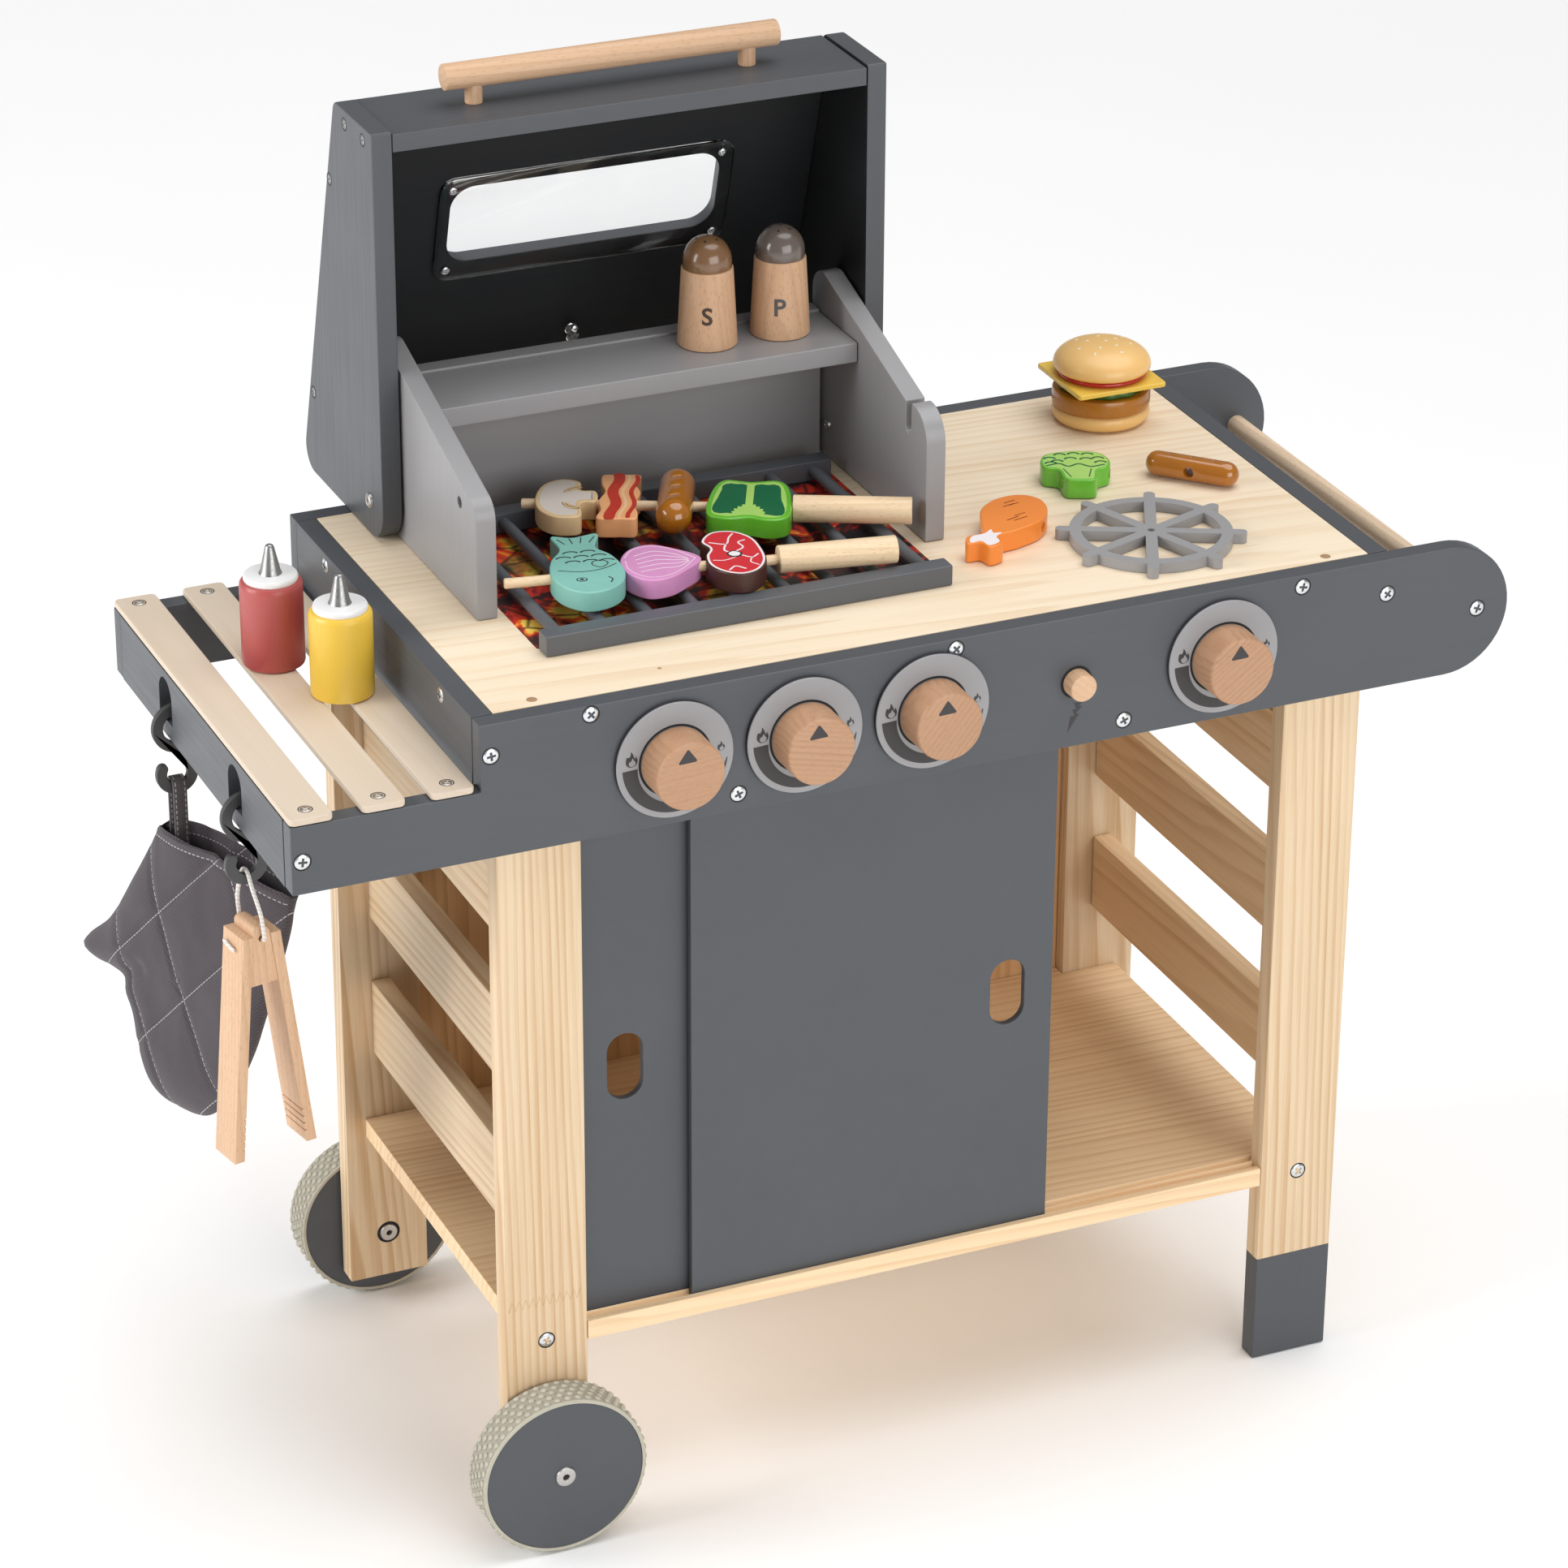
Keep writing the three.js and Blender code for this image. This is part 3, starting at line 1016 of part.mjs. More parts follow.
// A padded form: an outline whose faces swell from a thin edge to its full thickness
function puffed(shape, thick) {
  const outline = shape.getPoints();
  const shares = [...MITT_PUFF_SHARES, ...MITT_PUFF_SHARES.slice(0, -1).reverse()];
  const rings = shares.map((share, index) => {
    const side = index < MITT_PUFF_SHARES.length - 1 ? -1 : 1;
    const swell = side * thick / 2 * Math.sqrt(1 - share ** MITT_PUFF_POWER);
    return outline.map((point) => [point.x * share, point.y * share, swell]);
  });
  const corners = [];
  for (let ring = 0; ring < rings.length - 1; ring += 1) {
    outline.forEach((_, index) => {
      const next = (index + 1) % outline.length;
      const [a, b] = [rings[ring][index], rings[ring][next]];
      const [c, d] = [rings[ring + 1][next], rings[ring + 1][index]];
      corners.push(...a, ...b, ...c, ...a, ...c, ...d);
    });
  }
  const geometry = new THREE.BufferGeometry();
  geometry.setAttribute('position', new THREE.BufferAttribute(new Float32Array(corners), 3));
  return geometry;
}

// Oven mitt with its hanging tape round the hook's cup
const hookSeat = cupZ - HOOK_CUP_RADIUS + HOOK_RING_BAND / 2;
function ovenMitt() {
  const [backRow] = HOOK_ROWS;
  const geometry = puffed(smoothOutline(MITT_SHARES, MITT_WIDTH, MITT_HEIGHT), MITT_THICK);
  geometry.translate(MITT_MIDDLE, 0, 0);
  geometry.rotateX(Math.PI / 2);
  const middleZ = cupZ - MITT_TOP_DROP - MITT_HEIGHT / 2;
  const body = toSolid(placed(geometry, cupX, backRow, middleZ, MITT_TURN_ANGLE));
  const half = TAPE_WIDTH / 2;
  const gap = TAPE_GAP / 2;
  const tapeUnder = hookSeat + TAPE_RISE;
  const bodyTop = cupZ - MITT_TOP_DROP;
  const tape = block(
    cupX - half, cupX + half, backRow - gap - TAPE_THICK, backRow + gap + TAPE_THICK,
    bodyTop - TAPE_LAP, tapeUnder + TAPE_THICK,
  );
  const opening = block(
    cupX - half - OVERRUN, cupX + half + OVERRUN, backRow - gap, backRow + gap, bodyTop + OVERRUN, tapeUnder,
  );
  return joined(body, cut(tape, opening));
}
add('oven_mitt', ovenMitt(), cloth);

// Tongs: the left arm and the block are one piece, and the right arm bends where it leaves the block
const [, tongsY] = HOOK_ROWS;
function tongsPiece(shape) {
  const geometry = slab(shape, TONGS_WIDTH);
  geometry.translate(0, 0, -TONGS_WIDTH / 2);
  geometry.rotateX(Math.PI / 2);
  return toSolid(placed(geometry, cupX, tongsY, 0, TONGS_TURN_ANGLE));
}

const tongsFork = cupZ - TONGS_BLOCK_DROP;
const tongsSole = cupZ - TONGS_SOLE_DROP;
const tongsCrown = cupZ - TONGS_CROWN_DROP;
const tongsShoulder = cupZ - TONGS_SHOULDER_DROP;
function leftArmEdge(z) {
  const share = (tongsShoulder - z) / (tongsShoulder - tongsSole);
  return TONGS_LEFT_TOP + (TONGS_LEFT_FOOT - TONGS_LEFT_TOP) * share;
}

function rightArmEdge(z) {
  const share = (tongsShoulder - z) / (tongsShoulder - tongsSole);
  return TONGS_RIGHT_TOP + (TONGS_RIGHT_FOOT - TONGS_RIGHT_TOP) * share;
}

function tongsBody() {
  const shape = roundedOutline([
    [leftArmEdge(tongsShoulder), tongsShoulder, FIT], [leftArmEdge(tongsSole), tongsSole, FIT],
    [leftArmEdge(tongsSole) + TONGS_ARM, tongsSole, FIT], [leftArmEdge(tongsFork) + TONGS_ARM, tongsFork],
    [rightArmEdge(tongsFork), tongsFork], [rightArmEdge(tongsShoulder), tongsShoulder, FIT],
    [rightArmEdge(tongsShoulder) - TONGS_ARM, tongsCrown, TONGS_CROWN_ROUND],
    [leftArmEdge(tongsShoulder) + TONGS_ARM, tongsCrown, TONGS_CROWN_ROUND / 2],
    [leftArmEdge(tongsShoulder) + TONGS_ARM, tongsShoulder],
  ]);
  const holeZ = cupZ - TONGS_HOLE_DROP;
  const hole = new THREE.CylinderGeometry(
    TONGS_HOLE_RADIUS, TONGS_HOLE_RADIUS, TONGS_WIDTH + 2 * OVERRUN, CURVE_STEPS * 2,
  );
  hole.translate(TONGS_HOLE_X, 0, holeZ);
  return cut(tongsPiece(shape), toSolid(placed(hole, cupX, tongsY, 0, TONGS_TURN_ANGLE)));
}

function tongsRightArm() {
  const head = tongsFork - FIT;
  const shape = roundedOutline([
    [rightArmEdge(head) - TONGS_ARM, head], [rightArmEdge(tongsSole) - TONGS_ARM, tongsSole, FIT],
    [rightArmEdge(tongsSole), tongsSole, FIT], [rightArmEdge(head), head],
  ]);
  return tongsPiece(shape);
}
add('tongs_left_arm', tongsBody(), beech);
add('tongs_right_arm', tongsRightArm(), beech);

// The tongs' cord, in the tongs' own turned frame
function tongsCord() {
  const path = new THREE.CatmullRomCurve3(CORD_ROUTE.map((point) => new THREE.Vector3(...point)));
  const section = new THREE.Shape();
  for (let index = 0; index < CORD_SIDES; index += 1) {
    const angle = 2 * Math.PI * index / CORD_SIDES;
    const x = CORD_RADIUS * Math.cos(angle);
    const y = CORD_RADIUS * Math.sin(angle);
    if (index === 0) section.moveTo(x, y);
    else section.lineTo(x, y);
  }
  section.closePath();
  return new THREE.ExtrudeGeometry(section, { steps: CORD_STEPS, bevelEnabled: false, extrudePath: path });
}
add('tongs_cord', toSolid(placed(tongsCord(), cupX, tongsY, 0, TONGS_TURN_ANGLE)), cordWhite);

// The origin is the middle of the part's footprint, on the floor
const bounds = new THREE.Box3();
group.children.filter((mesh) => mesh.name !== 'tongs_cord').forEach((mesh) => bounds.expandByObject(mesh));
const centre = bounds.getCenter(new THREE.Vector3());
group.position.set(-centre.x, -centre.y, -bounds.min.z);

export default group;
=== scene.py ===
"""The looks of a toy barbecue grill on a wooden cart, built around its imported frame.

Lengths in calls are millimetres from the floor and the middle of the long boards; at() turns them to metres.
"""
import json
import math
import random
import bpy
from mathutils import Matrix, Vector, noise


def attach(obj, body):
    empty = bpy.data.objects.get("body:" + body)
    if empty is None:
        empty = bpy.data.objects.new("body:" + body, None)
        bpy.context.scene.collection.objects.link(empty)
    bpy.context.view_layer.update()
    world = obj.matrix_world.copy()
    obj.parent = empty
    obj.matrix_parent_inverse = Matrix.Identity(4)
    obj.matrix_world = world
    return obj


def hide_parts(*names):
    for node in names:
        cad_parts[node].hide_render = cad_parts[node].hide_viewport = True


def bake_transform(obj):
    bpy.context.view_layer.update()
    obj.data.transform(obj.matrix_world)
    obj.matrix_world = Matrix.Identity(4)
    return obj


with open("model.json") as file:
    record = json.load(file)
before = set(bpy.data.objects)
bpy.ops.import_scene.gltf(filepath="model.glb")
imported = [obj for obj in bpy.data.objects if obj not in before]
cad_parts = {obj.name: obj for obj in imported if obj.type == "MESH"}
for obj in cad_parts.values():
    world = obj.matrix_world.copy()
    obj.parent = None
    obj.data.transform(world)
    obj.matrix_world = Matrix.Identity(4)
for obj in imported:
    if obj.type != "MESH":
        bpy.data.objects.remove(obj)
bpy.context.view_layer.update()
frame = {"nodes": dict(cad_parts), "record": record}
bpy.ops.object.select_all(action="DESELECT")
BODY_OF = {node: body for body, nodes in frame["record"]["behaviour"]["bodies"].items() for node in nodes}
MM = 0.001
SHIFT = Vector((16.0115, -170.7974, 0.0))
REST = 520.3  # where loose things lie on the worktop


def at(x, y, z):
    """A place on the grill, in metres of the frame."""
    return (Vector((x, y, z)) + SHIFT) * MM


# Camera at the photograph's viewing angle
CAMERA_PLACE = (-1163.77, -2439.31, 1775.94)
CAMERA_AZIMUTH, CAMERA_RISE, CAMERA_ROLL = math.radians(-23.8749), math.radians(26.3928), math.radians(-0.2871)
CAMERA_LENS = 126.389


def add_camera():
    back = Vector((
        math.sin(CAMERA_AZIMUTH) * math.cos(CAMERA_RISE),
        -math.cos(CAMERA_AZIMUTH) * math.cos(CAMERA_RISE),
        math.sin(CAMERA_RISE),
    ))
    side = Vector((math.cos(CAMERA_AZIMUTH), math.sin(CAMERA_AZIMUTH), 0.0))
    up = back.cross(side)
    cosine, sine = math.cos(CAMERA_ROLL), math.sin(CAMERA_ROLL)
    right = side * cosine - up * sine
    top = side * sine + up * cosine
    camera = bpy.data.cameras.new("camera")
    camera.lens = CAMERA_LENS
    camera.sensor_width = 36.0
    camera.clip_end = 50.0
    holder = bpy.data.objects.new("camera", camera)
    bpy.context.scene.collection.objects.link(holder)
    holder.matrix_world = Matrix.Translation(at(*CAMERA_PLACE)) @ Matrix((right, top, back)).transposed().to_4x4()
    bpy.context.scene.camera = holder


add_camera()


class Wire:
    """A node's output that takes part in sums: each sum adds its Math node."""

    def __init__(self, look, socket):
        self.look, self.socket = look, socket

    def math(self, operation, *values):
        return self.look.node("Math", {"operation": operation}, *values)

    def __add__(self, other): return self.math("ADD", self, other)
    def __radd__(self, other): return self.math("ADD", other, self)
    def __sub__(self, other): return self.math("SUBTRACT", self, other)
    def __rsub__(self, other): return self.math("SUBTRACT", other, self)
    def __mul__(self, other): return self.math("MULTIPLY", self, other)
    def __rmul__(self, other): return self.math("MULTIPLY", other, self)
    def __truediv__(self, other): return self.math("DIVIDE", self, other)
    def __lt__(self, other): return self.math("LESS_THAN", self, other)
    def __abs__(self): return self.math("ABSOLUTE", self)
    def fract(self): return self.math("FRACT", self)
    def floor(self): return self.math("FLOOR", self)
    def root(self): return self.math("SQRT", self)
    def sine(self): return self.math("SINE", self)
    def least(self, other): return self.math("MINIMUM", self, other)
    def most(self, other): return self.math("MAXIMUM", self, other)

    def between(self, low, high, start=0.0, end=1.0):
        return self.look.node("MapRange", {"interpolation_type": "SMOOTHSTEP"}, self, low, high, start, end)


class Look:
    """A finish: a Principled shader with the nodes that feed it, and the record's slot that it stands for."""

    def __init__(self, name, slot=None, **fixed):
        self.material = bpy.data.materials.new(name)
        self.material.use_nodes = True
        self.tree = self.material.node_tree
        self.shader = self.tree.nodes["Principled BSDF"]
        self.slot = slot
        for socket, value in fixed.items():
            self.shader.inputs[socket.replace("_", " ")].default_value = value
        self.coordinates = self.node("TexCoord", output="Object")
        self.x, self.y, self.z = self.split(self.coordinates)

    def node(self, kind, settings=None, *values, output=0, **named):
        node = self.tree.nodes.new("ShaderNode" + kind)
        for key, value in (settings or {}).items():
            if key == "stops":
                self.set_stops(node.color_ramp, value)
            else:
                setattr(node, key, value)
        for socket, value in zip(node.inputs, values):
            self.plug(socket, value)
        for name, value in named.items():
            self.plug(node.inputs[name.replace("_", " ")], value)
        return Wire(self, node.outputs[output])

    def set_stops(self, ramp, stops):
        while len(ramp.elements) < len(stops):
            ramp.elements.new(1.0)
        for element, (place, colour) in zip(ramp.elements, stops):
            element.position = place
            element.color = colour

    def plug(self, socket, value):
        if isinstance(value, Wire):
            self.tree.links.new(value.socket, socket)
        elif value is not None:
            socket.default_value = value

    def feed(self, socket, wire):
        self.tree.links.new(wire.socket, self.shader.inputs[socket])

    def split(self, vector):
        node = self.tree.nodes.new("ShaderNodeSeparateXYZ")
        self.plug(node.inputs[0], vector)
        return [Wire(self, output) for output in node.outputs]

    def vector(self, x, y, z):
        return self.node("CombineXYZ", None, x, y, z)

    def mapped(self, vector, turn=(0, 0, 0), scale=(1, 1, 1), place=(0, 0, 0)):
        return self.node("Mapping", None, vector, Location=place, Rotation=turn, Scale=scale)

    def noise(self, vector, scale, detail=3.0, roughness=0.5, distortion=0.0):
        return self.node(
            "TexNoise", None, Vector=vector, Scale=scale, Detail=detail, Roughness=roughness, Distortion=distortion,
        )

    def ramp(self, value, stops):
        return self.node("ValToRGB", {"stops": stops}, value)

    def mix(self, share, first, second):
        node = self.tree.nodes.new("ShaderNodeMix")
        node.data_type = "RGBA"
        self.plug(node.inputs[0], share)
        self.plug(node.inputs[6], first)
        self.plug(node.inputs[7], second)
        return Wire(self, node.outputs[2])

    def bump(self, height, strength, distance):
        self.feed("Normal", self.node("Bump", None, Strength=strength, Distance=distance, Height=height))


def tone(red, green, blue):
    """A colour in linear light with full cover."""
    return (red, green, blue, 1.0)


def shade(colour, share):
    return tone(*[channel * share for channel in colour[:3]])


# Wood: rings round a far pith, cut by the board's faces, with fibres along the grain
WOOD_ROUGHNESS = 0.5


def wood(name, slot, pale, dark, along="x", turn=(0, 0, 0), pith=(0.09, 0.05), ring=0.0045, depth=1.0,
         fleck=0.0, planks=None):
    look = Look(name, slot, Roughness=WOOD_ROUGHNESS)
    place = look.mapped(look.coordinates, turn)
    x, y, z = look.split(place)
    length, across, deep = {"x": (x, y, z), "y": (y, x, z), "z": (z, x, y)}[along]
    tint = None
    if planks:
        number = (across / planks).floor()
        tint = look.node("TexWhiteNoise", {"noise_dimensions": "1D"}, W=number)
        length = length + tint * 3.0
        across = across + (tint - 0.5) * 0.11
        deep = deep + tint * 0.05
    drift = look.noise(look.vector(length * 1.3, across * 6.0, deep * 6.0), 1.0, 2.0)
    a = across + pith[0] + (drift - 0.5) * 0.030 + length * 0.035
    b = deep + pith[1] + length * 0.02
    radius = (a * a + b * b).root()
    uneven = look.noise(look.vector(length * 0.8, a * 40.0, b * 40.0), 1.0, 2.0)
    rings = (radius / ring + uneven * 2.8).fract()
    late = rings.between(0.25, 0.88) * (1.0 - rings.between(0.90, 1.0))
    fibres = look.noise(look.vector(length * 14.0, across * 900.0, deep * 900.0), 1.0, 3.0, 0.65)
    broad = look.noise(look.vector(length * 2.5, across * 22.0, deep * 22.0), 1.0, 3.0)
    clear = look.noise(look.vector(length * 0.7, a * 60.0, b * 60.0), 1.0, 2.0).between(0.34, 0.66, 0.35, 1.0)
    share = (late * clear * 0.62 + (fibres - 0.5) * 0.75 + (broad - 0.5) * 0.75 + 0.10) * depth
    colour = look.mix(share.most(0.0).least(1.0), pale, dark)
    if fleck:
        spots = look.node(
            "TexVoronoi", None, output="Distance",
            Vector=look.vector(length * 160.0, across * 1100.0, deep * 1100.0), Scale=1.0,
        )
        colour = look.mix((1.0 - spots.between(0.1, 0.34)) * fleck, colour, shade(dark, 0.55))
    if tint:
        colour = look.mix(0.14, colour, look.ramp(tint, [(0.0, shade(pale, 1.1)), (1.0, shade(dark, 0.9))]))
    look.feed("Base Color", colour)
    look.feed("Roughness", fibres.between(0.2, 0.8, WOOD_ROUGHNESS - 0.06, WOOD_ROUGHNESS + 0.08))
    look.bump(fibres * 0.6 + rings * 0.25, 0.25, 0.0002)
    return look


# Paint that lets a little of the board's grain through
def paint(name, slot, colour, along="x", roughness=0.42, grain=0.12, specular=0.5):
    look = Look(name, slot, Roughness=roughness, Specular_IOR_Level=specular)
    stretch = {"x": (12, 420, 420), "y": (420, 12, 420), "z": (420, 420, 12), None: (90, 90, 90)}[along]
    fibres = look.noise(look.mapped(look.coordinates, scale=stretch), 1.0, 4.0, 0.6)
    broad = look.noise(look.coordinates, 14.0, 2.0)
    look.feed("Base Color", look.mix(
        (fibres * grain * 2.0 + broad * 0.25).least(1.0), shade(colour, 1.07), shade(colour, 0.80),
    ))
    look.feed("Roughness", (fibres * 0.6 + broad * 0.4).between(0.25, 0.75, roughness - 0.05, roughness + 0.07))
    look.bump(fibres, 0.16 + grain, 0.00022)
    return look


DARK, GREY = tone(0.074, 0.080, 0.090), tone(0.305, 0.301, 0.309)
PINE_PALE, PINE_DARK = tone(0.79, 0.615, 0.41), tone(0.55, 0.32, 0.14)
# SHADED: a warmer, brighter pine for the right rails and the shelf, painted to stand in for the warm light in their
# shade.
SHADED_PALE, SHADED_DARK = tone(0.94, 0.70, 0.44), tone(0.70, 0.43, 0.21)
BEECH_PALE, BEECH_DARK = tone(0.71, 0.465, 0.29), tone(0.52, 0.29, 0.155)
dark_x = paint("dark_paint_x", "dark_paint", DARK, "x")
dark_y = paint("dark_paint_y", "dark_paint", DARK, "y")
dark_z = paint("dark_paint_z", "dark_paint", DARK, "z")
dark_smooth = paint("dark_paint_smooth", "dark_paint", DARK, None, 0.5, 0.03)
# The hood's inner faces take the dark paint at a fifth of its colour: painted shade for the lid's dark inside.
hood_shade_paint = paint("hood_inside_shade_paint", "dark_paint", shade(DARK, 0.2), "x", 0.5, 0.2, 0.25)
grey_x = paint("grey_paint_x", "grey_paint", GREY, "x", 0.36, 0.05)
grey_z = paint("grey_paint_z", "grey_paint", GREY, "z", 0.36, 0.05)
grate_paint = paint("grate_paint", "black_paint", shade(DARK, 1.3), "x", 0.38, 0.06)
# The hooks take the cheeks' grey at a fifth of its colour: painted shade for the shade they hang in under the tray.
hook_grey_shade_paint = paint("hook_grey_shade_paint", "grey_paint", shade(GREY, 0.19), None, 0.45, 0.03)
top_pine = wood(
    "pine_worktop", "pine", tone(0.90, 0.765, 0.58), tone(0.72, 0.51, 0.30), "x",
    pith=(0.30, 0.055), ring=0.0042, planks=0.062, depth=0.8,
)
leg_pine = wood("pine_legs", "pine", PINE_PALE, PINE_DARK, "z", pith=(0.33, 0.10), ring=0.0048, depth=1.0)
rail_pine = wood("pine_rails", "pine", PINE_PALE, PINE_DARK, "y", pith=(0.42, 0.05), ring=0.0058)
right_rails_shade_tint_pine = wood("right_rails_shade_tint", "pine", SHADED_PALE, SHADED_DARK, "y", pith=(0.42, 0.05), ring=0.0058)
shelf_shade_tint_pine = wood("shelf_shade_tint", "pine", SHADED_PALE, SHADED_DARK, "x", pith=(0.42, 0.03), ring=0.0058, planks=0.07)
slat_ply = wood(
    "plywood_slats", "plywood", tone(0.68, 0.57, 0.45), tone(0.58, 0.45, 0.32), "y",
    pith=(0.6, 0.3), ring=0.011, depth=0.45,
)
# The cabinet's back plywood is tinted a saturated orange: painted warm light for the cabinet's shade.
back_ply_shade_tint = wood(
    "back_plywood_shade_tint", "plywood", tone(0.80, 0.50, 0.25), tone(0.58, 0.32, 0.13), "z", pith=(0.5, 0.04), ring=0.009,
)
beech_x = wood("beech_x", "beech", BEECH_PALE, BEECH_DARK, "x", pith=(0.4, 0.03), ring=0.0035, depth=0.6, fleck=0.35)
beech_y = wood("beech_y", "beech", BEECH_PALE, BEECH_DARK, "y", pith=(0.2, 0.03), ring=0.0035, depth=0.6, fleck=0.35)
joint_line = paint("finger_joint_line", None, tone(0.50, 0.30, 0.13), None, 0.5, 0.05)
plug_wood = wood(
    "plug_beech", "beech", tone(0.42, 0.26, 0.14), tone(0.27, 0.14, 0.07), "x",
    pith=(0.4, 0.03), ring=0.0035, fleck=0.35,
)
handle_beech = wood(
    "push_handle_beech", "beech", tone(0.84, 0.65, 0.46), tone(0.64, 0.43, 0.27), "y",
    pith=(0.2, 0.03), ring=0.0035, depth=0.7, fleck=0.35,
)
beech_z = wood("beech_z", "beech", BEECH_PALE, BEECH_DARK, "z", pith=(0.4, 0.03), ring=0.0032, depth=0.7, fleck=0.35)


FOOT_TOP = 69.3


def painted_foot(look):
    """The right legs' dipped feet."""
    colour = look.shader.inputs["Base Color"].links[0].from_socket
    share = look.z < FOOT_TOP * MM
    look.feed("Base Color", look.mix(share, Wire(look, colour), DARK))
    return look


foot_pine = painted_foot(
    wood("pine_right_legs", "pine", PINE_PALE, PINE_DARK, "z", pith=(-0.18, 0.10), ring=0.0048, depth=1.0),
)


# Modelling helpers
WELD = 2e-6
EDGE_ANGLE, SMOOTH_ANGLE = 35, 32


def deselect():
    bpy.ops.object.select_all(action="DESELECT")


def select_mesh():
    bpy.ops.mesh.select_all(action="SELECT")


def weld():
    bpy.ops.mesh.remove_doubles(threshold=WELD)


def discard(*pieces):
    for piece in pieces:
        bpy.data.objects.remove(piece)


def choose(*pieces):
    deselect()
    for piece in pieces:
        piece.select_set(True)
    bpy.context.view_layer.objects.active = pieces[0]


def settle(piece):
    """Moves a piece's place, turn and size into its mesh."""
    choose(piece)
    bpy.ops.object.transform_apply(location=True, rotation=True, scale=True)
    return piece


def edit(piece, *steps):
    """Runs edit-mode steps with everything selected."""
    choose(piece)
    bpy.ops.object.mode_set(mode="EDIT")
    select_mesh()
    for step in steps:
        step()
    bpy.ops.object.mode_set(mode="OBJECT")
    return piece


def face_out():
    select_mesh()
    bpy.ops.mesh.normals_make_consistent(inside=False)


def modified(piece, kind, **settings):
    choose(piece)
    modifier = piece.modifiers.new(kind.lower(), kind)
    for key, value in settings.items():
        setattr(modifier, key, value)
    bpy.ops.object.modifier_apply(modifier=modifier.name)
    return piece


def softened(piece, width, segments=2, angle=EDGE_ANGLE):
    if width:
        modified(
            piece, "BEVEL", width=width * MM, segments=segments, limit_method="ANGLE",
            angle_limit=math.radians(angle), harden_normals=False, use_clamp_overlap=True,
        )
    return piece


def joined(*pieces):
    choose(*pieces)
    if len(pieces) > 1:
        bpy.ops.object.join()
    return bpy.context.object


def combined(piece, operation, others):
    for other in others:
        modified(piece, "BOOLEAN", operation=operation, solver="EXACT", object=other)
        discard(other)
    return piece


def cut(piece, *cutters):
    return combined(piece, "DIFFERENCE", cutters)


def finish(piece, name, look, body, node=None, smooth=SMOOTH_ANGLE, weighted=False):
    """Names a piece, gives it its finish and lets it ride on its body."""
    piece.name = name
    piece.data.materials.clear()
    piece.data.materials.append(look.material)
    settle(piece)
    if smooth:
        bpy.ops.object.shade_smooth_by_angle(angle=math.radians(smooth))
    if weighted:
        modified(piece, "WEIGHTED_NORMAL", keep_sharp=True, weight=100)
    if body:
        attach(piece, body)
    if node:
        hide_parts(*([node] if isinstance(node, str) else node))
    deselect()
    return piece


FRONT, BACK, WEST, EAST, UP = (0, -1, 0), (0, 1, 0), (-1, 0, 0), (1, 0, 0), (0, 0, 1)
CORNER_STEP = 7.5


def oval(x, y, wide, deep, sides):
    """Corners spaced round an oval."""
    angles = [2 * math.pi * i / sides for i in range(sides)]
    return [Vector((x + wide * math.cos(a), y + deep * math.sin(a))) for a in angles]


def circle(x, y, radius, sides):
    return oval(x, y, radius, radius, sides)


def arc_points(corners):
    """An outline with its corners rounded: each corner is (a, b) or (a, b, radius)."""
    points = []
    count = len(corners)
    for index, corner in enumerate(corners):
        here = Vector(corner[:2])
        radius = corner[2] if len(corner) > 2 else 0
        if not radius:
            points.append(here)
            continue
        before = (Vector(corners[index - 1][:2]) - here).normalized()
        after = (Vector(corners[(index + 1) % count][:2]) - here).normalized()
        half = math.acos(max(-1.0, min(1.0, before.dot(after)))) / 2
        centre = here + (before + after).normalized() * radius / math.sin(half)
        start = here + before * radius / math.tan(half) - centre
        turn = math.pi - 2 * half
        if before.x * after.y - before.y * after.x > 0:
            turn = -turn
        steps = max(2, round(abs(math.degrees(turn)) / CORNER_STEP))
        for i in range(steps + 1):
            points.append(centre + Matrix.Rotation(turn * i / steps, 2) @ start)
    return points


PLANES = {
    "xz": (lambda a, b, c: at(a, c, b), Vector((0, 1, 0))),
    "yz": (lambda a, b, c: at(c, a, b), Vector((1, 0, 0))),
    "xy": (lambda a, b, c: at(a, b, c), Vector((0, 0, 1))),
}


def plate(points, plane, low, high):
    """A flat outline made a board from one level to another."""
    place, normal = PLANES[plane]
    deselect()
    bpy.ops.mesh.primitive_circle_add(vertices=len(points), radius=MM, fill_type="NGON")
    piece = bpy.context.object
    for vertex, (a, b) in zip(piece.data.vertices, points):
        vertex.co = place(a, b, low)
    piece.data.update()
    offset = normal * (high - low) * MM
    return edit(
        piece, lambda: bpy.ops.mesh.extrude_region_move(TRANSFORM_OT_translate={"value": offset}), face_out,
    )


def board(name, look, body, corners, plane, low, high, node=None, edge=0.7, cutters=()):
    piece = cut(plate(arc_points(corners), plane, low, high), *cutters)
    return finish(softened(piece, edge), name, look, body, node, weighted=True)


def box_corners(a0, a1, b0, b1, radius=0):
    return [(a0, b0, radius), (a1, b0, radius), (a1, b1, radius), (a0, b1, radius)]


def rod(start, end, radius, sides=40):
    a, b = at(*start), at(*end)
    deselect()
    bpy.ops.mesh.primitive_cylinder_add(
        vertices=sides, radius=radius * MM, depth=(b - a).length, location=(a + b) / 2,
        rotation=(b - a).to_track_quat("Z", "Y").to_euler(),
    )
    return settle(bpy.context.object)


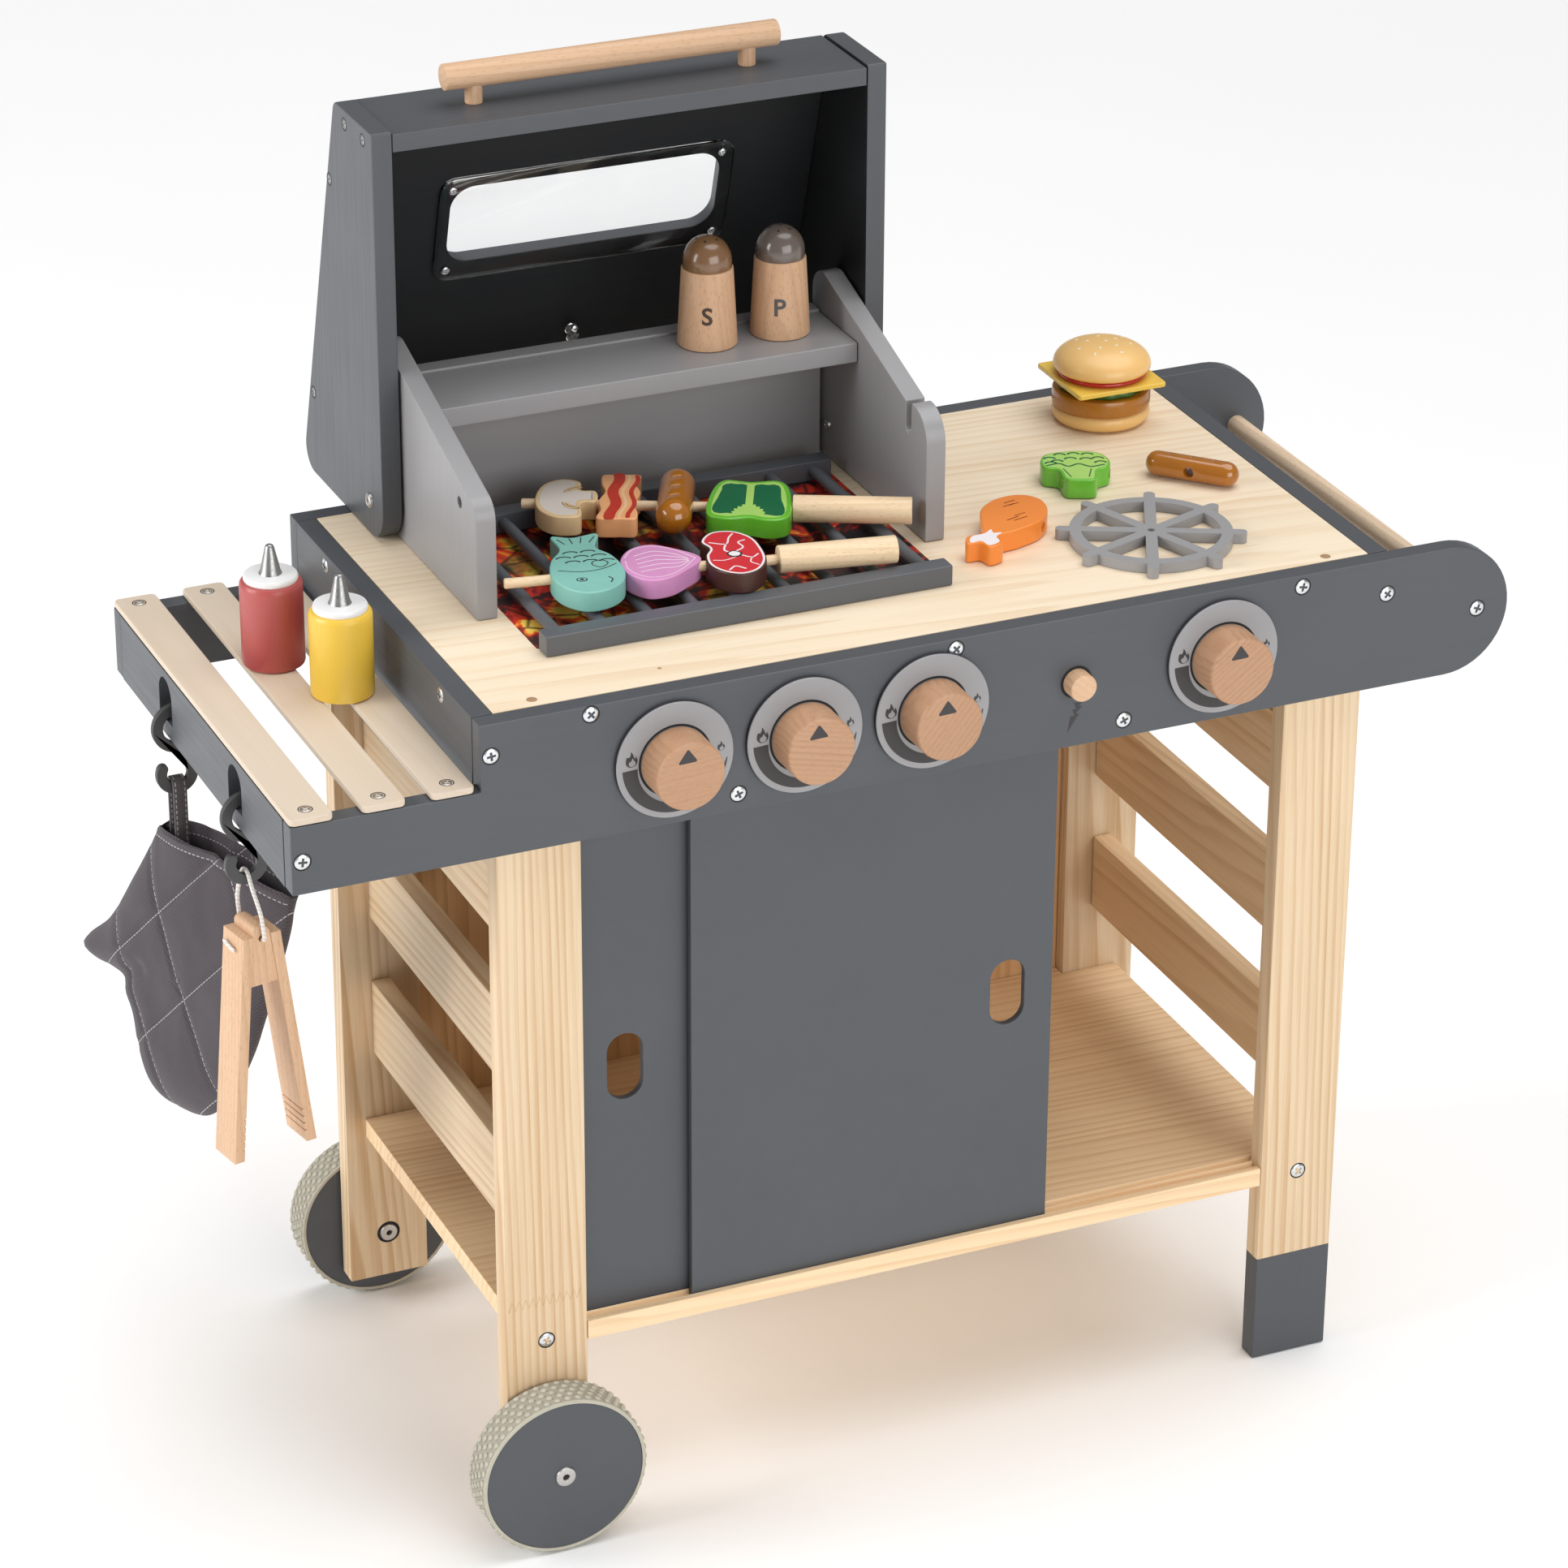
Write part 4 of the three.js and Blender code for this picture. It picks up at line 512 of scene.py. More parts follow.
def turned(profile, foot, axis=UP, sides=48):
    """A profile of (radius, height) spun round an axis through foot."""
    deselect()
    bpy.ops.mesh.primitive_plane_add(size=MM)
    piece = bpy.context.object
    steps = [Vector((radius * MM, 0, height * MM)) for radius, height in profile]
    edit(piece, lambda: bpy.ops.mesh.merge(type="COLLAPSE"))
    piece.data.vertices[0].co = steps[0]

    def follow():
        for before, after in zip(steps, steps[1:]):
            bpy.ops.mesh.extrude_region_move(TRANSFORM_OT_translate={"value": after - before})
        select_mesh()
        bpy.ops.mesh.spin(steps=sides, angle=2 * math.pi, center=(0, 0, 0), axis=UP)
        select_mesh()
        weld()
        bpy.ops.mesh.normals_make_consistent(inside=False)

    edit(piece, follow)
    piece.matrix_world = Matrix.Translation(at(*foot)) @ Vector(axis).to_track_quat("Z", "Y").to_matrix().to_4x4()
    return settle(piece)


def copy_of(piece, matrix):
    twin = piece.copy()
    twin.data = piece.data.copy()
    bpy.context.scene.collection.objects.link(twin)
    twin.matrix_world = matrix @ twin.matrix_world
    return settle(twin)


def band(path, width):
    """The outline of a strip of even width along a path, with round ends."""
    left, right = [], []
    for index, point in enumerate(path):
        before, after = path[max(index - 1, 0)], path[min(index + 1, len(path) - 1)]
        along = (Vector(after) - Vector(before)).normalized()
        side = Vector((-along.y, along.x)) * width / 2
        left.append(Vector(point) + side)
        right.append(Vector(point) - side)

    def cap(edge, centre):
        arm = edge - Vector(centre)
        return [Vector(centre) + Matrix.Rotation(-math.pi * i / 8, 2) @ arm for i in range(1, 8)]

    return left + cap(left[-1], path[-1]) + right[::-1] + cap(right[0], path[0])


def blended(first, second, low, high, value):
    return first * ((high - value) / (high - low)) + second * ((value - low) / (high - low))


def smooth_loop(points, per=6, closed=True):
    """A centripetal curve through points, closed or open."""
    result = []
    count = len(points)
    last = count if closed else count - 1
    for i in range(last):
        if closed:
            p = [Vector(points[(i + k - 1) % count]) for k in range(4)]
        else:
            p = [Vector(points[min(max(i + k - 1, 0), count - 1)]) for k in range(4)]
            if i == 0:
                p[0] = p[1] * 2 - p[2]
            if i == last - 1:
                p[3] = p[2] * 2 - p[1]
        t = [0.0]
        for k in range(3):
            t.append(t[-1] + max((p[k + 1] - p[k]).length ** 0.5, 1e-4))
        for s in range(per):
            u = t[1] + (t[2] - t[1]) * s / per
            a = [blended(p[k], p[k + 1], t[k], t[k + 1], u) for k in range(3)]
            b = [blended(a[k], a[k + 1], t[k], t[k + 2], u) for k in range(2)]
            result.append(blended(b[0], b[1], t[1], t[2], u))
    if not closed:
        result.append(Vector(points[-1]))
    return result


# The tongs' cord comes first: its route in the tongs' own turned frame
HOOK_CUP_X, HOOK_ROWS, TONGS_TURN = -360.7, (211.0, 91.5), 11.0
CORD_RADIUS = 1.2
STITCH = [(6.4, 370.6), (2.0, 369.4), (-3.2, 368.6)]
CORD_ROUTE = [
    (2.2, -11.3, 374.7), (2.2, -12.6, 375), (2.1, -13.3, 377), (1.5, -13.4, 383), (0.8, -13, 390),
    (-0.2, -10.5, 398), (-0.8, -7.4, 404.5), (-0.9, -5.2, 409), (-0.8, -3.2, 412.2), (-0.5, 0, 413.4),
    (-0.4, 3.2, 412.2), (-0.2, 5.2, 409), (0, 7.4, 404.5), (0.4, 10.5, 398), (1, 13, 390),
    (1.6, 13.4, 383), (2.1, 13.3, 377), (2.2, 12.6, 375), (2.2, 11.3, 374.7),
]


def tongs_place(x, y, z):
    turn = math.radians(TONGS_TURN)
    return at(
        HOOK_CUP_X + x * math.cos(turn) - y * math.sin(turn),
        HOOK_ROWS[1] + x * math.sin(turn) + y * math.cos(turn), z,
    )


def cord_look():
    look = Look("cord_white", "cord", Roughness=0.85)
    strand = (look.z * 2600.0 + (look.x + look.y) * 1500.0).sine()
    fuzz = look.noise(look.coordinates, 900.0, 2.0)
    look.feed("Base Color", look.mix(
        (strand * 0.35 + fuzz * 0.6).most(0.0).least(1.0), tone(0.80, 0.77, 0.73), tone(0.56, 0.52, 0.48),
    ))
    look.bump(strand * 0.5 + fuzz * 0.5, 0.5, 0.0003)
    return look


cord_white = cord_look()


def add_cord():
    points = [tongs_place(*point) for point in smooth_loop(CORD_ROUTE, 2, closed=False)]
    deselect()
    data = bpy.data.curves.new("cord", "CURVE")
    data.dimensions = "3D"
    line = data.splines.new("POLY")
    line.points.add(len(points) - 1)
    for spot, point in zip(line.points, points):
        spot.co = (*point, 1.0)
    data.bevel_depth = CORD_RADIUS * MM
    data.bevel_resolution = 3
    data.use_fill_caps = True
    cord = bpy.data.objects.new("tongs_hanging_cord", data)
    bpy.context.scene.collection.objects.link(cord)
    cord.data.materials.append(cord_white.material)
    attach(cord, "tongs")
    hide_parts("tongs_cord")
    stitch = plate(band([Vector(spot) for spot in STITCH], 2 * CORD_RADIUS), "yz", -12.6, -11.0)
    for vertex in stitch.data.vertices:
        vertex.co = tongs_place(*(vertex.co / MM - SHIFT))
    softened(stitch, 0.7, 3, 50)
    finish(stitch, "tongs_cord_stitch", cord_white, "tongs")


add_cord()


# Boards, legs and rails that keep the frame's own shape get soft edges
def dress(node, look, edge=0.7):
    source = frame["nodes"][node]
    piece = source.copy()
    piece.data = source.data.copy()
    piece.parent = None
    for key in [key for key in piece.keys() if key.startswith("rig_")]:
        del piece[key]
    bpy.context.scene.collection.objects.link(piece)
    edit(
        piece,
        weld,
        lambda: bpy.ops.mesh.customdata_custom_splitnormals_clear(),
        lambda: bpy.ops.mesh.dissolve_limited(angle_limit=math.radians(0.6)),
    )
    softened(piece, edge)
    return finish(piece, node + "_wood", look, BODY_OF[node], node, weighted=True)


for node in ("tray_end_board", "left_end_board", "right_end_board"):
    dress(node, dark_y)
dress("worktop", top_pine, 0.5)
for node in ("front_left_leg", "back_left_leg"):
    dress(node, leg_pine, 1.2)
for node in ("front_right_leg", "back_right_leg"):
    dress(node, foot_pine, 1.2)
for side in ("left", "right"):
    for number in (1, 2, 3):
        dress(f"{side}_rail_{number}", rail_pine if side == "left" else right_rails_shade_tint_pine, 1.2)
dress("bottom_shelf", shelf_shade_tint_pine, 0.8)
dress("cabinet_back", back_ply_shade_tint, 0.3)
dress("spice_shelf", grey_x, 0.9)
dress("hearth_back", grey_x, 0.9)
dress("lid_top_board", dark_x, 0.6)
board("hearth_lining", grey_x, "cart", box_corners(-198.5, 54.5, 520.05, 606, 0), "xz", 264.2, 269.2, edge=0.3)

# Front and back boards, with a lowered tray end and a round tip
BOARD_OUTLINE = [(-365, 441), (365, 441, 39.4), (365, 520, 39.4), (-258.75, 520), (-258.75, 481), (-365, 481)]
board("front_board_wood", dark_x, "cart", BOARD_OUTLINE, "xz", 0, 12, "front_board", 1.0)
board("back_board_wood", dark_x, "cart", BOARD_OUTLINE, "xz", 291, 303, "back_board", 1.0)
board("door_batten", dark_smooth, "cart", [
    (12, 441), (16.6, 441), (16.6, 449), (21.9, 449), (21.9, 441), (23.1, 441), (23.1, 449), (28.4, 449),
    (28.4, 441), (31, 441), (31, 461), (12, 461),
], "yz", -196.8, 229.7, None, 0.4)
board("push_handle_wood", handle_beech, "cart", circle(345, 480.5, 6, 40), "xz", 12.1, 290.9, "push_handle", 0)


# Sliding doors with a finger hole
def door(name, left, right, hole, low, high):
    slot = arc_points(box_corners(hole - 10.65, hole + 10.65, 263.5, 304.5, 10.6))
    cutter = plate(slot, "xz", low - 5, high + 5)
    corners = box_corners(left, right, 129.3, 448)
    board(name + "_panel", dark_smooth, name, corners, "xz", low, high, name, 0.5, [cutter])


door("right_door", -132, 90.5, 62.5, 17, 21.5)
door("left_door", -196.85, 25.65, -168.85, 23.5, 28)

# Tray slats
for number, left in enumerate((-365, -324.7, -286.2), 1):
    board(
        f"tray_slat_{number}_wood", slat_ply, "cart", box_corners(left, left + 24.4, 0, 303, 3.5), "xy", 481.3, 485.3,
        f"tray_slat_{number}", 0.9,
    )


# S hooks
def hook(number):
    y = HOOK_ROWS[number - 1]
    path = [(-359 + 11.85 * math.cos(a), 445.2 + 11.85 * math.sin(a))
            for a in (math.radians(40 + 255 * i / 48) for i in range(49))]
    path += [(HOOK_CUP_X + 9 * math.cos(a), 417.0 + 9 * math.sin(a))
             for a in (math.radians(10 - 215 * i / 40) for i in range(41))]
    piece = softened(plate(band(path, 6.3), "xz", y - 2, y + 2), 0.8)
    finish(piece, f"hook_{number}_band", hook_grey_shade_paint, f"hook_{number}", f"hook_{number}", weighted=True)


hook(1)
hook(2)


# Cheeks of the hearth
SPIT = (147.8, 581.0)
hole = rod((-220, *SPIT), (-190, *SPIT), 3.2, 24)
board("left_cheek_wood", grey_z, "cart", [
    (123, REST), (281, REST), (281, 637.0, 14), (123, 586.8, 13),
], "yz", -212.8, -200.8, "left_cheek", 0.9, [hole])
board("right_cheek_wood", grey_z, "cart", [
    (123, REST), (281, REST), (281, 637.0, 14), (151.3, 595.8), (151.3, 577.5, 3.4), (144.3, 577.5, 3.4),
    (144.3, 597), (123, 597, 19),
], "yz", 56.5, 68.5, "right_cheek", 0.9)

# Grate: nine rods between two bars
for place, low in (("front", 64.3), ("back", 228.2)):
    board(
        f"grate_{place}_bar", grate_paint, "cart", box_corners(-195.5, 46, REST, 532.3), "xz", low, low + 12,
        "grate" if place == "front" else None, 0.9,
    )
rods = joined(*[rod((-183.95 + 27.3 * i, 70, 527), (-183.95 + 27.3 * i, 234, 527), 3.5, 20) for i in range(9)])
finish(rods, "grate_rods", grate_paint, "cart")


# Burner ring with eight arms
def burner_ring():
    x, y, low, high = 175.4, 76.8, REST, REST + 6
    ring = cut(plate(circle(x, y, 46.3, 96), "xy", low, high), plate(circle(x, y, 39.7, 96), "xy", low - 3, high + 3))
    for index in range(4):
        turn = Matrix.Rotation(math.radians(19.2 + 45 * index), 2)
        arm = [turn @ point for point in arc_points(box_corners(-54, 54, -3.3, 3.3, 3.2))]
        combined(ring, "UNION", [plate([(x + point.x, y + point.y) for point in arm], "xy", low, high)])
    combined(ring, "UNION", [plate(circle(x, y, 7, 32), "xy", low, high)])
    cut(ring, plate(circle(x, y, 2.2, 20), "xy", low - 3, high + 3))
    finish(softened(ring, 0.7), "burner_ring_wood", grey_x, "cart", "burner_ring", weighted=True)


burner_ring()

# Lid: sides, leaning panel with its window, and the handle
LID_LEFT, LID_MIDDLE, LID_RIGHT, LID_SIDE, LID_TOP = -226.0, -72.15, 81.7, 12, 764.5
LEAN = math.radians(16.73)
WINDOW_Z = 702.4


def lid_back(z):
    return 298.4 + (LID_TOP - z) * math.tan(LEAN)


def lid_matrix():
    """Across, up the slope and into the lid, from the middle of the window's upper edge on the panel's outside."""
    across = Vector((1, 0, 0))
    up = Vector((0, -math.sin(LEAN), math.cos(LEAN)))
    inward = Vector((0, -math.cos(LEAN), -math.sin(LEAN)))
    turn = Matrix((across, up, inward)).transposed().to_4x4()
    return Matrix.Translation(at(LID_MIDDLE, lid_back(WINDOW_Z), WINDOW_Z)) @ turn


ORIGIN = tuple(-SHIFT)


def on_lid(piece):
    """Takes a piece made round the frame's zero to the lid's panel."""
    piece.matrix_world = lid_matrix()
    return settle(piece)


def around_zero(corners):
    """A rounded outline for a piece that is made round the frame's zero."""
    return [(a - SHIFT.x, b - SHIFT.y) for a, b in arc_points(corners)]


def flat_on_lid(corners, low, high):
    return on_lid(plate(around_zero(corners), "xy", low, high))


def paint_hood_shade(piece, inward, least):
    """Paints shade on a hood board's inner faces: they take a near-black copy of the dark paint."""
    piece.data.materials.append(hood_shade_paint.material)
    for face in piece.data.polygons:
        if face.normal.dot(Vector(inward)) > least:
            face.material_index = 1


for side, left, inward in (("left", LID_LEFT, EAST), ("right", LID_RIGHT - LID_SIDE, WEST)):
    side_board = board(f"lid_{side}_side_wood", dark_z, "lid", [
        (236.3, REST, 20), (lid_back(REST), REST, 14), (298.4, LID_TOP, 7), (236.3, LID_TOP, 1.5),
    ], "yz", left, left + LID_SIDE, f"lid_{side}_side", 1.0)
    paint_hood_shade(side_board, inward, 0.9)
PANEL_RUN, PANEL_LOW, PANEL_HIGH = 11 / math.cos(LEAN), 534.3, 752.2
lid_panel = board("lid_back_panel_wood", dark_x, "lid", [
    (lid_back(PANEL_LOW) - PANEL_RUN, PANEL_LOW), (lid_back(PANEL_LOW), PANEL_LOW),
    (lid_back(PANEL_HIGH), PANEL_HIGH), (lid_back(PANEL_HIGH) - PANEL_RUN, PANEL_HIGH),
], "yz", -213.7, 69.4, "lid_back_panel", 0.8, [flat_on_lid(box_corners(-82, 82, -51.5, 0, 14), -3, 14)])
paint_hood_shade(lid_panel, FRONT, 0.3)


def lid_handle():
    y, height = 269, 779.5
    bar = softened(rod((LID_MIDDLE - 100, y, height), (LID_MIDDLE + 100, y, height), 7.5, 48), 0.9)
    finish(bar, "lid_handle_bar", beech_x, "lid", "lid_handle")
    pegs = [rod((LID_MIDDLE + x, y, 763.1), (LID_MIDDLE + x, y, 776), 5, 32) for x in (-82, 82)]
    finish(joined(*pegs), "lid_handle_pegs", beech_z, "lid")


lid_handle()


# Clear window pane, its screws and the lid's catch
def clear_look():
    look = Look("clear_plastic", None, Roughness=0.04, Transmission_Weight=1.0, IOR=1.45)
    haze = look.noise(look.coordinates, 60.0, 2.0)
    look.feed("Base Color", look.mix(haze, tone(0.97, 0.98, 0.98), tone(0.93, 0.95, 0.96)))
    return look


def metal_look(name, colour, roughness=0.25):
    look = Look(name, None, Metallic=1.0, Roughness=roughness)
    scratch = look.noise(look.mapped(look.coordinates, scale=(900, 300, 900)), 1.0, 2.0)
    look.feed("Base Color", look.mix(scratch, colour, shade(colour, 0.78)))
    look.feed("Roughness", scratch.between(0.2, 0.8, roughness - 0.08, roughness + 0.12))
    return look


clear_plastic = clear_look()
steel = metal_look("screw_steel", tone(0.78, 0.79, 0.80))
dull_steel = metal_look("bolt_steel", tone(0.60, 0.58, 0.56), 0.35)
# Near-black paint for the rings, discs and gaps round screws, nuts, knobs, the button and the shaker holes: painted
# shade where light does not reach.
hole_shade_paint = paint("hole_shade_paint", None, tone(0.012, 0.012, 0.013), None, 0.8, 0.05)
PANE_FACE = 13.4
pane = softened(flat_on_lid(box_corners(-90, 90, -63, 8, 10), 11.05, PANE_FACE), 0.5, 2)
finish(pane, "lid_window_pane", clear_plastic, "lid")


# Cross-head screws: one is made and copied to each place
def cross_head(radius):
    head = turned([
        (0, 0.75), (radius * 0.55, 0.7), (radius * 0.86, 0.45), (radius, 0.05), (radius, -0.9), (0, -0.9),
    ], ORIGIN, sides=24)
    long_arm, short_arm = radius * 0.58, 0.16 * radius
    for long, wide in ((long_arm, short_arm), (short_arm, long_arm)):
        arm = around_zero(box_corners(-long, long, -wide, wide, 0.05 * radius))
        cut(head, plate(arm, "xy", -0.25, 2))
    return softened(head, 0.08, 1)


def recess_shade(radius):
    """A near-black ring round a sunk screw's head: painted shade in the recess round it."""
    return turned([
        (radius * 0.98, 0.0), (radius * 1.16, 0.09), (radius * 1.17, -0.4), (radius * 0.98, -0.4),
    ], ORIGIN, sides=24)


def pointing(place, normal, spin=0.0):
    turn = Vector(normal).to_track_quat("Z", "Y").to_matrix().to_4x4()
    return Matrix.Translation(at(*place)) @ turn @ Matrix.Rotation(math.radians(spin), 4, "Z")


def screws(name, body, radius, places, look=None, deep=0.0):
    """Places are (place, outward normal)."""
    heads, rings = [], []
    head, ring = cross_head(radius), recess_shade(radius)
    dice = random.Random(len(places) + int(radius * 10))
    for place, normal in places:
        sunk = Vector(place) - Vector(normal) * deep
        matrix = pointing(sunk, normal, dice.uniform(0, 90))
        heads.append(copy_of(head, matrix))
        rings.append(copy_of(ring, pointing(place, normal)))
    discard(head, ring)
    finish(joined(*heads), name, look or steel, body)
    finish(joined(*rings), name + "_holes", hole_shade_paint, body)


board_screws = [((x, 0, z), FRONT) for x, z in (
    (-252.7, 501.4), (-195.9, 515), (-110.9, 451.5), (17.6, 514), (121.7, 451.5), (231.2, 513), (285.7, 499),
    (345, 479.5), (-358.9, 460.3),
)]
board_screws += [((x, 303, z), BACK) for x, z in (
    (-252.7, 501.4), (-195.9, 513), (17.6, 513), (231.2, 513), (285.7, 499), (345, 480.5), (-358.9, 460.3),
)]
board_screws += [((x, y, z), way) for x, y, z, way in (
    (-222.3, 12.3, 126, FRONT), (254.9, 12.3, 125, FRONT), (-222.3, 290.7, 126, BACK), (254.9, 290.7, 126, BACK),
)]
board_screws += [((-258.75, y, 512.5), WEST) for y in (242.4, 58.8)]
screws("board_screws", "cart", 4.4, board_screws)
slat_screws = [((x, y, 485.3), UP) for x in (-352.8, -312.5, -274) for y in (10.5, 293)]
screws("slat_screws", "cart", 3.5, slat_screws, dull_steel, 0.45)
lid_spots = ((280.3, 756.3), (250.8, 756.8), (308.7, 714.9), (349.1, 571.8))
lid_screws = [((x, y, z), way) for x, way in ((LID_LEFT, WEST), (LID_RIGHT, EAST)) for y, z in lid_spots]
screws("lid_screws", "lid", 3.3, lid_screws, dull_steel, 0.6)


def pane_screws():
    head = cross_head(2.6)
    heads = []
    for x in (-82.3, 82.3):
        for up in (0.3, -55.4):
            heads.append(copy_of(head, lid_matrix() @ Matrix.Translation(Vector((x, up, PANE_FACE)) * MM)))
    discard(head)
    finish(joined(*heads), "pane_screws", steel, "lid")


pane_screws()


def lid_catch():
    foot = turned([(0, 1.2), (3.4, 1.2), (3.9, 0.8), (3.9, 0)], ORIGIN, sides=24)
    stem = turned([(0, 8.5), (1.6, 8.2), (2.2, 7.2), (1.9, 5.8), (1.1, 5.0), (1.1, 1.0), (0, 1.0)], ORIGIN, sides=20)
    pieces = [copy_of(foot, Matrix.Translation(Vector(place) * MM)) for place in ((0, 0, 0), (1.5, -6, 0))]
    pieces.append(copy_of(stem, Matrix.Rotation(math.radians(-35), 4, "X")))
    discard(foot, stem)
    piece = joined(*pieces)
    piece.matrix_world = lid_matrix() @ Matrix.Translation(Vector((1, -113, 11)) * MM)
    finish(piece, "lid_catch", steel, "lid")


lid_catch()


# Bolt ends: the lid's pivots and the axles
def cap_nut(radius):
    return turned([
        (radius * 0.26, -0.6), (radius * 0.28, 0.9), (radius * 0.34, 1.5), (radius * 0.66, 1.7), (radius * 0.92, 1.1),
        (radius, 0.3), (radius, -0.6),
    ], ORIGIN, sides=28)


def nuts(name, body, radius, places):
    nut = cap_nut(radius)
    copies = [copy_of(nut, pointing(place, normal)) for place, normal in places]
    # A near-black disc in each nut's middle: painted shade in its socket.
    plug = turned([(0, 0.2), (radius * 0.3, 0.2), (radius * 0.3, -0.5)], ORIGIN, sides=16)
    socket_shade_discs = [copy_of(plug, pointing(place, normal)) for place, normal in places]
    discard(nut, plug)
    finish(joined(*copies), name, dull_steel, body)
    finish(joined(*socket_shade_discs), name + "_sockets", hole_shade_paint, body)


PIVOT = (257, 541)
nuts("lid_pivot_bolts", "lid", 4.6, [((LID_LEFT, *PIVOT), WEST), ((LID_RIGHT, *PIVOT), EAST)])
nuts("lid_pivot_nuts", "cart", 3.4, [((56.5, *PIVOT), WEST), ((-200.8, *PIVOT), EAST)])
AXLE_X, AXLE_Z = -221.95, 50.3
FRONT_WHEEL, BACK_WHEEL, WHEEL_WIDE = -12.8, 292.8, 23


def on_axle(y):
    return (AXLE_X, y, AXLE_Z)


nuts("front_axle_nut", "front_wheel", 6.2, [(on_axle(FRONT_WHEEL), FRONT)])
nuts("back_axle_nut", "back_wheel", 6.2, [(on_axle(BACK_WHEEL + WHEEL_WIDE), BACK)])
axle_ring = turned([(5.6, 0.12), (7.2, 0.12), (7.2, -0.3), (5.6, -0.3)], on_axle(276.7), FRONT, 32)
finish(axle_ring, "leg_axle_ring", hole_shade_paint, "cart", smooth=0)
nuts("leg_axle_nuts", "cart", 5.6, [(on_axle(276.7), FRONT), (on_axle(26.3), BACK)])
for name, x, y, radius in (("left", -221.7, 19.7, 3.1), ("middle", -144.6, 29, 1.3), ("right", 255, 18, 3.1)):
    plug = turned([(0, 0.25), (radius - 0.3, 0.2), (radius, -0.1), (radius, -0.5)], (x, y, 520), sides=20)
    finish(plug, f"worktop_front_{name}_plug", plug_wood, "cart")

# Finger joint in the front left leg
teeth = [Vector((-244.6 + 2.05 * i, 149.0 + 6.2 * (i % 2))) for i in range(22)]
finish(plate(band(teeth, 0.4), "xz", 12.35, 12.22), "leg_finger_joint", joint_line, "cart", smooth=0)

# Dials with printed marks
ink = paint("print_dark", None, tone(0.034, 0.030, 0.031), None, 0.5, 0.05)
DIALS, DIAL_Z, DIAL_FACE = (-149.0, -73.0, 3.0, 181.4), 480.5, -3.1
ARC_RADIUS = 30.6
FLAME = [
    (0.5, -4.6), (2.6, -3.6), (3.6, -1.6), (3.3, 0.6), (2.3, 2.0), (2.5, 0.4), (1.6, 1.2), (0.9, 3.2), (-0.3, 4.9),
    (-0.5, 3.0), (-1.5, 1.5), (-2.7, 1.9), (-3.5, -0.4), (-3.3, -2.6), (-1.9, -4.2),
]
INNER_FLAME = [
    (0.3, -3.7), (1.8, -2.9), (2.2, -1.4), (1.3, -0.1), (0.4, 1.4), (-0.4, -0.2), (-1.7, -0.9), (-1.9, -2.4),
    (-1.0, -3.5),
]


def crescent(x, z):
    """The heat mark: an arc under the knob that narrows from the big flame to the small one."""
    outer, inner = [], []
    for i in range(41):
        share = i / 40
        angle = math.radians(183 + 170 * share)
        thin = ARC_RADIUS - 8.4 * (1 - share) ** 0.75
        outer.append((x + ARC_RADIUS * math.cos(angle), z + ARC_RADIUS * math.sin(angle)))
        inner.append((x + (thin - 0.4) * math.cos(angle), z + (thin - 0.4) * math.sin(angle)))
    return plate(outer + inner[::-1], "xz", DIAL_FACE + 0.05, DIAL_FACE - 0.1)


def flame(x, z, size, shape, proud):
    points = [(x + point.x * size, z + point.y * size) for point in smooth_loop([Vector(p) for p in shape], 3)]
    return plate(points, "xz", DIAL_FACE + 0.05, DIAL_FACE - proud)


discs, marks, inner_marks = [], [], []
for x in DIALS:
    discs.append(turned([
        (0, 3.1), (33.2, 3.1), (33.75, 2.95), (34.0, 2.6), (34.0, -0.2),
    ], (x, 0, DIAL_Z), FRONT, 72))
    marks += [
        crescent(x, DIAL_Z), flame(x - 25.2, DIAL_Z + 4.9, 0.95, FLAME, 0.1),
        flame(x + 26.6, DIAL_Z + 3.4, 0.58, FLAME, 0.1),
    ]
    inner_marks += [
        flame(x - 25.0, DIAL_Z + 4.4, 0.95, INNER_FLAME, 0.16), flame(x + 26.8, DIAL_Z + 3.1, 0.58, INNER_FLAME, 0.16),
    ]
dial_discs = finish(joined(*discs), "dial_discs", grey_x, "cart", smooth=40)
# The dials' side walls take near-black paint: painted shade for the shadow along their rims.
dial_rim_shade = paint("dial_rim_shade", "dark_paint", tone(0.030, 0.028, 0.036), None, 0.55, 0.03)
dial_discs.data.materials.append(dial_rim_shade.material)
for face in dial_discs.data.polygons:
    if face.normal.y > -0.5:
        face.material_index = 1
# A near-black ring round each knob's foot: painted shade where the knob meets its dial.
KNOB_RING_SHADE = [(19.9, 0.1), (21.2, 0.1), (21.2, -0.2), (19.9, -0.2)]
knob_ring_shades = [turned(KNOB_RING_SHADE, (x, DIAL_FACE, DIAL_Z), FRONT, 64) for x in DIALS]
finish(joined(*knob_ring_shades), "dial_gaps", hole_shade_paint, "cart", smooth=0)
finish(joined(*marks), "dial_marks", ink, "cart", smooth=0)
finish(joined(*inner_marks), "dial_flame_hearts", grey_x, "cart", smooth=0)
BOLT_MARK = [
    (95.2, 467.5), (90.6, 467.9), (91.9, 463.6), (89.6, 463.9), (91.2, 459.6), (88.6, 460.0), (86.9, 450.6),
    (93.6, 460.6), (91.6, 461.3), (95.6, 465.2), (93.3, 465.5),
]
finish(plate(BOLT_MARK, "xz", 0.05, -0.12), "igniter_bolt_mark", ink, "cart", smooth=0)


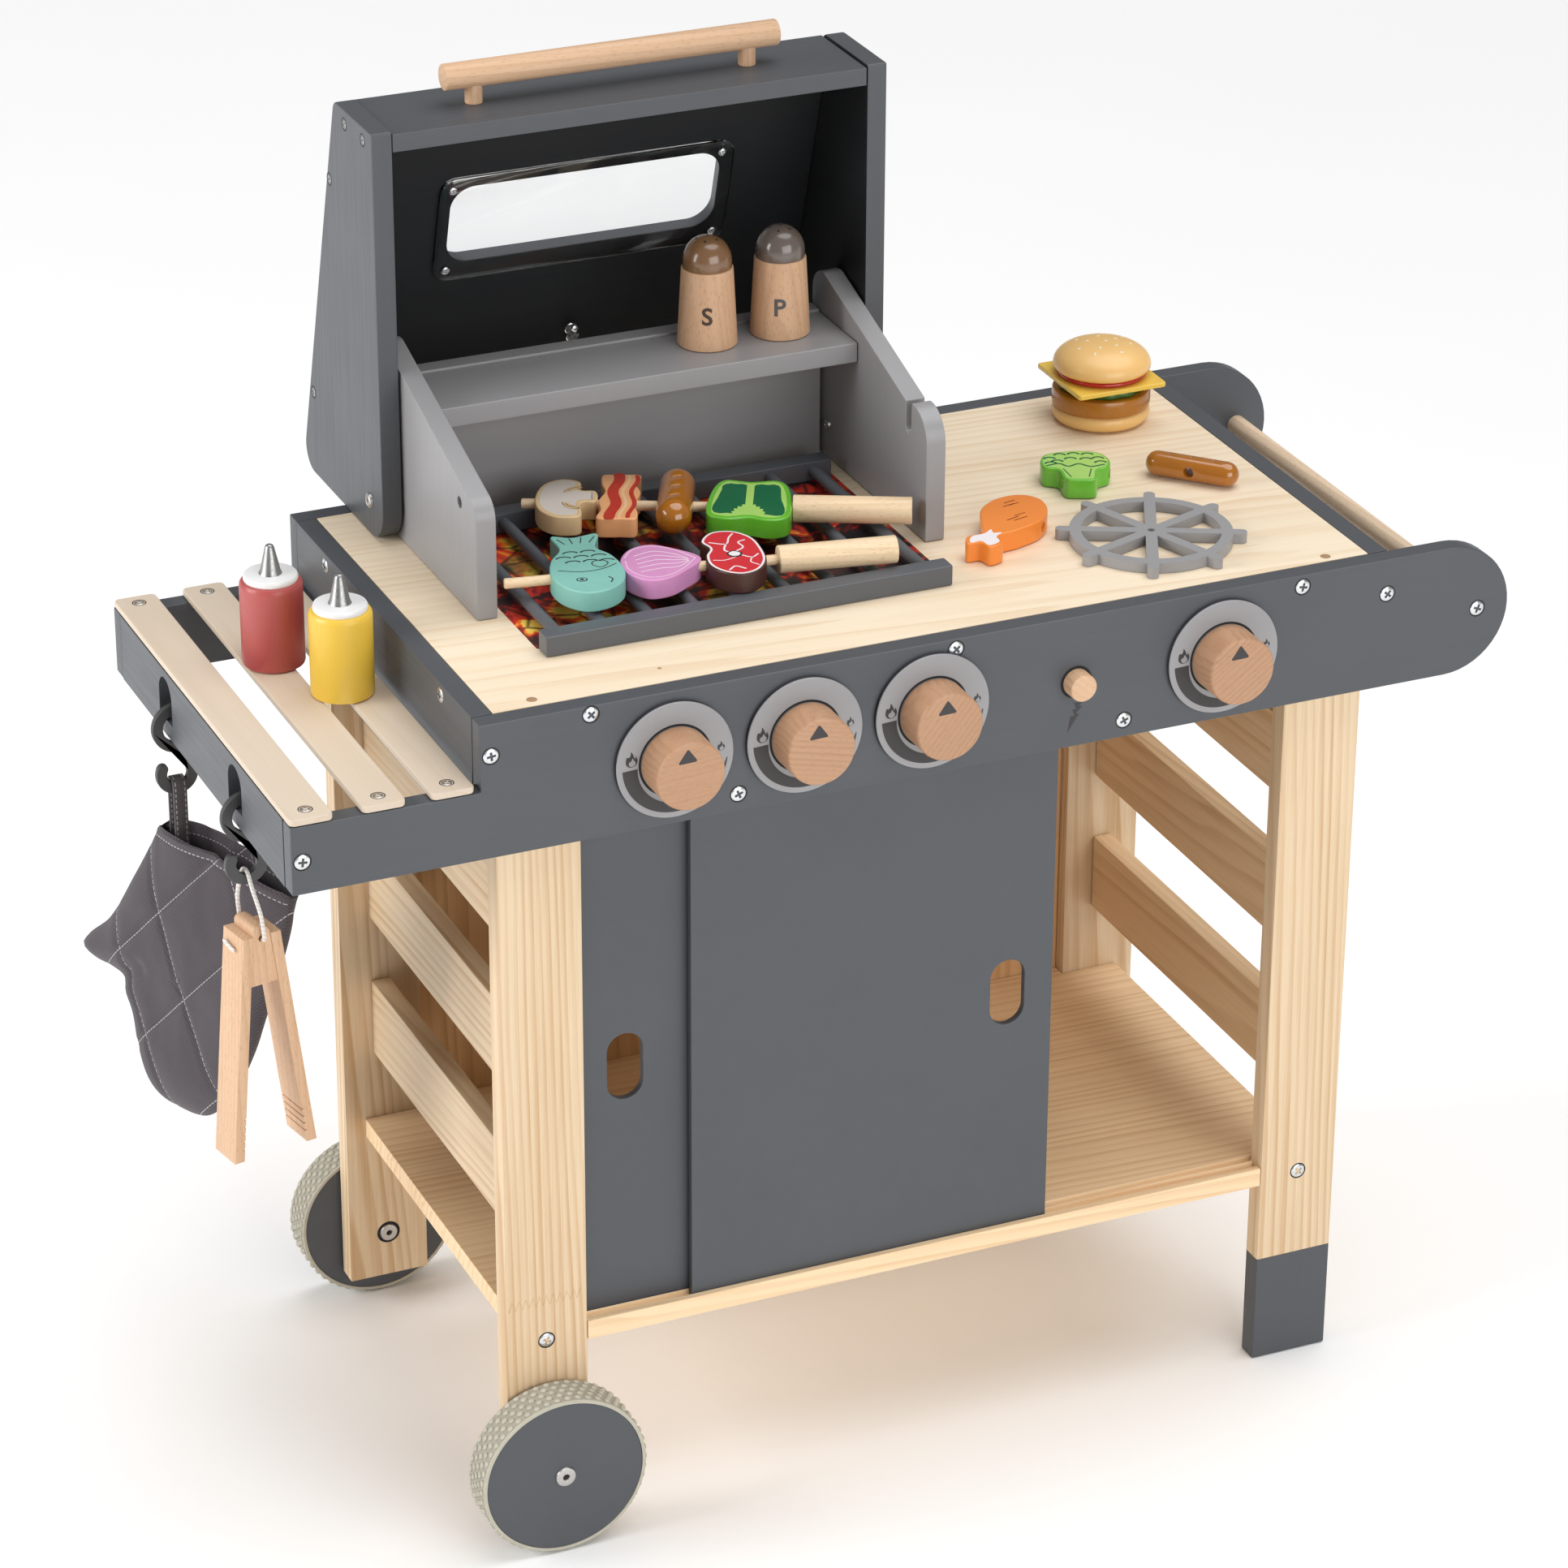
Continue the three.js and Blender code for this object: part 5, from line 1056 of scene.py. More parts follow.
# Knobs: turned beech with a dark pointer let into the face
KNOB_GRAIN = (4, -12, 52, 38)
for number, (x, turn) in enumerate(zip(DIALS, KNOB_GRAIN), 1):
    look = wood(
        f"beech_knob_{number}", "beech", tone(0.50, 0.285, 0.165), tone(0.34, 0.165, 0.08), "x",
        (0, math.radians(turn), 0), (0.12 + 0.02 * number, 0.06), 0.0031, 0.6, fleck=0.3,
    )
    knob = turned([
        (0, 22.7), (17.9, 22.7), (19.0, 22.3), (19.6, 21.5), (19.8, 20.2), (19.8, 0.6), (19.3, 0), (0, 0),
    ], (x, -3.3, DIAL_Z), FRONT, 64)
    body = f"knob_{number}"
    finish(knob, body + "_wood", look, body, body, 30)
    pointer = arc_points([(x - 8.2, DIAL_Z + 8.6, 0.8), (x + 3.7, DIAL_Z + 9.0, 0.8), (x - 2.1, DIAL_Z + 17.2, 0.8)])
    finish(plate(pointer, "xz", -25.9, -26.06), body + "_pointer", ink, body, smooth=0)

# Push button with its collar behind the board
BUTTON_X = 91.5
button = turned([
    (0, 30.3), (6.9, 30.3), (7.7, 29.9), (8.0, 29.2), (8, 8), (10.5, 8), (10.5, 6), (3, 6), (3, 0), (0, 0),
], (BUTTON_X, 20.3, DIAL_Z), FRONT, 48)
finish(button, "igniter_button_wood", beech_y, "igniter_button", "igniter_button", 30)
# A near-black ring round the button: painted shade in the gap between button and board.
hole = turned([(8.0, 0.1), (9.7, 0.1), (9.7, -0.4), (8.0, -0.4)], (BUTTON_X, 0, DIAL_Z), FRONT)
finish(hole, "igniter_hole", hole_shade_paint, "cart")
cup = turned([
    (12.2, 0), (12.2, 17.4), (11.6, 18), (0, 18), (0, 16), (10.8, 16), (10.8, 0),
], (BUTTON_X, 12, DIAL_Z), BACK, 40)
finish(cup, "igniter_cup", dark_smooth, "cart")


def gloss_paint(name, slot, colour, roughness=0.3, coat=0.35, change=0.12):
    """Toy paint with a clear coat."""
    look = Look(name, slot, Roughness=roughness, Coat_Weight=coat, Coat_Roughness=0.12)
    cloudy = look.noise(look.coordinates, 55.0, 3.0)
    fibres = look.noise(look.mapped(look.coordinates, scale=(260, 90, 260)), 1.0, 3.0)
    bright, dull = shade(colour, 1.0 + change), shade(colour, 1.0 - change)
    look.feed("Base Color", look.mix(cloudy * 0.6 + fibres * 0.4, bright, dull))
    look.feed("Roughness", fibres.between(0.2, 0.8, roughness - 0.05, roughness + 0.08))
    look.bump(fibres, 0.12, 0.0003)
    return look


# Sauce bottles: painted wood body, white cap and a metal nozzle
cap_white = gloss_paint("cap_white", None, tone(0.80, 0.80, 0.80), 0.3, 0.3, 0.03)
nozzle_metal = metal_look("nozzle_metal", tone(0.42, 0.42, 0.415), 0.36)
TRAY_REST = 485.6
for name, slot, (x, y), colour in (
    ("ketchup_bottle", "red_paint", (-308.5, 189.0), tone(0.43, 0.078, 0.072)),
    ("mustard_bottle", "yellow_paint", (-286.8, 136.8), tone(0.80, 0.52, 0.055)),
):
    flask = turned([
        (0, 0), (16.2, 0), (17.2, 0.5), (17.6, 1.6), (17.6, 46.4), (17.3, 48.2), (16.4, 49.5), (15.0, 50), (0, 50),
    ], (x, y, TRAY_REST), sides=64)
    finish(flask, name + "_body", gloss_paint(name + "_paint", slot, colour, 0.42, 0.15, 0.05), name, name, 35)
    cap = turned([
        (0, 49.9), (14.9, 49.9), (15.2, 50.6), (15.2, 52.0), (14.6, 53.1), (13.6, 53.5), (0, 53.5),
    ], (x, y, TRAY_REST), sides=56)
    finish(cap, name + "_cap", cap_white, name, smooth=35)
    nozzle = turned([
        (0, 53.3), (6.6, 53.3), (6.1, 54.4), (5.6, 55.5), (2.7, 68.4), (2.2, 69.7), (1.3, 70.4), (0, 70.5),
    ], (x, y, TRAY_REST), sides=36)
    finish(nozzle, name + "_nozzle", nozzle_metal, name, smooth=40)


# Shakers with a painted dome and a letter
SHAKER_FOOT = 607.3
DOME_WIDE, DOME_FOOT, DOME_TALL = 14.15, 49.6, 14.75
LETTER_TURN = math.radians(-113.0)


def letter_on(sign, x, y, height):
    """A letter laid round the shaker's tapered side, facing the camera's side."""
    deselect()
    bpy.ops.object.text_add()
    words = bpy.context.object
    words.data.body = sign
    words.data.align_x, words.data.align_y = "CENTER", "CENTER"
    words.data.size = 0.0142
    words.data.offset = 0.00028
    words.data.resolution_u = 4
    bpy.ops.object.convert(target="MESH")
    piece = bpy.context.object
    edit(
        piece,
        lambda: bpy.ops.mesh.remove_doubles(threshold=1e-6),
        lambda: bpy.ops.mesh.dissolve_limited(angle_limit=0.02),
        lambda: bpy.ops.mesh.quads_convert_to_tris(),
        lambda: bpy.ops.mesh.subdivide(number_cuts=3),
    )
    centre = at(x, y, SHAKER_FOOT)
    middle = sum((corner[0] for corner in piece.bound_box), 0.0) / 8
    for vertex in piece.data.vertices:
        up = height * MM + vertex.co.y
        radius = (17.4 - (17.4 - 14.9) * up / (46 * MM)) * MM + 0.00006
        angle = LETTER_TURN + (vertex.co.x - middle) / radius
        vertex.co = centre + Vector((radius * math.cos(angle), radius * math.sin(angle), up))
    modified(piece, "SOLIDIFY", thickness=0.0001, offset=1.0)
    return piece


for name, sign, (x, y), height, dome_colour, letter_colour, turn in (
    ("salt_shaker", "S", (-22.4, 250.5), 20.8, tone(0.205, 0.105, 0.045), tone(0.06, 0.035, 0.022), 0.10),
    ("pepper_shaker", "P", (22.5, 250.0), 19.6, tone(0.135, 0.105, 0.088), tone(0.085, 0.08, 0.085), -0.25),
):
    look = wood(
        name + "_beech", "beech", tone(0.62, 0.38, 0.225), tone(0.47, 0.26, 0.14), "z", (0, 0, 0), (0.25 + turn, 0.10),
        0.0042, 0.7, fleck=0.45,
    )
    flask = turned([
        (0, 0), (16.9, 0), (17.35, 0.5), (17.3, 1.2), (14.95, 45.2), (14.7, 45.8), (14.2, 46.0), (0, 46.0),
    ], (x, y, SHAKER_FOOT), sides=64)
    finish(flask, name + "_body", look, name, name, 35)
    dome = [(0, 45.8), (14.0, 45.8), (DOME_WIDE, 46.4), (DOME_WIDE, DOME_FOOT)]
    for angle in (math.radians(a) for a in range(6, 90, 6)):
        dome.append((DOME_WIDE * math.cos(angle), DOME_FOOT + DOME_TALL * math.sin(angle)))
    dome.append((0, DOME_FOOT + DOME_TALL))
    dome_paint = gloss_paint(name + "_dome_paint", None, dome_colour, 0.22, 0.6, 0.04)
    finish(turned(dome, (x, y, SHAKER_FOOT), sides=56), name + "_dome", dome_paint, name, smooth=60)
    # Near-black discs on the dome: painted shade for its holes, which are not cut.
    hole_shades = []
    for index in range(6):
        lean = math.radians(26 if index else 0)
        around = math.radians(72 * index + 20)
        out = Vector((math.sin(lean) * math.cos(around), math.sin(lean) * math.sin(around), math.cos(lean)))
        rise = Vector((out.x * DOME_WIDE, out.y * DOME_WIDE, out.z * DOME_TALL))
        hole = turned([(0, 0.1), (0.75, 0.09), (0.9, -0.4), (0, -0.4)], ORIGIN, sides=12)
        hole_shades.append(copy_of(hole, pointing(Vector((x, y, SHAKER_FOOT + DOME_FOOT)) + rise, out)))
        discard(hole)
    finish(joined(*hole_shades), name + "_holes", hole_shade_paint, name, smooth=0)
    letter_ink = paint(name + "_letter_ink", None, letter_colour, None, 0.6, 0.05)
    finish(letter_on(sign, x, y, height), name + "_letter", letter_ink, name, smooth=0)

# Burger of stacked painted layers
BUN_X, BUN_Y = 230.0, 249.0
CROWN_FOOT, CROWN_TALL = 35.2, 13.2
bun_paint = gloss_paint("bun_paint", "bun_paint", tone(0.86, 0.53, 0.19), 0.38, 0.2, 0.06)
patty_paint = gloss_paint("patty_paint", None, tone(0.40, 0.145, 0.006), 0.3, 0.3, 0.08)
tomato_paint = gloss_paint("tomato_paint", None, tone(0.50, 0.022, 0.014), 0.25, 0.4, 0.05)
cheese_paint = gloss_paint("cheese_paint", None, tone(0.84, 0.56, 0.075), 0.4, 0.2, 0.04)
lettuce_paint = gloss_paint("lettuce_paint", None, tone(0.035, 0.12, 0.012), 0.4, 0.2, 0.15)
sesame_paint = gloss_paint("sesame_paint", None, tone(0.86, 0.72, 0.50), 0.4, 0.2, 0.03)


def layer(name, look, profile, node=None):
    return finish(turned(profile, (BUN_X, BUN_Y, REST), sides=72), name, look, "burger", node, 50)


layer("burger_bottom_bun", bun_paint, [
    (0, 0), (23.5, 0), (26.6, 1.0), (28.6, 3.4), (29.2, 6.0), (28.4, 8.6), (26.8, 9.9), (0, 9.9),
], "burger")
layer("burger_patty", patty_paint, [
    (0, 10), (27.6, 10), (28.9, 10.8), (29.2, 12), (29.2, 18.8), (28.6, 20.2), (27.2, 20.6), (0, 20.6),
])
lettuce = turned([
    (0, 20.7), (25.4, 20.7), (26.4, 21.8), (26.5, 23.4), (25.6, 24.6), (0, 24.6),
], (BUN_X, BUN_Y, REST), sides=72)
bun_middle = at(BUN_X, BUN_Y, REST)
for vertex in lettuce.data.vertices:
    spot = vertex.co - bun_middle
    if math.hypot(spot.x, spot.y) > 0.02:
        wave = 1 + 0.022 * math.sin(13 * math.atan2(spot.y, spot.x)) - 0.03
        vertex.co.x, vertex.co.y = bun_middle.x + spot.x * wave, bun_middle.y + spot.y * wave
finish(lettuce, "burger_lettuce", lettuce_paint, "burger", smooth=50)
slice_corners = box_corners(BUN_X - 28.5, BUN_X + 28.5, BUN_Y - 28.5, BUN_Y + 28.5, 2)
board("burger_cheese", cheese_paint, "burger", slice_corners, "xy", REST + 25.2, REST + 28.4, edge=0.8)
layer("burger_tomato", tomato_paint, [
    (0, 28.4), (24.6, 28.4), (25.8, 29.0), (26.2, 30.0), (25.8, 31.0), (24.6, 31.6), (0, 31.6),
])
crown = [(0, 31.6), (25.2, 31.6), (27.4, 32.3), (28.8, 34.0)]
for angle in (math.radians(6 * i) for i in range(15)):
    crown.append((29.0 * math.cos(angle) ** 0.86, CROWN_FOOT + CROWN_TALL * math.sin(angle)))
layer("burger_top_bun", bun_paint, crown + [(0, CROWN_FOOT + CROWN_TALL)])


def sesame():
    dice = random.Random(4)
    seeds = []
    deselect()
    bpy.ops.mesh.primitive_uv_sphere_add(segments=12, ring_count=8, radius=MM)
    seed = bpy.context.object
    for index in range(13):
        reach = 2.0 if index == 0 else (9.5 if index < 6 else 16.5)
        around = math.radians(index * 72 + 10 if index < 6 else (index - 6) * 51.4 + 25) + dice.uniform(-0.15, 0.15)
        sine = reach / 29.0
        height = CROWN_FOOT + CROWN_TALL * math.sqrt(max(0.0, 1 - sine ** 2.3))
        lean = Vector((math.cos(around) * sine * 0.7, math.sin(around) * sine * 0.7, 1)).normalized()
        spot = (BUN_X + reach * math.cos(around), BUN_Y + reach * math.sin(around), REST + height - 0.15)
        turn = lean.to_track_quat("Z", "Y").to_matrix().to_4x4() @ Matrix.Rotation(dice.uniform(0, math.pi), 4, "Z")
        size = Matrix.Diagonal((1.5, 0.95, 0.45, 1))
        seeds.append(copy_of(seed, Matrix.Translation(at(*spot)) @ turn @ size))
    discard(seed)
    finish(joined(*seeds), "burger_sesame", sesame_paint, "burger", smooth=60)


sesame()


# Toy food sawn from boards: an outline, soft edges and a print on top
FOOD_THICK = 12.0
GRATE_REST, GRIP = 532.6, 7.75


class Food:
    """A flat piece of toy food: where it lies, and its own outline in shares of a length and a width."""

    def __init__(self, name, body, foot, place, angle, size, shares, middle=(0, 0)):
        self.name, self.body, self.foot, self.place = name, body, foot, Vector(place)
        self.turn = Matrix.Rotation(math.radians(angle), 2)
        self.size, self.middle = size, Vector(middle)
        self.outline = smooth_loop([Vector((u * size[0], v * size[1])) for u, v in shares], 6)

    def lay(self, points):
        return [self.place + self.turn @ (Vector(point) + self.middle) for point in points]

    def solid(self, look, node=None, hole=None):
        piece = softened(plate(self.lay(self.outline), "xy", self.foot, self.foot + FOOD_THICK), 1.0, 3, 50)
        if hole:
            x, y = hole
            bored(piece, (x + 9, y - 8, self.foot + FOOD_THICK / 2), (x - 6, y + 5.3, self.foot + FOOD_THICK / 2))
        return finish(piece, self.name, look, self.body, node, 50, True)

    def inset(self, depth):
        """The outline moved inward."""
        count = len(self.outline)
        points = []
        for i, point in enumerate(self.outline):
            along = (self.outline[(i + 1) % count] - self.outline[i - 1]).normalized()
            points.append(point + Vector((-along.y, along.x)) * depth * self.hand())
        return points

    def hand(self):
        area = sum(a.x * b.y - b.x * a.y for a, b in zip(self.outline, self.outline[1:] + self.outline[:1]))
        return 1 if area > 0 else -1

    def printed(self, suffix, look, shapes, proud=0.1):
        top = self.foot + FOOD_THICK
        films = [plate(self.lay(shape), "xy", top - 0.2, top + proud) for shape in shapes]
        return finish(joined(*films), f"{self.name}_{suffix}", look, self.body, smooth=0)

    def spots(self, shares):
        return [Vector((u * self.size[0], v * self.size[1])) for u, v in shares]

    def blob(self, shares):
        return smooth_loop(self.spots(shares), 5)

    def lines(self, *strokes):
        """Drawn lines, each a width and then the places that it runs through."""
        return [band(smooth_loop(self.spots(shares), 5, closed=False), width) for width, *shares in strokes]

    def bows(self, shares, wide, deep, width):
        """Little bows, such as fish scales, at places in shares."""
        angles = [math.radians(15 * i) for i in range(1, 12)]
        bow = [Vector((wide * math.cos(a), deep * math.sin(a))) for a in angles]
        return [band([spot + step for step in bow], width) for spot in self.spots(shares)]


cream = gloss_paint("cream_paint", None, tone(0.77, 0.55, 0.30), 0.45, 0.1)
pale_grey = gloss_paint("pale_grey_paint", None, tone(0.74, 0.67, 0.60), 0.45, 0.1, 0.05)
brown_line = paint("brown_line", None, tone(0.16, 0.09, 0.03), None, 0.5, 0.05)
peach = gloss_paint("peach_paint", None, tone(0.92, 0.45, 0.20), 0.42, 0.15)
bacon_red = gloss_paint("bacon_red_paint", None, tone(0.56, 0.035, 0.016), 0.5, 0.05)
bright_green = gloss_paint("bright_green_paint", "green_paint", tone(0.135, 0.50, 0.03), 0.26, 0.4, 0.06)
light_green = gloss_paint("light_green_paint", None, tone(0.40, 0.68, 0.15), 0.35, 0.3)
deep_green = gloss_paint("deep_green_paint", None, tone(0.0, 0.125, 0.045), 0.42, 0.1)
teal = gloss_paint("teal_paint", None, tone(0.225, 0.52, 0.45), 0.48, 0.1)
black_line = paint("black_line", None, tone(0.008, 0.016, 0.016), None, 0.5, 0.05)
lilac = gloss_paint("lilac_paint", None, tone(0.66, 0.285, 0.54), 0.42, 0.15)
white_line = gloss_paint("white_print", None, tone(0.86, 0.80, 0.82), 0.45, 0.1, 0.03)
soft_line = gloss_paint("lilac_line", None, tone(0.80, 0.52, 0.72), 0.45, 0.1, 0.03)
steak_red = gloss_paint("steak_red_paint", None, tone(0.62, 0.018, 0.03), 0.45, 0.1, 0.08)
steak_brown = gloss_paint("steak_brown_paint", None, tone(0.055, 0.015, 0.009), 0.45, 0.1)
orange = gloss_paint("orange_paint", "orange_paint", tone(0.86, 0.25, 0.03), 0.36, 0.25, 0.05)
banger = gloss_paint("banger_paint", "brown_paint", tone(0.40, 0.135, 0.006), 0.14, 0.8, 0.10)
stick_wood = wood(
    "beech_sticks", "beech", tone(0.84, 0.65, 0.42), tone(0.68, 0.46, 0.27), "x", (0, 0, math.radians(18)),
    (0.3, 0.05), 0.004, 0.6, fleck=0.4,
)


def bored(piece, start, end):
    """A hole for a skewer's stick."""
    return cut(piece, rod(start, end, 3.1, 20))


def banger_between(start, end, radius, name, body, node=None, hole=False):
    """A sausage with round ends and three shallow nicks."""
    a, b = Vector(start), Vector(end)
    length = (b - a).length
    quarter = [math.radians(9 * i) for i in range(11)]
    profile = [(radius * math.sin(t), -radius * math.cos(t)) for t in quarter]
    profile += [(radius * math.sin(t), length - radius * math.cos(t)) for t in (math.pi / 2 + t for t in quarter)]
    profile[0], profile[-1] = (0, -radius), (0, length + radius)
    piece = turned(profile, start, (b - a).normalized(), 48)
    across = Vector((b.y - a.y, a.x - b.x, 0)).normalized()
    for share in (0.18, 0.5, 0.82):
        spot = a + (b - a) * share
        tilt = Matrix.Rotation(math.radians(24), 3, "Z") @ across
        top = Vector((0, 0, radius + 0.35))
        cut(piece, rod(spot + top - tilt * 0.42 * radius, spot + top + tilt * 0.42 * radius, 0.95, 12))
    if hole:
        middle = (a + b) / 2
        bored(piece, middle - across * (radius + 3), middle + across * (radius + 3))
    softened(piece, 0.25, 2, 40)
    return finish(piece, name, banger, body, node, 40)


class Skewer:
    """A stick with a grip, lying on the grate's bars at an angle."""

    def __init__(self, name, tip, angle):
        self.name, self.tip, self.angle = name, Vector(tip), angle
        self.turn = Matrix.Rotation(math.radians(angle), 2)

    def spot(self, along, aside, height):
        flat = self.tip + self.turn @ Vector((along, aside))
        return (flat.x, flat.y, GRATE_REST + height)

    def wood(self):
        for part, start, end, radius, sides, edge, node in (
            ("_stick", 0, 156, 2.9, 24, 0.8, self.name), ("_grip", 153, 220, GRIP, 48, 0.7, None),
        ):
            piece = softened(rod(self.spot(start, 0, GRIP), self.spot(end, 0, GRIP), radius, sides), edge, 3)
            finish(piece, self.name + part, stick_wood, self.name, node)

    def food(self, name, middle, size, shares):
        return Food(name, self.name, GRATE_REST, self.tip, self.angle, size, shares, middle)


upper = Skewer("upper_skewer", (-149, 220.8), -25.8)
upper.wood()
lower = Skewer("lower_skewer", (-197.4, 122.2), -10.9)
lower.wood()

mushroom = upper.food("mushroom", (25, 0), (34, 54), [
    (-0.5, 0.02), (-0.38, 0.36), (-0.08, 0.49), (0.2, 0.42), (0.24, 0.21), (0.48, 0.19),
    (0.5, -0.08), (0.28, -0.1), (0.29, -0.46), (-0.1, -0.5), (-0.4, -0.32),
])
mushroom.solid(cream)
mushroom.printed("cut_face", pale_grey, [mushroom.inset(2.6)])
GILL = [(-0.04, 0.13), (0.03, 0.24), (0.16, 0.30), (0.27, 0.27), (0.16, 0.21), (0.06, 0.15)]
for name, side in (("upper", 1), ("lower", -1)):
    outline = [(u, v * side - 0.005) for u, v in GILL]
    mushroom.printed(name + "_gill_edge", brown_line, [mushroom.blob(outline)], 0.16)
    inner = [(u * 0.86 + 0.012, v * 0.94 + 0.012 * side) for u, v in outline]
    mushroom.printed(name + "_gill", cream, [mushroom.blob(inner)], 0.2)
    stroke = (0.6, (0.02, 0.17 * side), (0.10, 0.235 * side), (0.2, 0.265 * side))
    mushroom.printed(name + "_gill_line", brown_line, mushroom.lines(stroke), 0.24)

bacon = upper.food("bacon", (55.4, 3), (23, 62), [
    (-0.48, 0.49), (-0.1, 0.5), (0.44, 0.5), (0.36, 0.3), (0.5, 0.1), (0.38, -0.15), (0.5, -0.35),
    (0.46, -0.49), (0.1, -0.5), (-0.48, -0.49), (-0.42, -0.3), (-0.5, -0.1), (-0.38, 0.12), (-0.5, 0.3),
])
bacon.solid(peach)
WAVE = [(0.06 * math.sin(2 * math.pi * (i / 12) * 1.7 + 0.6), 0.475 - 0.95 * i / 12) for i in range(13)]
bacon.printed("lean", bacon_red, bacon.lines(
    (6.4, *[(u - 0.12, v) for u, v in WAVE]), (2.6, *[(u + 0.33, v * 0.985) for u, v in WAVE]),
))
light_peach = gloss_paint("light_peach_paint", None, tone(0.93, 0.60, 0.33), 0.42, 0.15)
bacon.printed("fat", light_peach, bacon.lines((1.7, *[(u + 0.12, v) for u, v in WAVE])))

SKEWER_BANGER = 10.3
banger_between(
    upper.spot(87, 1 - 20.75, SKEWER_BANGER), upper.spot(87, 1 + 20.75, SKEWER_BANGER), SKEWER_BANGER, "skewer_banger",
    "upper_skewer",
)

pepper = upper.food("pepper_slice", (128.6, 1), (48, 57), [
    (-0.3, 0.5), (0, 0.46), (0.3, 0.5), (0.42, 0.4), (0.5, -0.25), (0.44, -0.42), (0.25, -0.48),
    (0, -0.42), (-0.25, -0.46), (-0.46, -0.38), (-0.5, -0.2), (-0.4, 0.4),
])
pepper.solid(bright_green)
pepper.printed("flesh", light_green, [pepper.inset(3.0)])
LEFT_CELL = [
    (-0.045, 0.365), (-0.10, 0.39), (-0.17, 0.385), (-0.24, 0.40), (-0.30, 0.38), (-0.335, 0.33), (-0.335, 0.24),
    (-0.355, 0.15), (-0.37, 0.05), (-0.395, -0.05), (-0.42, -0.15), (-0.43, -0.24), (-0.40, -0.32), (-0.33, -0.345),
    (-0.24, -0.33), (-0.185, -0.345), (-0.20, -0.29), (-0.165, -0.28), (-0.175, -0.22), (-0.13, -0.22), (-0.13, -0.16),
    (-0.085, -0.17), (-0.075, -0.11), (-0.045, -0.12),
]
RIGHT_CELL = [
    (0.045, -0.12), (0.075, -0.11), (0.085, -0.17), (0.13, -0.16), (0.13, -0.22), (0.175, -0.22), (0.165, -0.28),
    (0.20, -0.29), (0.185, -0.345), (0.25, -0.365), (0.33, -0.385), (0.40, -0.37), (0.425, -0.30), (0.42, -0.2),
    (0.40, -0.10), (0.375, 0.0), (0.365, 0.1), (0.36, 0.2), (0.355, 0.29), (0.33, 0.36), (0.27, 0.39), (0.2, 0.375),
    (0.13, 0.39), (0.07, 0.375), (0.045, 0.35),
]
pepper.printed("cells", deep_green, [pepper.spots(LEFT_CELL), pepper.spots(RIGHT_CELL)], 0.16)

fish = lower.food("fish", (46, 9), (41, 78), [
    (-0.27, 0.5), (0, 0.45), (0.36, 0.49), (0.26, 0.26), (0.42, 0.1), (0.5, -0.15), (0.4, -0.36),
    (0.15, -0.48), (-0.15, -0.5), (-0.4, -0.37), (-0.5, -0.16), (-0.42, 0.08), (-0.24, 0.26),
])
fish.solid(teal)
SCALES = [
    (-0.12, 0.17), (0.12, 0.17), (-0.24, 0.09), (0.0, 0.09), (0.24, 0.09), (-0.14, 0.01), (0.1, 0.01), (0.32, 0.0),
]
EYE = (-0.12 * 43, -0.27 * 81)
fish_lines = fish.bows(SCALES, 4.0, 2.6, 1.0) + fish.lines(
    *[(0.6, (u, 0.34), (u * 1.5, 0.43)) for u in (-0.14, -0.03, 0.08, 0.2)],
    (0.6, (-0.38, -0.10), (-0.1, -0.15), (0.2, -0.13), (0.42, -0.06)),
    (0.7, (0.24, -0.36), (0.28, -0.31), (0.24, -0.27)),
    (0.6, (0.10, -0.05), (0.20, -0.10), (0.32, -0.03), (0.24, 0.02), (0.12, 0.0), (0.10, -0.05)),
)
fish.printed("lines", black_line, fish_lines + [oval(*EYE, 3.1, 2.6, 24)])
fish.printed("eye", teal, [oval(*EYE, 2.4, 1.9, 24)], 0.15)
fish.printed("pupil", black_line, [circle(*EYE, 1.2, 20)], 0.2)

onion = lower.food("onion", (88, 2), (45, 48), [
    (-0.46, 0.2), (-0.3, 0.42), (-0.05, 0.5), (0.2, 0.36), (0.5, 0.02), (0.25, -0.28), (0, -0.46),
    (-0.25, -0.48), (-0.44, -0.28), (-0.5, -0.04),
])
onion.solid(lilac)
onion.printed("rim", soft_line, onion.lines(
    (1.0, (-0.42, 0.18), (-0.28, 0.38), (-0.05, 0.44), (0.18, 0.32), (0.42, 0.02)),
    (0.8, (-0.43, 0.08), (-0.44, -0.1), (-0.38, -0.27), (-0.22, -0.41), (0.0, -0.4), (0.22, -0.24), (0.42, 0.0)),
))
onion.printed("layers", white_line, onion.lines(*[
    (0.45, (-0.3, 0.2 - 0.11 * i), (-0.05, 0.29 - 0.12 * i), (0.18, 0.18 - 0.09 * i), (0.33, 0.02 - 0.02 * i))
    for i in range(5)
]))

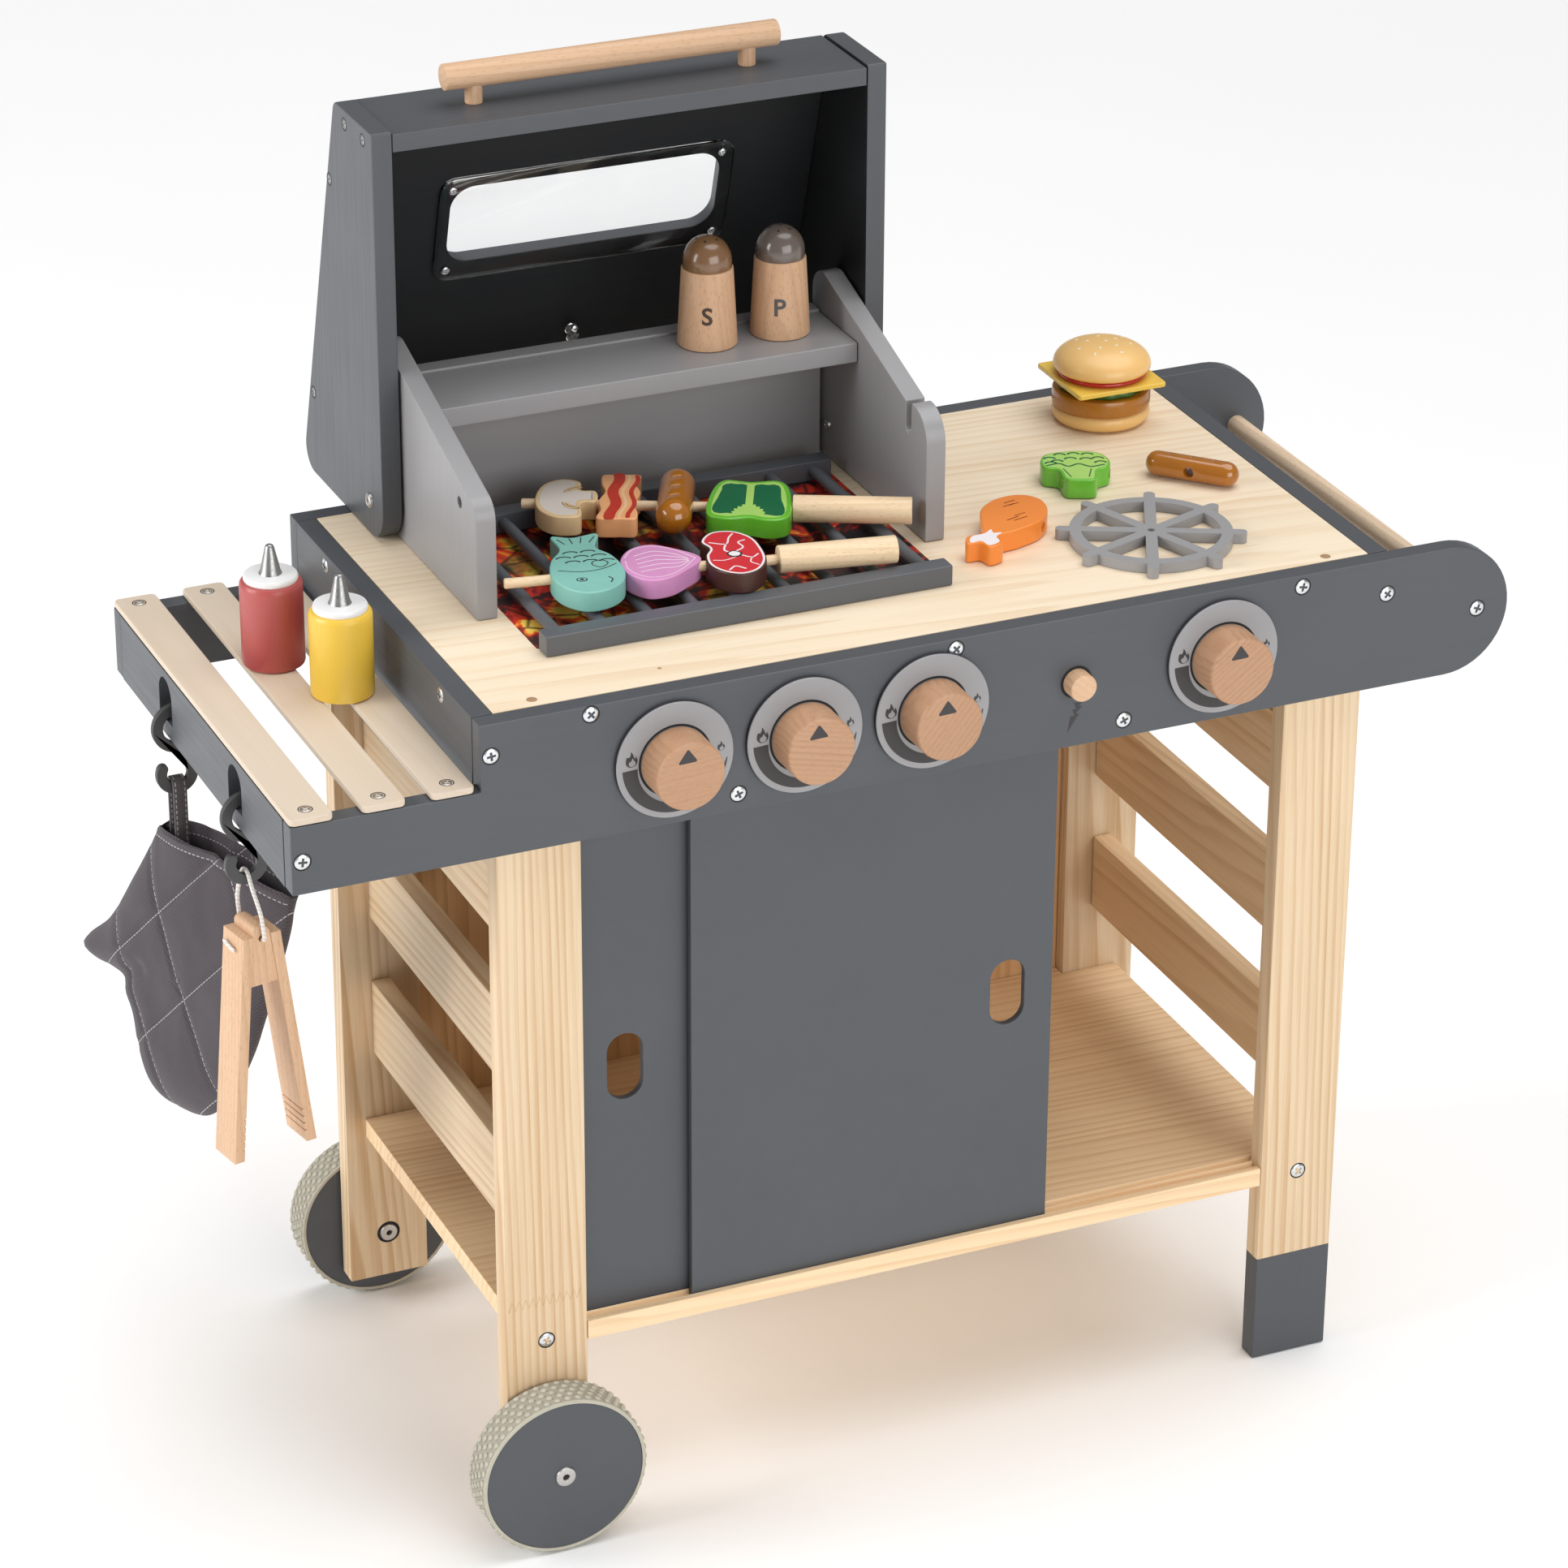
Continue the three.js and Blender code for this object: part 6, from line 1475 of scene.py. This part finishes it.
steak = lower.food("steak", (129, 5), (34, 59), [
    (-0.2, 0.5), (0.15, 0.5), (0.42, 0.33), (0.5, 0.05), (0.46, -0.24), (0.25, -0.44), (-0.02, -0.5),
    (-0.3, -0.42), (-0.48, -0.24), (-0.47, -0.02), (-0.36, 0.13), (-0.44, 0.3),
])
steak.solid(steak_brown)
steak.printed("rind", white_line, [steak.inset(0.9)])
steak.printed("meat", steak_red, [steak.inset(2.2)], 0.15)
steak.printed("veins", white_line, steak.lines(
    (1.0, (-0.30, 0.26), (-0.05, 0.2), (0.05, 0.34), (0.14, 0.42)), (1.1, (-0.05, 0.2), (-0.12, 0.06), (0.0, -0.02)),
    (1.0, (0.05, 0.02), (0.2, 0.1), (0.16, 0.22), (0.28, 0.26)), (1.0, (0.08, -0.06), (0.26, -0.14), (0.38, -0.08)),
    (0.7, (-0.38, -0.14), (-0.2, -0.16), (0.02, -0.1)), (0.8, (0.26, -0.14), (0.2, -0.24), (0.3, -0.32)),
    (1.1, (-0.2, -0.38), (-0.08, -0.31), (0.06, -0.38)),
), 0.2)
for suffix, look, proud, shares in (
    ("bone_edge", black_line, 0.24, [(-0.12, -0.02), (0.0, 0.04), (0.13, -0.02), (0.08, -0.1), (-0.06, -0.1)]),
    ("bone", white_line, 0.3, [(-0.09, -0.025), (0.0, 0.02), (0.1, -0.025), (0.06, -0.08), (-0.04, -0.08)]),
):
    steak.printed(suffix, look, [steak.blob(shares)], proud)

broccoli = Food("broccoli_floret", "broccoli", REST, (171.5, 164), -20, (40, 43), [
    (-0.5, 0.2), (-0.4, 0.4), (-0.15, 0.48), (0.12, 0.5), (0.38, 0.42), (0.5, 0.2), (0.47, -0.05),
    (0.3, -0.18), (0.22, -0.48), (0, -0.5), (-0.2, -0.46), (-0.28, -0.14), (-0.47, -0.05),
])
broccoli.solid(bright_green, "broccoli", (185.3, 161.8))
broccoli.printed("face", light_green, [broccoli.inset(1.6)])
FLORETS = [
    (-0.36, 0.22), (-0.2, 0.34), (0.0, 0.36), (0.2, 0.34), (0.34, 0.2), (-0.26, 0.12), (-0.06, 0.2), (0.16, 0.18),
    (-0.36, 0.06), (0.36, 0.06),
]
broccoli.printed("crown", deep_green, broccoli.bows(FLORETS, 3.2, 2.6, 1.5) + broccoli.lines(
    (1.4, (-0.42, 0.0), (-0.24, 0.06), (-0.12, -0.04), (0.04, 0.04), (0.2, -0.06), (0.4, 0.0)),
    (0.7, (-0.2, -0.12), (-0.12, -0.4)), (0.7, (0.2, -0.14), (0.14, -0.4)),
), 0.16)

drumstick = Food("drumstick_leg", "drumstick", REST, (99.5, 109.5), 43, (78, 37), [
    (-0.5, 0.2), (-0.44, 0.04), (-0.49, -0.16), (-0.38, -0.28), (-0.27, -0.14), (-0.12, -0.32), (0.1, -0.5),
    (0.32, -0.44), (0.47, -0.18), (0.48, 0.14), (0.34, 0.42), (0.12, 0.49), (-0.1, 0.3), (-0.28, 0.14), (-0.38, 0.3),
])
drumstick.solid(orange, "drumstick", (117.4, 107.5))
drumstick.printed("bone", white_line, [drumstick.blob([
    (-0.475, 0.16), (-0.42, 0.04), (-0.465, -0.13), (-0.375, -0.22), (-0.30, -0.11), (-0.22, -0.13), (-0.25, -0.02),
    (-0.2, 0.06), (-0.25, 0.08), (-0.29, 0.1), (-0.375, 0.23),
])])
marks_paint = gloss_paint("drumstick_marks_paint", None, tone(0.20, 0.03, 0.008), 0.4, 0.1)
drumstick.printed("marks", marks_paint, drumstick.lines(
    (0.6, (0.28, 0.24), (0.36, 0.14)), (0.5, (0.26, 0.14), (0.33, 0.05)), (0.6, (0.22, 0.2), (0.3, 0.1)),
    (0.6, (0.02, -0.14), (0.12, -0.26)), (0.6, (0.0, -0.04), (0.1, -0.14)), (0.5, (0.1, -0.08), (0.18, -0.18)),
), 0.14)

BANGER = 7.3
banger_between(
    (221.7, 158.3, REST + BANGER), (250.2, 127.9, REST + BANGER), BANGER, "loose_banger", "sausage", "sausage", True,
)


# Printed sheet of glowing coals under the grate
def ember_look():
    look = Look("ember_print", "black_paint", Roughness=0.5)
    warped = look.noise(look.coordinates, 26.0, 4.0, 0.6, 1.4)
    blaze = look.noise(look.mapped(look.coordinates, place=(0.3, 0.1, 0)), 34.0, 3.0, 0.55, 0.8)
    hue = look.noise(look.mapped(look.coordinates, place=(1.7, 0.4, 0)), 16.0, 2.0)
    heat = warped.between(0.40, 0.60) * 0.6 + blaze.between(0.44, 0.60) * 0.55
    glow = look.ramp(heat, [
        (0.0, tone(0.010, 0.006, 0.008)), (0.30, tone(0.045, 0.008, 0.006)), (0.52, tone(0.42, 0.012, 0.010)),
        (0.72, tone(0.78, 0.07, 0.012)), (0.88, tone(0.90, 0.30, 0.02)), (1.0, tone(0.92, 0.62, 0.10)),
    ])
    green = look.mix(heat, tone(0.012, 0.018, 0.01), tone(0.24, 0.33, 0.06))
    leafy = look.mix(hue.between(0.58, 0.66) * 0.6, glow, green)
    crack = look.node("TexVoronoi", {"feature": "DISTANCE_TO_EDGE"}, Vector=look.coordinates, Scale=52.0)
    look.feed("Base Color", look.mix((1.0 - crack.between(0.0, 0.10)) * 0.8, leafy, tone(0.012, 0.008, 0.008)))
    look.bump(warped, 0.1, 0.0002)
    return look


board("ember_sheet", ember_look(), "cart", box_corners(-196, 48.5, 77, 253, 2), "xy", 520.0, 520.28, edge=0)


# Wheels: painted discs and rubber tyres with rows of pimples
def rubber_look():
    look = Look("tyre_rubber", "rubber", Roughness=0.72)
    dust = look.noise(look.coordinates, 120.0, 4.0)
    fine = look.noise(look.coordinates, 1400.0, 2.0)
    hub = at(*on_axle(0))
    across, up = look.x - hub.x, look.z - hub.z
    reach = (across * across + up * up).root()
    ground = reach.between(0.0489, 0.0492) * (1.0 - reach.between(0.0494, 0.0499))
    worn = look.mix(dust, tone(0.58, 0.55, 0.45), tone(0.44, 0.41, 0.33))
    look.feed("Base Color", look.mix(ground * 0.4, worn, tone(0.20, 0.185, 0.15)))
    look.bump(fine, 0.25, 0.0002)
    return look


tyre_rubber = rubber_look()
TREAD = 49.2
PIMPLE_ROWS, PIMPLE_PITCH, PIMPLES_ROUND = 5, 4.35, 50


def wheel(name, front):
    middle, back = at(*on_axle(front)), on_axle(front + WHEEL_WIDE)
    disc = turned([(0, 22.7), (46.6, 22.7), (47.1, 22.2), (47.1, 0.8), (46.6, 0.3), (0, 0.3)], back, FRONT, 96)
    finish(disc, name + "_disc", dark_smooth, name, name)
    tyre = turned([
        (47.0, 0), (48.7, 0), (49.1, 0.5), (TREAD, 1.4), (TREAD, 21.6), (49.1, 22.5), (48.7, WHEEL_WIDE),
        (47.0, WHEEL_WIDE), (47.0, 0),
    ], back, FRONT, 96)
    bpy.ops.mesh.primitive_uv_sphere_add(segments=8, ring_count=6, radius=MM)
    dome = bpy.context.object
    pimples = []
    for row in range(PIMPLE_ROWS):
        turn = math.radians(180 / PIMPLES_ROUND) * (row % 2)
        centre = middle + Vector((math.cos(turn) * TREAD, 0, math.sin(turn) * TREAD)) * MM
        centre.y += (WHEEL_WIDE / 2 + (row - (PIMPLE_ROWS - 1) / 2) * PIMPLE_PITCH) * MM
        size = Matrix.Diagonal((1.25, 1.9, 2.0, 1))
        pimples.append(copy_of(dome, Matrix.Translation(centre) @ Matrix.Rotation(-turn, 4, "Y") @ size))
    discard(dome)
    column = joined(*pimples)
    edit(column, lambda: bpy.ops.mesh.spin(
        steps=PIMPLES_ROUND, dupli=True, angle=2 * math.pi, center=middle, axis=BACK,
    ), select_mesh, weld)
    node = name.replace("wheel", "tyre")
    finish(joined(tyre, column), node + "_rubber", tyre_rubber, name, node, 50)


wheel("front_wheel", FRONT_WHEEL)
wheel("back_wheel", BACK_WHEEL)

# Oven mitt: two quilted walls, open at the cuff, in the mitt's own turned frame
MITT_TURN = math.radians(-71)
MITT_SIDE = [
    (-0.1, 0.5), (-0.22, 0.287), (-0.36, 0.065), (-0.465, -0.039), (-0.495, -0.087), (-0.45, -0.115),
    (-0.305, -0.124), (-0.288, -0.174), (-0.26, -0.236), (-0.245, -0.348), (-0.202, -0.449), (-0.14, -0.497),
    (-0.04, -0.5), (0.06, -0.478), (0.16, -0.371), (0.27, -0.174), (0.365, 0.079), (0.462, 0.351), (0.5, 0.5),
]
MITT_WIDE, MITT_TALL, MITT_MIDDLE = 200.0, 178.0, Vector((3.0, 289.0))
CUFF_LEFT, CUFF_RIGHT, CUFF_TOP, CUFF_LIFT = -17.0, 103.0, 378.0, 5.0
QUILT_RISING, QUILT_FALLING = (0.97, (338.0, 270.4, 193.0)), (-2.4, (174.0, 308.0, 512.0))
MITT_ROUND, MITT_CUFF_STEPS, MITT_RINGS = 150, 46, 42
MITT_EDGE, MITT_SWELL, CLOTH_THICK = 30.0, 12.0, 2.4


MITT_DARK, MITT_PALE = tone(0.040, 0.034, 0.040), tone(0.092, 0.078, 0.088)
STITCH_PITCH, HEM_DOWN = 0.0034, 4.2


def mitt_place(u, t, z):
    cosine, sine = math.cos(MITT_TURN), math.sin(MITT_TURN)
    return at(HOOK_CUP_X + u * cosine - t * sine, HOOK_ROWS[0] + u * sine + t * cosine, z)


def evenly(path, steps):
    """Points at even spacing along a path."""
    spans = [(b - a).length for a, b in zip(path, path[1:])]
    total, result, index, passed = sum(spans), [], 0, 0.0
    for step in range(steps + 1):
        goal = total * step / steps
        while index < len(spans) - 1 and passed + spans[index] < goal:
            passed += spans[index]
            index += 1
        result.append(path[index].lerp(path[index + 1], min(1.0, (goal - passed) / spans[index])))
    return result


def distance(point, a, b):
    along = b - a
    share = held((point - a).dot(along) / along.length_squared)
    return (a + along * share - point).length


def quilting(u, z):
    """How near a point is to the closest stitched line."""
    nearest = 99.0
    for slope, levels in (QUILT_RISING, QUILT_FALLING):
        for level in levels:
            nearest = min(nearest, abs(z - slope * u - level) / math.hypot(1, slope))
    return nearest


def held(value):
    return max(0.0, min(1.0, value))


def ease(value, low, high):
    share = held((value - low) / (high - low))
    return share * share * (3 - 2 * share)


def evened(grid):
    """A grid of rings with each value drawn toward its four neighbours."""
    count = len(grid[0])
    inner = [[
        (row[i] * 2 + before[i] + after[i] + row[i - 1] + row[(i + 1) % count]) / 6 for i in range(count)
    ] for before, row, after in zip(grid, grid[1:], grid[2:])]
    return [[grid[0][0]] * count] + inner + [grid[-1]]


def mitt_shell():
    """Rings from the near wall's middle over the edge to the far wall's middle."""
    side = evenly(smooth_loop(
        [Vector((u * MITT_WIDE, v * MITT_TALL)) + MITT_MIDDLE for u, v in MITT_SIDE], 12, closed=False,
    ), MITT_ROUND)
    cuff = evenly([side[-1], side[0]], MITT_CUFF_STEPS)[1:-1]
    rim = side + cuff
    count = len(rim)
    shares = [math.sin(math.pi / 2 * ring / MITT_RINGS) ** 0.9 for ring in range(MITT_RINGS + 1)]
    flat = [[MITT_MIDDLE.lerp(point, share) for point in rim] for share in shares]
    seams = list(zip(side, side[1:]))[::2] + [(side[-2], side[-1])]
    swell = []
    for row in flat:
        line = []
        for point in row:
            gap = min(distance(point, a, b) for a, b in seams)
            line.append(math.sqrt(max(0.0, 1 - (1 - min(gap / MITT_EDGE, 1.0)) ** 2)))
        swell.append(line)
    for _ in range(5):
        swell = evened(swell)
    deselect()
    rows = 2 * (MITT_RINGS + 1)
    bpy.ops.mesh.primitive_grid_add(x_subdivisions=count, y_subdivisions=rows - 1, size=MM)
    piece = bpy.context.object
    spot = piece.data.vertices
    across = count + 1
    crease = (Vector((-58, 266)), Vector((-30, 286)))
    weights = []
    for row in range(rows):
        near = row <= MITT_RINGS
        ring = row if near else rows - 1 - row
        for column in range(across):
            point, puff = flat[ring][column % count], swell[ring][column % count]
            u, z = point
            thick = MITT_SWELL * (1 - (0.28 if near else 0.0) * ease(z, 325, CUFF_TOP))
            groove = math.exp(-(quilting(u, z) / 2.4) ** 2)
            plump = 1 - math.exp(-(quilting(u, z) / 15.0) ** 2)
            hem = math.exp(-((CUFF_TOP - HEM_DOWN - z) / 1.4) ** 2)
            fold = math.exp(-(distance(point, *crease) / 5.0) ** 2) if near else 0.0
            wave = noise.noise(Vector((u / 34, z / 46, 3.1 if near else 7.7))) * 1.7
            wave += noise.noise(Vector((u / 13, z / 17, 1.3 if near else 5.9))) * 0.5
            reach = puff * (thick - 1.4 * groove + 0.9 * plump - 0.5 * hem - 3.2 * fold + wave * 0.8)
            bow = math.sin(math.pi * held((u - CUFF_LEFT) / (CUFF_RIGHT - CUFF_LEFT)))
            lift = CUFF_LIFT * bow * ease(z, 345, CUFF_TOP)
            if not near:
                lift += 1.2 * puff * ease(z, 366, CUFF_TOP)
            spot[row * across + column].co = mitt_place(u, -reach if near else reach, z + lift)
            weights.append(max(0.04, min(1.0, puff * thick / 4.5)))
    piece.data.update()
    return piece, weights, rows, across


def oven_mitt():
    piece, weights, rows, across = mitt_shell()
    group = piece.vertex_groups.new(name="cloth_share")
    for index, weight in enumerate(weights):
        group.add([index], weight, "REPLACE")
    bridge = {row * across + column for row in (MITT_RINGS, MITT_RINGS + 1) for column in range(across)}
    edit(piece, lambda: bpy.ops.mesh.select_all(action="DESELECT"), lambda: bpy.ops.mesh.select_mode(type="FACE"))
    for face in piece.data.polygons:
        face.select = all(index in bridge for index in face.vertices)
    bpy.ops.object.mode_set(mode="EDIT")
    bpy.ops.mesh.delete(type="FACE")
    bpy.ops.mesh.select_mode(type="VERT")
    select_mesh()
    bpy.ops.mesh.remove_doubles(threshold=2e-5)
    bpy.ops.mesh.normals_make_consistent(inside=False)
    bpy.ops.object.mode_set(mode="OBJECT")
    toward = mitt_place(0, -1, 0) - mitt_place(0, 0, 0)
    near = min(piece.data.polygons, key=lambda face: (face.center - mitt_place(20, -12, 300)).length)
    if near.normal.dot(toward) < 0:
        edit(piece, lambda: bpy.ops.mesh.flip_normals())
    modified(
        piece, "SOLIDIFY", thickness=CLOTH_THICK * MM, offset=-1.0, use_rim=True, vertex_group="cloth_share",
        thickness_vertex_group=0.0,
    )
    piece.vertex_groups.clear()
    return piece


def mitt_look():
    look = Look("mitt_cloth", "cloth", Roughness=0.92, Sheen_Weight=0.2, Sheen_Roughness=0.5, Specular_IOR_Level=0.2)
    cosine, sine = math.cos(MITT_TURN), math.sin(MITT_TURN)
    home = at(HOOK_CUP_X, HOOK_ROWS[0], 0)
    start = (-(home.x * cosine + home.y * sine), -(home.y * cosine - home.x * sine), 0)
    u, _, z = look.split(look.mapped(look.coordinates, turn=(0, 0, -MITT_TURN), place=start))
    threads = None
    for slope, levels in (QUILT_RISING, QUILT_FALLING):
        length = math.hypot(1, slope)
        dash = ((u + z * slope) * (1 / length / STITCH_PITCH)).fract() < 0.74
        for level in levels:
            line = (abs(z - u * slope - level * MM) < 0.00026 * length) * dash
            threads = line if threads is None else threads.most(line)
    bow = ((u - CUFF_LEFT * MM) * (math.pi / (CUFF_RIGHT - CUFF_LEFT) / MM)).sine() * (CUFF_LIFT * MM)
    hem = (abs(z - bow - (CUFF_TOP - HEM_DOWN) * MM) < 0.00034) * ((u * (1 / STITCH_PITCH)).fract() < 0.6)
    rib = ((u + z) * 2100.0).sine() * 0.5 + 0.5
    weave = ((u - z) * 2700.0).sine() * 0.5 + 0.5
    worn = look.noise(look.coordinates, 26.0, 4.0)
    fuzz = look.noise(look.coordinates, 1500.0, 2.0)
    cloth = look.mix(rib * 0.45 + weave * 0.25 + fuzz * 0.25 + worn * 0.2, MITT_DARK, MITT_PALE)
    look.feed("Base Color", look.mix(threads.most(hem), cloth, tone(0.44, 0.42, 0.43)))
    look.bump(rib * 0.5 + weave * 0.35 + fuzz * 0.5 + threads.most(hem) * 1.2, 0.45, 0.00035)
    return look


mitt = finish(oven_mitt(), "oven_mitt_quilted", mitt_look(), "oven_mitt", "oven_mitt", 60)


def tape_look():
    look = Look("mitt_tape", "cloth", Roughness=0.9, Sheen_Weight=0.2)
    cross = (look.z * 5200.0).sine() * 0.5 + 0.5
    fuzz = look.noise(look.coordinates, 1300.0, 2.0)
    home = at(HOOK_CUP_X, 0, 0).x
    seam = (abs(abs(look.x - home) - 0.0027) < 0.00032) * ((look.z * (1 / STITCH_PITCH)).fract() < 0.6)
    cloth = look.mix(cross * 0.5 + fuzz * 0.5, tone(0.05, 0.042, 0.045), tone(0.10, 0.085, 0.09))
    look.feed("Base Color", look.mix(seam, cloth, tone(0.36, 0.34, 0.33)))
    look.bump(cross + fuzz, 0.4, 0.0003)
    return look


def arch(half, foot, top, bend, deep):
    """An upright block over the first hook's row, rounded at the top."""
    left, right = HOOK_ROWS[0] - half, HOOK_ROWS[0] + half
    corners = arc_points([(left, foot), (right, foot), (right, top, bend), (left, top, bend)])
    return plate(corners, "yz", HOOK_CUP_X - deep, HOOK_CUP_X + deep)


def mitt_tape():
    half, thick, foot, top, bend = 3.6, 2.0, 352.0, 413.2, 2.6
    loop = cut(arch(half + thick, foot, top + thick, bend + thick, 4), arch(half, foot - 1, top, bend, 9))
    finish(softened(loop, 0.5, 2, 40), "oven_mitt_tape", tape_look(), "oven_mitt", smooth=50)


mitt_tape()


# Tongs: two bent strips glued to a block, with saw cuts at the tips
TONGS_SHOULDER, TONGS_CROWN, TONGS_FORK, TONGS_SOLE, TONGS_STRIP = 377.0, 382.5, 346.7, 241.0, 6.2
TONGS_HALF, TONGS_BLOCK_HALF = 11.0, 10.0
TONGS_NOTCH, TONGS_NOTCH_PITCH = 1.3, 4.6
TONGS_BEND = TONGS_FORK + 4  # a row of points is cut across the strips here


def strip_edge(side, z):
    share = (TONGS_SHOULDER - z) / (TONGS_SHOULDER - TONGS_SOLE)
    return -9.5 - 11.4 * share if side == "left" else 13.6 + 17.4 * share


def turned_tongs(piece):
    """Carries a shape drawn at the tongs' own zero to where they hang."""
    for vertex in piece.data.vertices:
        vertex.co = tongs_place(*(vertex.co / MM - SHIFT))
    piece.data.update()
    return piece


def tongs_strip(side, cuts):
    flip = 1 if side == "left" else -1
    top, foot = strip_edge(side, TONGS_SHOULDER), strip_edge(side, TONGS_SOLE)
    strip = plate([
        (top, TONGS_SHOULDER), (foot, TONGS_SOLE), (foot + flip * TONGS_STRIP, TONGS_SOLE),
        (top + flip * TONGS_STRIP, TONGS_SHOULDER),
    ], "xz", -TONGS_HALF, TONGS_HALF)
    edit(strip, lambda: bpy.ops.mesh.bisect(plane_co=at(0, 0, TONGS_BEND), plane_no=UP))
    notches = []
    for index in range(cuts):
        z = TONGS_SOLE + 7.5 + index * TONGS_NOTCH_PITCH
        inner = strip_edge(side, z) + flip * TONGS_STRIP
        deep, out = inner - flip * TONGS_NOTCH, inner + flip * 2
        notches.append(plate([
            (deep, z - 0.25), (out, z - 0.9), (out, z + 0.9), (deep, z + 0.25),
        ], "xz", -TONGS_HALF - 2, TONGS_HALF + 2))
    cut(strip, *notches)
    return turned_tongs(softened(strip, 0.5, 2, 50))


left_top = strip_edge("left", TONGS_SHOULDER) + TONGS_STRIP
right_top = strip_edge("right", TONGS_SHOULDER) - TONGS_STRIP
block = plate(arc_points([
    (strip_edge("left", TONGS_FORK) + TONGS_STRIP, TONGS_FORK),
    (strip_edge("right", TONGS_FORK) - TONGS_STRIP, TONGS_FORK), (right_top, TONGS_SHOULDER),
    (right_top, TONGS_CROWN, 6), (left_top, TONGS_CROWN, 3), (left_top, TONGS_SHOULDER),
]), "xz", -TONGS_BLOCK_HALF, TONGS_BLOCK_HALF)
cut(block, rod((2.2, -20, 374.7), (2.2, 20, 374.7), 1.9, 24))
turned_tongs(softened(block, 0.5, 2, 50))
finish(block, "tongs_block", beech_z, "tongs", smooth=40)
finish(tongs_strip("left", 5), "tongs_left_strip", beech_z, "tongs", "tongs_left_arm", 40)
right_strip = finish(tongs_strip("right", 4), "tongs_right_strip", beech_z, None, "tongs_right_arm", 40)
bend_x = strip_edge("right", TONGS_FORK) - TONGS_STRIP / 2
tuple(tongs_place(bend_x, 0, TONGS_FORK + 2))
tuple(tongs_place(bend_x + 1, 0, TONGS_FORK - 10))
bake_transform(right_strip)


# Floor, soft studio light and a pale room
LIGHT_AIM = Vector((0.0, -0.02, 0.42))


def add_floor():
    deselect()
    bpy.ops.mesh.primitive_plane_add(size=40, location=(0, 0, -0.0002))
    floor = bpy.context.object
    floor.name = "floor"
    look = Look("floor_white", None, Roughness=0.9, Specular_IOR_Level=0.15)
    clouds = look.noise(look.coordinates, 3.0)
    look.feed("Base Color", look.mix(clouds, tone(0.96, 0.96, 0.96), tone(0.94, 0.94, 0.94)))
    floor.data.materials.append(look.material)
    deselect()


def add_lamp(name, kind, power, toward):
    data = bpy.data.lights.new(name, kind)
    data.energy = power
    lamp = bpy.data.objects.new(name, data)
    lamp.rotation_euler = toward.to_track_quat("-Z", "Y").to_euler()
    bpy.context.scene.collection.objects.link(lamp)
    return lamp


def add_light(name, place, size, power):
    lamp = add_lamp(name, "AREA", power, LIGHT_AIM - Vector(place))
    lamp.data.shape = "RECTANGLE"
    lamp.data.size, lamp.data.size_y = size
    lamp.location = place


def add_sun(name, origin, strength, spread):
    add_lamp(name, "SUN", strength, -Vector(origin)).data.angle = math.radians(spread)


add_floor()
add_sun("high_soft", (0.24, 0.0, 0.97), 2.05, 60)
add_light("left_soft", (-3.0, 0.3, 1.5), (1.8, 1.6), 66)
add_light("front_soft", (0.5, -2.9, 1.3), (2.4, 1.6), 42)

room = bpy.data.worlds.new("room")
room.use_nodes = True
room.node_tree.nodes["Background"].inputs["Color"].default_value = (1.0, 1.0, 1.0, 1.0)
room.node_tree.nodes["Background"].inputs["Strength"].default_value = 0.24
bpy.context.scene.world = room
bpy.context.scene.view_settings.view_transform = "Standard"
